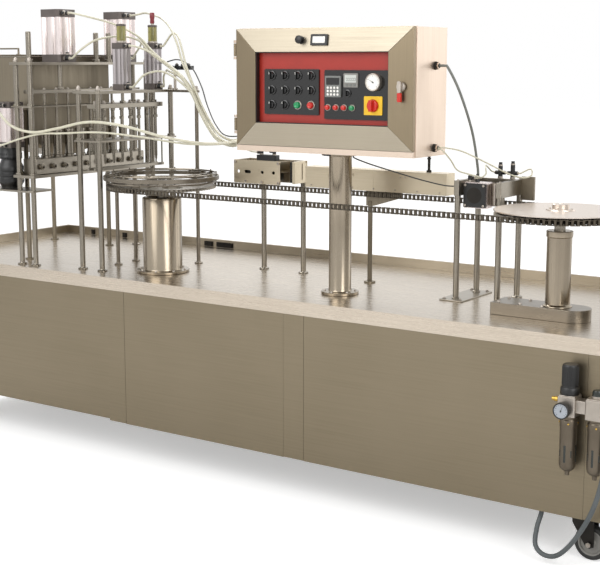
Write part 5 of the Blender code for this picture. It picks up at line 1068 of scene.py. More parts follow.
def buildChannelDetails():
    dress("heat_channel", "sheet")
    dress("channel_post", "dull")
    x0, x1 = channel["x"]
    low, high = channel["z"]
    front = channel["y"] - channel["half"]
    strips = Build()
    # overlapped seam and the folded stiffeners on the front face
    strips.box((x0 + 0.05, x0 + 0.115), (front - 0.0016, front + 0.0002), (low + 0.045, low + 0.06))
    strips.box((x0 + 0.33, x0 + 0.3315), (front - 0.0008, front + 0.0002), (low + 0.002, high - 0.003))
    strips.box((x0 + 0.003, x1 - 0.003), (front - 0.001, front + 0.0002), (high - 0.013, high - 0.009))
    for x in (x0 + 0.22, x0 + 0.47):
        strips.box((x - 0.018, x + 0.018), (front - 0.002, front + 0.0002), (high - 0.03, high - 0.0165))
    finish(strips, "channelStrips", ["sheet"], rounding=0.0004)
    screws = [((x0 + 0.03 + 0.101 * i, front - 0.0001, low + 0.01), facingFront, 0.75) for i in range(7)]
    screws += [((x, front - 0.0019, high - 0.023), facingFront, 0.7) for x in (x0 + 0.209, x0 + 0.231,
            x0 + 0.459, x0 + 0.481)]
    repeat("channelScrews", socketScrew(), screws, "alloy")
    rod = Build()
    x, y = channel["rod"]
    rod.post(x, y, high - 0.0002, high + 0.074, 0.0055, 16)
    rod.turned([(0.0056, 0.0), (0.01, 0.0), (0.01, 0.008), (0.0056, 0.01)], (x, y, high - 0.0002),
            sides=18)
    for k in (0.05, 0.062):
        rod.turned([(0.0056, k), (0.008, k + 0.0015), (0.008, k + 0.0065), (0.0056, k + 0.008)],
                (x, y, high), sides=14)
    finish(rod, "holdDownRod", ["dark"], "machine")


buildChannelDetails()

# Sealing station 1
one = {"x": (-0.205, 0.04), "end": 0.062, "front": 0.011, "depth": 0.115, "z": (1.19, 1.29),
        "sheet": 0.004}


def foot(build, x, y, radius=0.0115, wide=0.0215):
    low = bench["top"]
    build.turned([(0, 0.0003), (wide, 0.0003), (wide, 0.005), (wide - 0.0015, 0.0064),
            (radius + 0.0012, 0.0072), (radius, 0.01)], (x, y, low), sides=28)


def buildStationOne():
    left, right = one["x"]
    front, back = one["front"], one["front"] + one["depth"]
    low, high = one["z"]
    sheet = one["sheet"]
    middle = (low + high) / 2
    body = Build()
    holes = [circle(left + 0.245 * share, middle, 0.0072, 20) for share in (0.1, 0.62, 0.86)]
    holes.append([(left + 0.0735 - 0.0072 + 0.0072 * (1 + cos(a)) + (0.01 if cos(a) > 0 else -0.01),
            middle + 0.0072 * sin(a)) for a in [2 * pi * (i + 0.5) / 20 for i in range(20)]])
    body.holed(rounded((left, right), (low, high), 0.004), holes, -sheet / 2, sheet / 2,
            Matrix.Translation((0, front + sheet / 2, 0)) @ upright)
    body.box((left, right + one["end"]), (back - sheet, back), (low, high - 0.0005))
    for x in (left + 0.001, right - sheet - 0.001):
        body.box((x, x + sheet), (front + sheet - 0.0005, back - sheet + 0.0005), (high - 0.04, high - 0.001))
    rear = channel["y"] + 0.0275
    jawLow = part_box("station1_jaw")[0]
    body.paint = 1
    body.box((left + 0.03, right - 0.03), (rear, back - sheet + 0.0005), (jawLow.z, jawLow.z + 0.04))
    body.paint = 0
    body.box((right + 0.03, right + one["end"] - 0.001), (back - 0.034, back - sheet + 0.0005),
            (low + 0.02, high - 0.01))
    pinZ = high - 0.026
    for x in (left + 0.045, right - 0.045):
        body.rod((x, front + sheet - 0.0005, pinZ), (x, back - sheet + 0.0005, pinZ), 0.005, 20)
    for x in (left + 0.075, right + one["end"] - 0.022):
        y = back - sheet / 2 + 0.004
        body.paint = 2
        body.post(x, y, bench["top"] + 0.004, low + 0.03, 0.0115, 28)
        foot(body, x, y)
    finish(body, "stationOneFrame", ["sheet", "base", "bar"], hides=("station1_frame",), rounding=0.0007)
    dress("station1_jaw", "dark")
    screws = [((x, front, z), facingFront, 1.2) for x, z in ((-0.14, 1.2), (-0.055, 1.199),
            (0.033, 1.198), (-0.196, 1.281), (0.031, 1.281))]
    repeat("stationOneScrews", socketScrew(0.0052, 0.0045), screws, "alloy")
    strips = Build()
    # uprights at the bag's way out: dark wear strip, guide plate and the brown stop bar
    strips.box((0.0735, 0.085), (back - 0.09, back - sheet), (1.2, 1.288))
    strips.paint = 2
    strips.box((0.0853, 0.0985), (back - 0.09, back - sheet), (1.196, 1.289))
    strips.paint = 1
    strips.box((right + 0.0305, right + 0.0595), (back - 0.0365, back - 0.0338), (1.212, 1.278))
    finish(strips, "stationOneStrips", ["dark", "dull", "sheet"], "machine", rounding=0.0008)


def buildStationOneCylinder():
    left = one["x"][0] + 0.245 * 0.62
    front = one["front"]
    base = one["z"][1] + 0.0003
    body = Build()
    body.plate(rounded((left - 0.0348, left + 0.0648), (front + 0.0042, front + 0.0398), 0.005), base,
            base + 0.0238)
    body.paint = 1
    body.plate(rounded((left - 0.02, left + 0.05), (front + 0.009, front + 0.035), 0.003),
            base + 0.0232, base + 0.0248)
    for x, top in ((left - 0.018, 0.042), (left + 0.048, 0.048)):
        y = front + 0.022
        body.paint = 2
        body.rod((x, y, base + 0.023), (x, y, base + 0.029), 0.0088, 6)
        body.paint = 0
        body.turned([(0.0072, base + 0.029), (0.008, base + 0.031), (0.008, base + top - 0.003),
                (0.0065, base + top - 0.0006), (0, base + top - 0.0002)], (x, y, 0), sides=20)
        body.rod((x, y, base + top - 0.009), (x - 0.016, y - 0.01, base + top - 0.008), 0.0066, 16)
        body.paint = 2
        body.rod((x - 0.016, y - 0.01, base + top - 0.008), (x - 0.0185, y - 0.0116, base + top - 0.0078),
                0.0054, 16)
    finish(body, "stationOneCylinder", ["black", "dark", "alloy"], "machine",
            hides=("station1_cylinder",), rounding=0.0006)


buildStationOne()
buildStationOneCylinder()

# Sealing station 2
two = {"left": 0.92, "square": 0.175, "front": -0.057, "top": 1.262, "face": 0.1, "body": 0.058,
        "middle": 1.206, "tees": ((1.012, 0.118, 1.262, 0.062), (1.064, 0.118, 1.262, 0.068))}


def buildStationTwo():
    left, right = two["left"], two["left"] + two["square"]
    front, back = two["front"], two["front"] + two["square"]
    top = two["top"]
    low = top - 0.058
    floor = bench["top"]
    body = Build()
    body.plate(rounded((left - 0.0498, left + 0.0498), (front - 0.0448, back + 0.0448), 0.006),
            floor + 0.0003, floor + 0.005)
    for x in (left, right):
        for y in (front, back):
            body.post(x, y, floor + 0.004, low + 0.01, 0.0115, 28)
            if x == left:
                body.turned([(0.0155, 0.0045), (0.0155, 0.009), (0.014, 0.0105), (0.0117, 0.011)],
                        (x, y, floor), sides=24)
            else:
                foot(body, x, y)
        body.plate(rounded((x - 0.0109, x + 0.0109), (front - 0.0139, back + 0.0139), 0.003), low, top)
    body.box((left + 0.01, right - 0.01), (back - 0.0069, back + 0.0069), (low + 0.001, top - 0.001))
    body.paint = 1
    body.box((left + 0.022, right - 0.022), (channel["y"] + 0.0275, back - 0.006),
            (low + 0.002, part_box("station2_jaw")[1].z - 0.0002))
    body.paint = 2
    body.box((right + 0.01, right + 0.0638), (back - 0.0098, back + 0.0019), (low - 0.0198, top + 0.0118))
    finish(body, "stationTwoFrame", ["plate", "dark", "dull"], hides=("station2_frame",), rounding=0.0009)
    nuts = []
    for x in (left, right):
        for y in (front, back):
            nuts.append(((x, y, top - 0.0002), facingUp, 0.75))
    repeat("stationTwoNuts", socketScrew(0.007, 0.005), nuts, "alloy")
    bolts = [((left + dx, y, floor + 0.0048), facingUp, 0.72) for dx in (-0.034, 0.034)
            for y in (front - 0.03, back + 0.03)]
    repeat("stationTwoFootBolts", hexNut(0.0095, 0.006), bolts, "alloy")
    dress("station2_jaw", "dark")


def buildStationTwoCylinder():
    low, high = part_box("station2_cylinder")
    zc, half = two["middle"], two["face"] / 2
    body = Build()
    x0, x1, y0, y1 = low.x, high.x, low.y, high.y
    xc = (x0 + x1) / 2
    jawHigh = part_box("station2_jaw")[1]
    turn = Matrix.Translation((0, y1, 0)) @ upright
    # extruded body with sensor grooves, closed by a dark cover with four screws
    outline = rounded((x0 + 0.0005, x1 - 0.0005), (zc - half + 0.0005, zc + half - 0.0005), 0.006)
    hole = circle(xc, jawHigh.z - 0.02, 0.0102, 24)
    body.holed(outline, [hole], 0.0, two["body"] - 0.009, turn)
    body.paint = 1
    body.plate(rounded((x0 + 0.004, x1 - 0.004), (zc - half + 0.004, zc + half - 0.004), 0.005),
            two["body"] - 0.009, two["body"] - 0.0002, turn)
    body.paint = 2
    body.plate(circle(xc, zc, 0.031, 48), two["body"] - 0.0005, two["body"] + 0.0, turn)
    for k in (-0.03, -0.006, 0.018):
        body.box((x0 - 0.0002, x0 + 0.0006), (y0 + 0.01, y1 - 0.002), (zc + k, zc + k + 0.004))
    finish(body, "stationTwoCylinder", ["barrel", "black", "dark"], "machine",
            hides=("station2_cylinder",), rounding=0.0008)
    screws = [((xc + sx * 0.0385, y0 + 0.0002, zc + sz * 0.0385), facingFront, 1.0) for sx in (-1, 1)
            for sz in (-1, 1)]
    repeat("stationTwoCoverScrews", socketScrew(0.005, 0.003), screws, "alloy", "machine")
    # dark mounting plate beside the body, with its screws
    side = Build()
    side.box((x1 + 0.0004, two["left"] + two["square"] - 0.0114), (0.0062, 0.0122),
            (zc - half + 0.008, zc + half - 0.003))
    side.paint = 1
    side.box((x1 + 0.012, x1 + 0.02), (-0.004, 0.0062), (zc - half + 0.012, zc + half - 0.007))
    finish(side, "stationTwoSidePlate", ["base", "alloy"], rounding=0.0008)
    screws = [((x1 + 0.036, 0.006, zc + dz), facingFront, 1.3) for dz in (-0.03, 0.004, 0.034)]
    repeat("stationTwoSideScrews", domeNut(0.006), screws, "alloy")
    fittings = Build()
    # flow regulators with thumb screws
    base = zc + half - 0.0004
    for x, y, tall in ((x0 + 0.022, y0 + 0.018, 0.03), (x0 + 0.022, y0 + 0.044, 0.024)):
        fittings.paint = 1
        fittings.rod((x, y, base), (x, y, base + 0.008), 0.009, 6)
        fittings.paint = 0
        fittings.rod((x, y, base + 0.008), (x, y, base + tall - 0.006), 0.008, 18)
        fittings.rod((x, y, base + 0.015), (x + 0.019, y, base + 0.015), 0.0066, 16)
        fittings.paint = 1
        fittings.rod((x + 0.019, y, base + 0.015), (x + 0.022, y, base + 0.015), 0.0055, 16)
        fittings.rod((x, y, base + tall - 0.006), (x, y, base + tall), 0.005, 12)
    # two tees with thumb screws on the rear bar
    for x, y, base, tall in two["tees"]:
        fittings.paint = 1
        fittings.rod((x, y, base - 0.0006), (x, y, base + 0.008), 0.01, 6)
        fittings.rod((x, y, base + tall - 0.014), (x, y, base + tall - 0.009), 0.0088, 12)
        fittings.paint = 0
        fittings.rod((x, y, base + 0.008), (x, y, base + tall - 0.014), 0.0088, 18)
        fittings.rod((x - 0.02, y, base + 0.022), (x + 0.02, y, base + 0.022), 0.008, 16)
        fittings.rod((x, y, base + tall - 0.009), (x, y, base + tall), 0.007, 14)
        fittings.paint = 1
        for way in (-1, 1):
            fittings.rod((x + way * 0.02, y, base + 0.022), (x + way * 0.0235, y, base + 0.022), 0.0062, 16)
    finish(fittings, "stationTwoFittings", ["black", "alloy"], "machine")


buildStationTwo()
buildStationTwoCylinder()
print("stations built")

# Hopper and its lid
hopper = {"x": (-1.62, -1.17), "y": (-0.2475, 0.2725), "z": (1.33, 1.735)}


def buildHopperDetails():
    dress("hopper_tank", "dull")
    dress("hopper_lid", "dull")
    x0, x1 = hopper["x"]
    y0, y1 = hopper["y"]
    top = hopper["z"][1]
    trim = Build()
    # rolled rim under the lid and weld beads down the corners
    for a, b in (((x0, y0), (x1, y0)), ((x1, y0), (x1, y1)), ((x1, y1), (x0, y1)), ((x0, y1), (x0, y0))):
        trim.rod((*a, top - 0.006), (*b, top - 0.006), 0.0038, 12)
    for x, y in ((x0, y0), (x1, y0), (x1, y1), (x0, y1)):
        trim.rod((x, y, hopper["z"][0] + 0.004), (x, y, top - 0.008), 0.0018, 8)
    finish(trim, "hopperRim", ["bar"])
    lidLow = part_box("hopper_lid")[0]
    bosses = Build()
    for x in (x0 + 0.13, x1 - 0.13):
        bosses.turned([(0.0112, 0.003), (0.0112, 0.0048), (0.0085, 0.0062), (0.0052, 0.0066)],
                (x, y0 + 0.06, lidLow.z), sides=20)
    finish(bosses, "lidHandleBosses", ["bar"], "lid")


buildHopperDetails()
print("hopper dressed")


# Standing air cylinders: square caps, round or lobed barrel, tie rods and flow fittings
def barrelOutline(x, y, radius, size):
    points = []
    lobe = (size / 2 - 0.004) * 2 ** 0.5 * 0.97
    inner = radius * 0.985
    for quarter in range(4):
        middle = pi / 4 + quarter * pi / 2
        for off, reach in ((-0.62, inner), (-0.46, inner), (-0.3, inner * 1.02), (-0.15, lobe * 0.955),
                (-0.08, lobe), (0.08, lobe), (0.15, lobe * 0.955), (0.3, inner * 1.02), (0.46, inner),
                (0.62, inner)):
            points.append((x + reach * cos(middle + off), y + reach * sin(middle + off)))
    return points


def airCylinder(name, node, x, y, low, height, size, cap, radius, fit, skin, front=False, cup=None):
    high = low + height
    half = size / 2 - 0.0003
    body = Build()
    body.paint = 0
    body.plate(barrelOutline(x, y, radius, size), low + cap - 0.001, high - cap + 0.001)
    body.paint = 1
    chamfer = size * 0.085
    square = [(x - half + chamfer, y - half), (x + half - chamfer, y - half),
            (x + half, y - half + chamfer), (x + half, y + half - chamfer), (x + half - chamfer, y + half),
            (x - half + chamfer, y + half), (x - half, y + half - chamfer), (x - half, y - half + chamfer)]
    body.plate(square, low, low + cap)
    body.plate(square, high - cap, high)
    body.paint = 2
    # speed controllers in the ports: hexagon, body with a thumb screw, collar
    way = Vector((0, -1, 0)) if front else Vector((1, 0, 0))
    across = Vector((0.2 * size, 0, 0)) if front else Vector((0, -0.2 * size, 0))
    end = Vector((x, y, 0)) + across + way * (size / 2)
    for z, aside in ((low + cap / 2, Vector((0, 0, 1))), (high - cap / 2, Vector((0, -1, 0)))):
        if front:
            aside = Vector((1, 0, 0))
        tip = end + Vector((0, 0, z))
        stem = tip + way * 0.0145 * fit
        body.paint = 2
        body.rod(tip - way * 0.002, tip + way * 0.006 * fit, 0.01 * fit, 6)
        body.rod(stem + aside * 0.014 * fit, stem + aside * 0.0185 * fit, 0.0085 * fit, 12)
        body.rod(tip + way * 0.024 * fit, tip + way * 0.0268 * fit, 0.0072 * fit, 16)
        body.paint = 3
        body.rod(tip + way * 0.006 * fit, tip + way * 0.024 * fit, 0.0092 * fit, 16)
        body.rod(stem, stem + aside * 0.014 * fit, 0.0082 * fit, 16)
        body.rod(stem + aside * 0.0185 * fit, stem + aside * 0.024 * fit, 0.0066 * fit, 12)
    if cup:
        body.paint = 2
        body.turned([(0, high + 0.0005), (0.0222, high + 0.0005), (0.0222, high + 0.008),
                (0.02, high + 0.0095)], (x, y, 0), sides=32)
        body.paint = 4
        body.turned([(0.0206, high + 0.009), (0.0206, high + 0.073), (0.018, high + 0.0732)], (x, y, 0),
                sides=32)
        body.paint = 1
        body.turned([(0.0212, high + 0.0725), (0.0216, high + 0.0735), (0.0216, high + 0.08),
                (0.0196, high + 0.082), (0, high + 0.0822)], (x, y, 0), sides=32)
        body.rod((x, y, high + 0.012), (x, y, high + 0.07), 0.005, 12)
        if cup == "red":
            # the adjusting stem with its coloured grip
            body.paint = 2
            body.rod((x, y, high + 0.0815), (x, y, high + 0.09), 0.0068, 14)
            body.paint = 5
            body.turned([(0.008, high + 0.088), (0.0104, high + 0.093), (0.0092, high + 0.108),
                    (0.0112, high + 0.116), (0.0112, high + 0.132), (0.009, high + 0.137),
                    (0, high + 0.1377)], (x, y, 0), sides=24)
    finish(body, name, [skin, "cap", "alloy", "black", "olive", "wine"], "machine",
            hides=(node,), rounding=0.0009 if size > 0.09 else 0.0006)
    studs = []
    grow = size / 0.118
    for sx in (-1, 1):
        for sy in (-1, 1):
            studs.append(((x + sx * half * 0.76, y + sy * half * 0.76, high - 0.0012), facingUp, grow))
    return studs


big = {"x": -1.075, "y": (-0.1525, 0.2575), "low": 1.7043, "height": 0.234, "size": 0.118, "cap": 0.034,
        "bore": 0.054, "fit": 1.15, "skin": "barrel"}
medium = {"x": -0.735, "y": (-0.1075, 0.1025), "low": 1.5823, "height": 0.206, "size": 0.066, "cap": 0.026,
        "bore": 0.029, "fit": 0.95, "skin": "profile"}
small = {"x": -1.215, "y": -0.3395, "low": 1.3223, "height": 0.205, "size": 0.1, "cap": 0.026,
        "bore": 0.044, "fit": 1.0, "skin": "barrel"}


def buildCylinders():
    studs = []
    for name, y in zip(("front", "rear"), big["y"]):
        studs += airCylinder("pumpCylinder_" + name, "pump_cylinder_" + name, big["x"], y, big["low"],
                big["height"], big["size"], big["cap"], big["bore"], big["fit"], big["skin"])
    for name, y, cup in zip(("front", "rear"), medium["y"], ("plain", "red")):
        studs += airCylinder("fillCylinder_" + name, "fill_cylinder_" + name, medium["x"], y, medium["low"],
                medium["height"], medium["size"], medium["cap"], medium["bore"], medium["fit"],
                medium["skin"], cup=cup)
    studs += airCylinder("valveCylinder", "valve_cylinder", small["x"], small["y"], small["low"],
            small["height"], small["size"], small["cap"], small["bore"], small["fit"], small["skin"],
            front=True)
    stud = Build()
    stud.turned([(0.0068, 0.0004), (0.0072, 0.0012), (0.0064, 0.0012), (0.006, -0.003),
            (0.004, -0.003)], sides=14)
    stud.rod((0, 0, -0.002), (0, 0, -0.0004), 0.004, 6)
    repeat("tieRodScrews", stud, studs, "dark", "machine")


buildCylinders()

# Dosing pumps: two plates on four posts, ten barrels, and the crosshead between them
pumps = {"x": (-1.14, -1.01), "y": (-0.4025, 0.4125), "top": 1.704, "sheet": 0.012, "inset": 0.022,
        "post": 0.0115, "barrels": 10, "barrelY": (-0.3275, 0.3375), "barrel": 0.02,
        "barrelZ": (1.276, 1.402), "manifold": (1.206, 1.276), "guide": 1.506, "head": (1.566, 1.582),
        "shelf": (-1.33, -1.01, -0.4175, 0.138, 1.139, 0.008)}


def standingPost(build, x, y, high, radius):
    foot(build, x, y, radius)
    build.post(x, y, bench["top"] + 0.006, high, radius, 28)


def buildPumpFrame():
    x0, x1 = pumps["x"]
    y0, y1 = pumps["y"]
    top, sheet, inset = pumps["top"], pumps["sheet"], pumps["inset"]
    middle = (x0 + x1) / 2
    body = Build()
    barrelY = spread(*pumps["barrelY"], pumps["barrels"])
    body.holed(rounded((x0, x1), (y0, y1), 0.01), [circle(middle, y, 0.0104, 24) for y in big["y"]],
            top - sheet, top)
    body.holed(rounded((x0, x1), (y0, y1), 0.01), [circle(middle, y, 0.0066, 16) for y in barrelY],
            pumps["guide"], pumps["guide"] + 0.006)
    floor = pumps["manifold"][0] - sheet - 0.0003
    body.plate(rounded((x0, x1), (y0, y1), 0.01), floor, floor + sheet)
    body.paint = 1
    cornerX = (x0 + inset, x1 - inset)
    cornerY = (y0 + inset, y1 - inset)
    for x in cornerX:
        for y in cornerY:
            standingPost(body, x, y, top + 0.003, pumps["post"])
            for z in (floor + sheet, pumps["guide"] + 0.006):
                body.turned([(0.0116, z - 0.0002), (0.0168, z - 0.0002), (0.0168, z + 0.009),
                        (0.015, z + 0.01), (0.0116, z + 0.01)], (x, y, 0), sides=24)
    rods = ((cornerX[0] + 0.03, y0 + 0.075), (cornerX[1] - 0.008, 0.0525), (cornerX[1] - 0.008, 0.1375))
    for x, y in rods:
        body.post(x, y, top - 0.001, top + 0.131, 0.012, 24)
        body.turned([(0.012, top + 0.13), (0.01, top + 0.1345), (0, top + 0.1348)], (x, y, 0), sides=24)
        body.turned([(0.0121, top), (0.018, top), (0.018, top + 0.012), (0.0165, top + 0.0135),
                (0.0121, top + 0.0135)], (x, y, 0), sides=24)
    body.paint = 0
    sx0, sx1, sy0, depth, sz, st = pumps["shelf"]
    body.plate([(sx0 + 0.03 * (1 - cos(radians(a))), sy0 + 0.03 * (1 - sin(radians(a)))) for a in range(0,
            91, 15)] + [(sx1 - 0.03 * (1 - sin(radians(a))), sy0 + 0.03 * (1 - cos(radians(a))))
            for a in range(0, 91, 15)] + [(sx1, sy0 + depth), (sx0, sy0 + depth)], sz - st, sz)
    finish(body, "pumpFrame", ["plate", "bar"], hides=("pump_frame",), rounding=0.001)
    nuts = [((x, y, top), facingUp, 1.0) for x in cornerX for y in cornerY]
    repeat("pumpDomeNuts", domeNut(), nuts, "alloy")


def buildPumpBarrels():
    x = (pumps["x"][0] + pumps["x"][1]) / 2
    low, high = pumps["manifold"]
    barrelY = spread(*pumps["barrelY"], pumps["barrels"])
    body = Build()
    body.box((x - 0.0398, x + 0.0398), (pumps["y"][0] + 0.0452, pumps["y"][1] - 0.0452), (low, high))
    finish(body, "pumpManifold", ["plate"], hides=("pump_barrels",), rounding=0.0022)
    barrel = Build()
    base, top = high - 0.0005, pumps["barrelZ"][1]
    r = pumps["barrel"]
    barrel.turned([(r + 0.0035, 0), (r + 0.0035, 0.01), (r + 0.0015, 0.0125), (r - 0.0004, 0.013),
            (r - 0.0004, top - base - 0.012), (r + 0.002, top - base - 0.011),
            (r + 0.0026, top - base - 0.009), (r + 0.0026, top - base - 0.002), (r + 0.0016, top - base),
            (r - 0.003, top - base), (r - 0.003, 0.002)], sides=28)
    repeat("pumpBarrels", barrel, [((x, y, base), facingUp, 1.0) for y in barrelY], "bar")
    # outlet stubs with clamp rings on the right of the manifold
    outlet = Build()
    outlet.turned([(0.01, -0.001), (0.01, 0.008), (0.0135, 0.0085), (0.014, 0.01), (0.014, 0.013),
            (0.0135, 0.0145), (0.009, 0.015), (0.0085, 0.02), (0.006, 0.0205), (0.0055, 0.01),
            (0, 0.01)], sides=20)
    repeat("manifoldOutlets", outlet, [((x + 0.0395, y, (low + high) / 2), facingRight, 0.95)
            for y in barrelY], "bar")


def buildCrosshead():
    x = (pumps["x"][0] + pumps["x"][1]) / 2
    low, high = pumps["head"]
    barrelY = spread(*pumps["barrelY"], pumps["barrels"])
    body = Build()
    body.box((x - 0.0218, x + 0.0218), (pumps["y"][0] + 0.0452, pumps["y"][1] - 0.0452), (low, high))
    body.paint = 1
    for y in big["y"]:
        body.post(x, y, high - 0.001, pumps["top"] + big["cap"], 0.01, 28)
        body.rod((x, y, high - 0.0003), (x, y, high + 0.012), 0.018, 6)
    for y in barrelY:
        body.post(x, y, 1.354, low + 0.0005, 0.0058, 16)
        body.turned([(0, 1.3362), (0.015, 1.3362), (0.0158, 1.3375), (0.0158, 1.3545), (0.014, 1.3558),
                (0.0058, 1.3558)], (x, y, 0), sides=20)
    finish(body, "pumpCrosshead", ["plate", "bar"], "crosshead",
            hides=("pump_crosshead",), rounding=0.001)
    nuts = [((x, y, high - 0.0002), facingUp, 0.62) for y in barrelY]
    repeat("pistonNuts", hexNut(0.0125, 0.01), nuts, "alloy", "crosshead")
    clevises = [((x, y, low + 0.0002), (pi, 0.0, 0.0), 0.7) for y in barrelY]
    thin = Build()
    thin.rod((0, 0, 0), (0, 0, 0.005), 0.0125, 6)
    repeat("pistonLockNuts", thin, clevises, "alloy", "crosshead")


buildPumpFrame()
buildPumpBarrels()
buildCrosshead()
print("pumps built")

# Filling head: eight nozzles on a carriage between two plates
fill = {"x": (-0.813, -0.657), "y": (-0.3475, 0.1725), "top": 1.582, "sheet": 0.012, "inset": 0.02,
        "nozzles": 8, "nozzleY": (-0.2875, 0.1125), "nozzle": 0.0065, "bottom": 1.262,
        "bar": (1.505, 1.525), "guide": 1.362, "mouth": 1.236}


def buildFillFrame():
    x0, x1 = fill["x"]
    y0, y1 = fill["y"]
    top, sheet, inset = fill["top"], fill["sheet"], fill["inset"]
    middle = (x0 + x1) / 2
    nozzleY = spread(*fill["nozzleY"], fill["nozzles"])
    body = Build()
    body.holed(rounded((x0, x1), (y0, y1), 0.01), [circle(middle, y, 0.0075, 20) for y in medium["y"]],
            top - sheet, top)
    body.holed(rounded((x0, x1), (y0, y1), 0.01), [circle(middle, y, 0.0072, 16) for y in nozzleY],
            fill["guide"], fill["guide"] + 0.008)
    body.paint = 1
    for x in (x0 + inset, x1 - inset):
        for y in (y0 + inset, y1 - inset):
            standingPost(body, x, y, top + 0.003, pumps["post"])
            z = fill["guide"] + 0.008
            body.turned([(0.0116, z - 0.0002), (0.0168, z - 0.0002), (0.0168, z + 0.009),
                    (0.015, z + 0.01), (0.0116, z + 0.01)], (x, y, 0), sides=24)
    tallX, tallY = ring["posts"][2]
    body.paint = 0
    body.plate([(x1 - 0.003, y1 - 0.075), (tallX, tallY - 0.019), (tallX + 0.018, tallY),
            (tallX, tallY + 0.019), (x1 - 0.003, y1 - 0.002)], top - sheet + 0.001, top - 0.001)
    for side in (-1, 1):
        bar = middle + side * 0.018
        body.paint = 0
        body.box((bar - 0.0039, bar + 0.0039), (y0 + 0.0302, y1 - 0.0302),
                (fill["mouth"], fill["mouth"] + 0.012))
        body.paint = 1
        for y in (y0 + 0.04, y1 - 0.04):
            body.post(bar, y, fill["mouth"] + 0.011, fill["guide"] + 0.001, 0.0035, 14)
    finish(body, "fillFrame", ["plate", "bar"], hides=("fill_frame",), rounding=0.001)
    nuts = [((x, y, top), facingUp, 1.0) for x in (x0 + inset, x1 - inset) for y in (y0 + inset, y1 - inset)]
    nuts.append(((tallX, tallY, top - 0.001), facingUp, 0.9))
    repeat("fillDomeNuts", domeNut(), nuts, "alloy")


def buildCarriage():
    x0, x1 = fill["x"]
    middle = (x0 + x1) / 2
    y0, y1 = fill["y"]
    low, high = fill["bar"]
    nozzleY = spread(*fill["nozzleY"], fill["nozzles"])
    body = Build()
    body.box((middle - 0.0238, middle + 0.0238), (y0 + 0.0352, y1 - 0.0352), (low, high))
    body.paint = 1
    for y in medium["y"]:
        body.post(middle, y, high - 0.001, fill["top"] + medium["cap"], 0.007, 24)
        body.rod((middle, y, high - 0.0003), (middle, y, high + 0.01), 0.0135, 6)
    finish(body, "nozzleCarriage", ["plate", "bar"], "carriage", hides=("nozzle_carriage",),
            rounding=0.001)
    nozzle = Build()
    r, length = fill["nozzle"], low - fill["bottom"]
    # collar and union under the bar, long shank, tapered tip
    nozzle.turned([(0, 0), (r * 0.55, 0), (r * 0.7, 0.004), (r * 0.98, 0.02), (r * 0.98, length - 0.05),
            (r * 1.02, length - 0.05)], sides=16)
    nozzle.rod((0, 0, length - 0.05), (0, 0, length - 0.038), 0.0105, 6)
    nozzle.turned([(r, length - 0.038), (r * 1.15, length - 0.036), (r * 1.15, length - 0.012),
            (r * 1.6, length - 0.01), (r * 1.6, length + 0.0005)], sides=16)
    repeat("nozzles", nozzle, [((middle, y, fill["bottom"]), facingUp, 1.0) for y in nozzleY], "bar",
            "carriage")
    heads = Build()
    heads.rod((0, 0, -0.0002), (0, 0, 0.006), 0.01, 6)  # low enough for the top of the stroke
    heads.turned([(0.0078, 0.006), (0.0078, 0.0115), (0.0066, 0.0122), (0.0066, 0.0145), (0, 0.0145)], sides=14)
    repeat("nozzleHeads", heads, [((middle, y, high), facingUp, 0.92) for y in nozzleY
            if min(abs(y - k) for k in medium["y"]) > 0.022], "alloy", "carriage")


# Valve block on a stem at the back of the filling plate, with its fittings
def buildPilotValves():
    x, y, top = fill["x"][1] + 0.03, 0.128, fill["top"]
    low = top + 0.088
    body = Build()
    body.post(x, y, top - 0.002, low + 0.004, 0.0065, 18)
    body.turned([(0.0066, 0.0), (0.0125, 0.0), (0.0125, 0.006), (0.0066, 0.008)], (x, y, top - 0.001), sides=18)
    body.paint = 1
    body.box((x - 0.01, x + 0.1), (y - 0.014, y + 0.014), (low, low + 0.018))
    for i in range(3):
        px = x + 0.012 + 0.034 * i
        body.paint = 1
        body.rod((px, y, low + 0.017), (px, y, low + 0.025), 0.0085, 14)
        body.rod((px, y - 0.013, low + 0.009), (px, y - 0.024, low + 0.009), 0.0065, 14)
        body.paint = 0
        body.rod((px, y, low + 0.025), (px, y, low + 0.03), 0.005, 12)
    finish(body, "pilotValves", ["alloy", "black"], rounding=0.0007)


buildFillFrame()
buildCarriage()
buildPilotValves()


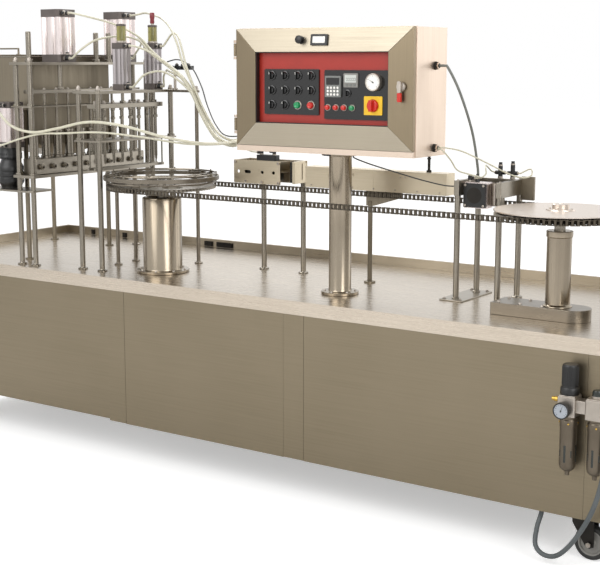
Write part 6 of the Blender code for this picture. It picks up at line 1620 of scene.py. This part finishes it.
# Dosing valve: dark ribbed body on the shelf
def buildValve():
    x, y, r = small["x"], small["y"], 0.058
    low, top = 1.1393, 1.322
    body = Build()
    body.turned([(0, low), (r * 0.8, low), (r * 0.8, low + 0.009), (r * 0.84, low + 0.012),
            (r * 0.995, low + 0.028), (r, low + 0.032), (r, low + 0.046), (r * 0.95, low + 0.048),
            (r * 0.95, low + 0.054), (r, low + 0.056), (r, low + 0.07), (r * 0.95, low + 0.072),
            (r * 0.95, low + 0.078), (r, low + 0.08), (r, low + 0.094), (r * 0.97, low + 0.098),
            (r * 0.74, low + 0.126), (r * 0.72, low + 0.13), (r * 0.76, low + 0.134),
            (r * 0.9, low + 0.139), (r * 0.9, low + 0.148), (r * 0.875, low + 0.15),
            (r * 0.875, low + 0.164), (r * 0.86, low + 0.166), (r * 0.86, top), (0, top)], (x, y, 0),
            sides=64)
    body.paint = 1
    z = low + 0.06
    body.turned([(0.018, -0.006), (0.018, 0.002), (0.0218, 0.0025), (0.0218, 0.006), (0.0195, 0.0065),
            (0.0195, 0.0085), (0.0218, 0.009), (0.0218, 0.0118), (0.015, 0.0119), (0.0145, 0.004),
            (0, 0.004)], (x + r, y, z), (1, 0, 0), 36)
    finish(body, "dosingValve", ["black", "bar"], "machine", hides=("dosing_valve",),
            rounding=0.0008)
    ribs = Build()
    ribs.box((-0.0028, 0.0028), (-0.0016, 0.0016), (-0.013, 0.013))
    spots = [((x + r * 0.865 * cos(a), y + r * 0.865 * sin(a), low + 0.146), (0.0, 0.0, a + pi / 2), 1.0)
            for a in [2 * pi * i / 28 for i in range(28)]]
    repeat("valveGripRibs", ribs, spots, "black", "machine")


buildValve()
print("filling head built")

# Air preparation unit on the right of the front
air = {"x": 1.573, "pitch": 0.098, "half": 0.032, "y": -0.4765, "top": 0.612, "neck": 0.54, "guard": 0.452,
        "bowl": 0.346, "bowlRadius": 0.029, "panel": -0.4345, "mid": 0.577}


def unitBody(build, x):
    y, half = air["y"], air["half"]
    build.paint = 0
    build.plate(rounded((x - half + 0.0003, x + half - 0.0003), (y - half + 0.0003, y + half - 0.0003),
            0.006), air["neck"], air["top"] - 0.004)
    build.plate(rounded((x - half + 0.003, x + half - 0.003), (y - half + 0.003, y + half - 0.003), 0.005),
            air["top"] - 0.0045, air["top"])
    neck, guard, low, r = air["neck"], air["guard"], air["bowl"], air["bowlRadius"]
    build.paint = 4
    build.turned([(0.03, neck + 0.001), (0.03, neck - 0.006), (0.0275, neck - 0.008),
            (0.0275, neck - 0.012), (0.0303, neck - 0.014), (0.0303, neck - 0.034), (0.0288, neck - 0.038),
            (0.0288, guard), (r - 0.0005, guard - 0.002), (r - 0.0005, low + 0.022),
            (r - 0.004, low + 0.01), (0.016, low + 0.002), (0.0095, low), (0.0095, low - 0.004),
            (0.008, low - 0.006), (0.008, low - 0.0158), (0.005, low - 0.016), (0, low - 0.016)],
            (x, y, 0), sides=48)
    build.paint = 1
    # sight windows and the vent slots between them
    for a in (-90, 0, 180, 90):
        cx, cy = x + (r - 0.005) * cos(radians(a)), y + (r - 0.005) * sin(radians(a))
        build.post(cx, cy, low + 0.034, guard - 0.012, 0.0058, 16)
    for a in (-45, 45, 135, 225):
        cx, cy = x + 0.0265 * cos(radians(a)), y + 0.0265 * sin(radians(a))
        build.post(cx, cy, low + 0.052, guard - 0.03, 0.003, 10)
    build.paint = 2
    for k in range(4):
        a = radians(90 * k + 20)
        build.rod((x + 0.029 * cos(a), y + 0.029 * sin(a), neck - 0.025),
                (x + 0.0325 * cos(a), y + 0.0325 * sin(a), neck - 0.025), 0.0035, 10)


def buildFilter():
    x, y, half, mid = air["x"], air["y"], air["half"], air["mid"]
    body = Build()
    unitBody(body, x)
    body.paint = 0
    body.box((x + half - 0.001, x + air["pitch"] - half - 0.0003), (y - 0.0218, y + 0.0218),
            (mid - 0.0218, mid + 0.0218))
    body.paint = 3
    body.box((x - 0.0258, x + 0.0258), (y + half - 0.001, air["panel"] - 0.0003), (mid - 0.0398, mid + 0.0298))
    body.paint = 2
    body.rod((x - half - 0.008, y, mid + 0.012), (x - half + 0.001, y, mid + 0.012), 0.0125, 6)
    body.rod((x - half - 0.02, y, mid + 0.012), (x - half - 0.0075, y, mid + 0.012), 0.009, 20)
    body.rod((x - half - 0.03, y, mid + 0.012), (x - half - 0.0195, y, mid + 0.012), 0.0068, 20)
    finish(body, "filterRegulator", ["alloy", "sight", "brass", "dark", "guard"], "machine",
            hides=("filter_regulator",), rounding=0.0011)
    gauge = Build()
    gx, gz, front = x - 0.004, air["top"] - 0.046, y - half
    frontTurned(gauge, [(0.0085, -0.001), (0.0085, 0.01), (0.024, 0.0105), (0.0272, 0.012),
            (0.028, 0.015), (0.028, 0.0325), (0.0268, 0.0338), (0.0245, 0.0336), (0.024, 0.0315)], gx,
            gz, front, 48)
    gauge.paint = 1
    frontTurned(gauge, [(0.0241, 0.0318), (0, 0.0318)], gx, gz, front, 40)
    gauge.paint = 0
    for i in range(13):
        a = radians(225 - 270 * i / 12)
        along = Vector((cos(a), 0, sin(a)))
        at = Vector((gx, front - 0.032, gz))
        gauge.rod(at + along * (0.017 if i % 3 == 0 else 0.019), at + along * 0.0215, 0.0006, 4)
    at = Vector((gx, front - 0.0323, gz))
    along = Vector((cos(radians(70)), 0, sin(radians(70))))
    gauge.rod(at - along * 0.005, at + along * 0.017, 0.0009, 6, 0.0003)
    frontTurned(gauge, [(0.0026, 0.0318), (0.0026, 0.033), (0, 0.0332)], gx, gz, front, 14)
    finish(gauge, "supplyGauge", ["black", "dial"], "machine")


def buildLubricator():
    x, y, half, mid = air["x"] + air["pitch"], air["y"], air["half"], air["mid"]
    top = air["top"]
    body = Build()
    unitBody(body, x)
    body.paint = 0
    body.turned([(0.02, top - 0.001), (0.02, top + 0.006), (0.018, top + 0.008)], (x, y, 0), sides=36)
    body.paint = 1
    body.turned([(0.0175, top + 0.007), (0.0175, top + 0.02), (0.015, top + 0.027),
            (0.008, top + 0.0298), (0, top + 0.03)], (x, y, 0), sides=32)
    elbow = x + half + 0.0125
    body.paint = 0
    body.box((x + half - 0.001, elbow + 0.0118), (y - 0.0118, y + 0.0118), (mid - 0.0118, mid + 0.0118))
    body.turned([(0.0098, mid - 0.011), (0.0098, mid - 0.017), (0.0105, mid - 0.018),
            (0.0105, mid - 0.03), (0.0088, mid - 0.03)], (elbow, y, 0), sides=28)
    finish(body, "lubricatorBody", ["alloy", "sight", "brass", "dark", "guard"], "machine",
            hides=("lubricator",), rounding=0.0011)


def buildRegulatorKnob():
    x, y = air["x"], air["y"]
    low = air["top"] + 0.0003
    knob = Build()
    knob.turned([(0, low), (0.031, low), (0.032, low + 0.002), (0.032, 0.6345), (0.03, 0.6375),
            (0.0272, 0.64), (0.0272, 0.708), (0.0262, 0.7125), (0.024, 0.7155), (0, 0.7158)], (x, y, 0),
            sides=60)
    outline = []
    for i in range(32):
        a = 2 * pi * i / 32
        for off, r in ((-0.055, 0.0268), (-0.03, 0.0281), (0.03, 0.0281), (0.055, 0.0268)):
            outline.append((x + r * cos(a + off), y + r * sin(a + off)))
    knob.plate(outline, 0.644, 0.708)
    finish(knob, "regulatorKnob", ["black"], "pressure_knob", hides=("regulator_knob",),
            rounding=0.0004)


buildFilter()
buildLubricator()
buildRegulatorKnob()
print("air unit built")


# Air tubes, the sensor cable and the supply hose: ports to the box, gathered in one bundle
tubes = {"radius": 0.0046, "shift": 0.0525, "hub": (0.0477, -0.1675, 1.41),
        "trunk": ((-0.605, 0.0, 1.722), (-0.531, -0.02, 1.69), (-0.447, -0.04, 1.645),
        (-0.375, -0.06, 1.586), (-0.316, -0.08, 1.512), (-0.247, -0.105, 1.441), (-0.165, -0.145, 1.392),
        (-0.084, -0.16, 1.372), (-0.02, -0.166, 1.392))}


def smoothLine(knots, spacing):
    knots = [Vector(k) for k in knots]
    ends = [2 * knots[0] - knots[1], *knots, 2 * knots[-1] - knots[-2]]
    points = []
    for a, b, c, d in zip(ends, ends[1:], ends[2:], ends[3:]):
        steps = max(1, round((c - b).length / spacing))
        for i in range(steps):
            t = i / steps
            points.append(0.5 * ((2 * b) + (c - a) * t + (2 * a - 5 * b + 4 * c - d) * t * t
                    + (3 * b - a - 3 * c + d) * t ** 3))
    points.append(knots[-1])
    return points


def lay(name, points, radius, material, hides=()):
    curve = bpy.data.curves.new(name, "CURVE")
    curve.dimensions = "3D"
    curve.bevel_depth = radius
    curve.bevel_resolution = 4
    curve.use_fill_caps = True
    spline = curve.splines.new("POLY")
    spline.points.add(len(points) - 1)
    for point, place in zip(spline.points, points):
        point.co = (*place, 1)
    curve.materials.append(finishes[material])
    cord = bpy.data.objects.new(name, curve)
    bpy.context.scene.collection.objects.link(cord)
    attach(cord, "machine")
    if hides:
        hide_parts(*hides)
    return cord


def shifted(points):
    return [Vector((x, y + tubes["shift"], z)) for x, y, z in points]


def portOf(cylinder, y, upper, front=False):
    size, cap = cylinder["size"], cylinder["cap"]
    way = Vector((0, -1, 0)) if front else Vector((1, 0, 0))
    across = Vector((0.2 * size, 0, 0)) if front else Vector((0, -0.2 * size, 0))
    z = cylinder["low"] + (cylinder["height"] - cap / 2 if upper else cap / 2)
    return Vector((cylinder["x"], y, z)) + across + way * (size / 2 + 0.027 * cylinder["fit"]), way


def buildTubes():
    hub = Vector(tubes["hub"])
    front, back = big["y"]
    near, far = medium["y"]
    # port, way to the bundle, the bundle's knot where it joins, and its place in the bundle
    runs = ((portOf(big, front, True), ((-0.9, -0.15, 1.905), (-0.82, -0.06, 1.872),
            (-0.735, 0.004, 1.818), (-0.665, 0.006, 1.762)), 0, (0.0, 0.0)),
            (portOf(big, front, False), ((-0.925, -0.165, 1.76), (-0.87, -0.12, 1.803),
            (-0.79, -0.05, 1.818), (-0.725, -0.006, 1.8), (-0.665, -0.004, 1.75)), 0,
            (-0.01, -0.006)), (portOf(big, back, True), ((-0.94, 0.238, 1.925), (-0.88, 0.222, 1.93),
            (-0.8, 0.185, 1.918), (-0.7, 0.13, 1.898), (-0.6, 0.07, 1.852), (-0.52, 0.02, 1.78),
            (-0.462, -0.018, 1.705)), 3, (0.011, 0.01)), (portOf(big, back, False),
            ((-0.96, 0.232, 1.738), (-0.88, 0.19, 1.79), (-0.79, 0.06, 1.806), (-0.735, 0.02, 1.8),
            (-0.665, 0.014, 1.748)), 0, (0.01, -0.008)), (portOf(medium, near, True),
            ((-0.65, -0.112, 1.772), (-0.61, -0.075, 1.752)), 1, (-0.012, 0.004)),
            (portOf(medium, far, True), ((-0.64, 0.092, 1.8), (-0.6, 0.08, 1.828),
            (-0.545, 0.052, 1.822), (-0.48, 0.005, 1.755), (-0.425, -0.03, 1.675)), 4, (0.01, 0.012)),
            (portOf(medium, far, False), ((-0.645, 0.07, 1.64), (-0.6, 0.04, 1.668),
            (-0.56, 0.01, 1.664)), 2, (0.002, -0.012)), (portOf(medium, near, False),
            ((-0.64, -0.118, 1.615), (-0.6, -0.11, 1.65), (-0.54, -0.08, 1.665),
            (-0.48, -0.055, 1.64)), 3, (-0.01, -0.01)))
    for n, ((port, out), way, joins, (aside, rise)) in enumerate(runs):
        shift = Vector((0, aside, rise))
        trunk = [Vector(p) + shift for p in tubes["trunk"][joins:]]
        inside = hub + Vector((-0.002, aside * 0.5, rise * 0.5))
        line = smoothLine([port, port + out * 0.015, *[Vector(p) for p in way], *trunk, inside], 0.014)
        lay("airTube_%d" % n, line, tubes["radius"], "tubing",
                hides=("air_harness",) if n == 0 else ())
    # two long tubes from the front cylinder pass before the posts, low and loose
    loose = ((portOf(small, small["y"], True, True), ((-1.15, -0.462, 1.49), (-1.05, -0.482, 1.43),
            (-0.93, -0.47, 1.405), (-0.8, -0.45, 1.425), (-0.64, -0.43, 1.455),
            (-0.48, -0.39, 1.442), (-0.32, -0.32, 1.398), (-0.18, -0.24, 1.372),
            (-0.07, -0.185, 1.378)), 0.006, (-0.004, 0.002)), (portOf(small, small["y"], False, True),
            ((-1.13, -0.455, 1.345), (-1.02, -0.47, 1.372), (-0.9, -0.46, 1.398),
            (-0.78, -0.444, 1.404), (-0.6, -0.41, 1.412), (-0.42, -0.35, 1.396),
            (-0.24, -0.27, 1.37), (-0.09, -0.2, 1.372)), 0.0042, (-0.005, -0.006)))
    for n, ((port, out), way, thick, (aside, rise)) in enumerate(loose):
        line = smoothLine([port, port + out * 0.015, *[Vector(p) for p in way],
                hub + Vector((-0.002, aside, rise))], 0.014)
        lay("frontTube_%d" % n, line, thick, "tubing")
    # thin lead of the switch on the rear filling cylinder
    lead = smoothLine([(-0.7015, 0.12, 1.7), (-0.68, 0.122, 1.702), (-0.6, 0.12, 1.715),
            (-0.51, 0.105, 1.68), (-0.42, 0.06, 1.6), (-0.34, 0.0, 1.52), (-0.23, -0.08, 1.44),
            (-0.12, -0.14, 1.4), hub + Vector((-0.002, 0.009, 0.004))], 0.014)
    lay("valveLead", lead, 0.0028, "lead")
    for n, (x, y, z) in enumerate(((-0.0896, 0.0214, 1.3252), (-0.0236, 0.0214, 1.3312))):
        start = hub + Vector((-0.01, 0.006 + 0.004 * n, -0.006))
        line = smoothLine([start, start + Vector((-0.04, 0.01, -0.006)),
                (x - 0.055 + 0.02 * n, -0.08, 1.372), (x - 0.048, -0.022, 1.345),
                (x - 0.014, y - 0.009, z + 0.001), (x, y, z)], 0.012)
        lay("stationOneTube_%d" % n, line, 0.003, "tubing")
    sleeve = Build()
    sleeve.rod((0.0594, hub.y, hub.z), (0.0357, hub.y, hub.z), 0.0138, 28)
    sleeve.paint = 1
    sleeve.turned([(0.0139, 0.0), (0.015, 0.001), (0.015, 0.004), (0.0139, 0.005)],
            (0.05, hub.y, hub.z), (1, 0, 0), 24)
    finish(sleeve, "tubeSleeve", ["black", "dark"], "machine")


def buildStationTwoTubes():
    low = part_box("station2_cylinder")[0]
    gland = Vector((0.8963, -0.1775, 1.39))
    x, z = low.x + 0.044, two["middle"] + two["face"] / 2 + 0.0146
    first, second = Vector((x, low.y + 0.018, z)), Vector((x, low.y + 0.044, z))
    (leftX, barY, barZ, tall), (rightX, barY, barZ, tall) = two["tees"]
    teeZ = barZ + 0.022
    runs = (("high", [gland + Vector((0, 0.003, 0.002)), gland + Vector((0.024, 0.004, 0.002)),
            (0.965, -0.12, 1.378), (1.03, -0.05, 1.335), (1.09, 0.03, 1.288), (1.128, 0.08, 1.272),
            (1.148, 0.108, 1.282), (1.14, 0.118, 1.303), (1.118, 0.118, 1.296),
            (rightX + 0.034, barY, teeZ + 0.001), (rightX + 0.0238, barY, teeZ)]),
            ("low", [gland + Vector((0, -0.003, -0.003)), gland + Vector((0.018, -0.002, -0.006)),
            (0.93, -0.14, 1.345), (0.938, -0.1, 1.305), (0.968, -0.062, 1.288), (0.998, -0.034, 1.277),
            first + Vector((0.01, 0, 0)), first]), ("link", [(leftX - 0.0238, barY, teeZ),
            (leftX - 0.036, barY - 0.004, teeZ + 0.004), (0.968, 0.082, 1.312), (0.986, 0.04, 1.306),
            (1.002, 0.012, 1.284), second + Vector((0.01, 0, 0)), second]))
    for name, route in runs:
        lay("stationTwoTube_" + name, smoothLine(route, 0.01), 0.003, "tubing")
    # thin dark lead from the box's floor, over the channel's front, to the cylinder's switch
    lead = [(0.56, -0.24, 1.3597), (0.562, -0.236, 1.345), (0.6, -0.18, 1.318), (0.68, -0.11, 1.284),
            (0.76, -0.06, 1.256), (0.85, -0.035, 1.237), (0.905, -0.022, 1.236),
            (low.x - 0.0003, -0.02, 1.238)]
    lay("switchLead", smoothLine(lead, 0.012), 0.0026, "lead")


def buildSensorCable():
    start = Vector((0.8963, -0.1775, 1.693))
    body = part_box("station2_cylinder")
    end = Vector((0.98, (body[0].y + body[1].y) / 2, two["middle"] + two["face"] / 2 + 0.0003))
    route = [start, start + Vector((0.012, 0, 0)), start + Vector((0.03, 0, 0)),
            (0.965, start.y + 0.03, 1.6), (0.985, start.y + 0.1, 1.45), end + Vector((0, 0, 0.05)),
            end + Vector((0, 0, 0.012)), end]
    lay("sensorCable", smoothLine(route, 0.012), 0.005, "sheath", hides=("sensor_cable",))
    relief = Build()
    relief.turned([(0.0052, 0.03), (0.0062, 0.026), (0.007, 0.01), (0.0085, 0.008), (0.0085, 0.0)],
            tuple(end), sides=20)
    finish(relief, "cableRelief", ["black"], "machine")


def buildHose():
    y = -0.447
    x = 1.452
    port = (1.7155, -0.529, 0.5467)
    route = shifted([(x, y, 0.227), (x, y, 0.157), (x - 0.004, y - 0.03, 0.1),
            (x + 0.008, y - 0.065, 0.05), (x + 0.05, y - 0.085, 0.03), (x + 0.105, y - 0.095, 0.045),
            (x + 0.165, y - 0.1, 0.115), (x + 0.225, y - 0.105, 0.23), (x + 0.258, y - 0.105, 0.36),
            (port[0], -0.549, port[2] - 0.08), (port[0], port[1], port[2] - 0.015), port])
    lay("supplyHose", smoothLine(route, 0.012), 0.0085, "hose",
            hides=("supply_hose",))


buildTubes()
buildStationTwoTubes()
buildSensorCable()
buildHose()
print("tubes laid")


def buildRoom():
    scene = bpy.context.scene
    scene.view_settings.view_transform = "Standard"
    world = bpy.data.worlds.new("whiteStudio")
    scene.world = world
    world.use_nodes = True
    tree = world.node_tree
    tree.nodes.clear()
    path = addNode(tree, "ShaderNodeLightPath")
    seen = addNode(tree, "ShaderNodeMath", {0: path.outputs["Is Camera Ray"],
            1: path.outputs["Is Glossy Ray"]}, operation="MAXIMUM")
    seen = addNode(tree, "ShaderNodeMath", {0: seen.outputs[0], 1: path.outputs["Is Transmission Ray"]},
            operation="MAXIMUM")
    # the studio is bright at the back and dim on the photographer's side
    where = addNode(tree, "ShaderNodeTexCoord")
    split = addNode(tree, "ShaderNodeSeparateXYZ", {"Vector": where.outputs["Generated"]})
    level = addNode(tree, "ShaderNodeMapRange", {"Value": split.outputs["Y"], "From Min": -0.7,
            "From Max": 0.5, "To Min": 0.4, "To Max": 1.05})
    fill = addNode(tree, "ShaderNodeBackground", {"Color": (1.0, 0.99, 0.975, 1.0),
            "Strength": level.outputs["Result"]})
    bright = addNode(tree, "ShaderNodeBackground", {"Color": (1.0, 1.0, 1.0, 1.0), "Strength": 1.0})
    mix = addNode(tree, "ShaderNodeMixShader", {0: seen.outputs[0]})
    tree.links.new(fill.outputs[0], mix.inputs[1])
    tree.links.new(bright.outputs[0], mix.inputs[2])
    addNode(tree, "ShaderNodeOutputWorld", {"Surface": mix.outputs[0]})
    floorMesh = bpy.data.meshes.new("floor")
    floorMesh.from_pydata([(-30, -12, 0), (30, -12, 0), (30, 40, 0), (-30, 40, 0)], [], [(0, 1, 2, 3)])
    floor = bpy.data.objects.new("floor", floorMesh)
    scene.collection.objects.link(floor)
    material = bpy.data.materials.new("paperFloor")
    material.use_nodes = True
    tree = material.node_tree
    tree.nodes.clear()
    paper = addNode(tree, "ShaderNodeBsdfDiffuse", {"Color": (0.86, 0.86, 0.86, 1.0)})
    glow = addNode(tree, "ShaderNodeEmission", {"Color": (1.0, 1.0, 1.0, 1.0), "Strength": 0.42})
    both = addNode(tree, "ShaderNodeAddShader")
    tree.links.new(paper.outputs[0], both.inputs[0])
    tree.links.new(glow.outputs[0], both.inputs[1])
    path = addNode(tree, "ShaderNodeLightPath")
    mix = addNode(tree, "ShaderNodeMixShader", {0: path.outputs["Is Camera Ray"]})
    tree.links.new(paper.outputs[0], mix.inputs[1])
    tree.links.new(both.outputs[0], mix.inputs[2])
    addNode(tree, "ShaderNodeOutputMaterial", {"Surface": mix.outputs[0]})
    floorMesh.materials.append(material)
    for name, place, aim, size, power in (("keyLamp", (-1.5, -5.5, 4.8), (0, 0, 0.8), 6.0, 270),
            ("fillLamp", (6.0, -3.0, 3.2), (0, 0, 0.9), 3.6, 120),
            ("topLamp", (-1.9, 2.2, 4.6), (-0.3, 0, 0.8), 3.6, 130),
            ("rimLamp", (4.6, 6.0, 2.4), (0.8, 0, 1.3), 5.0, 60)):
        data = bpy.data.lights.new(name, "AREA")
        data.shape = "DISK"
        data.size = size
        data.energy = power
        lamp = bpy.data.objects.new(name, data)
        lamp.location = place
        lamp.visible_camera = False
        lamp.rotation_euler = (Vector(aim) - Vector(place)).to_track_quat("-Z", "Y").to_euler()
        scene.collection.objects.link(lamp)


buildRoom()
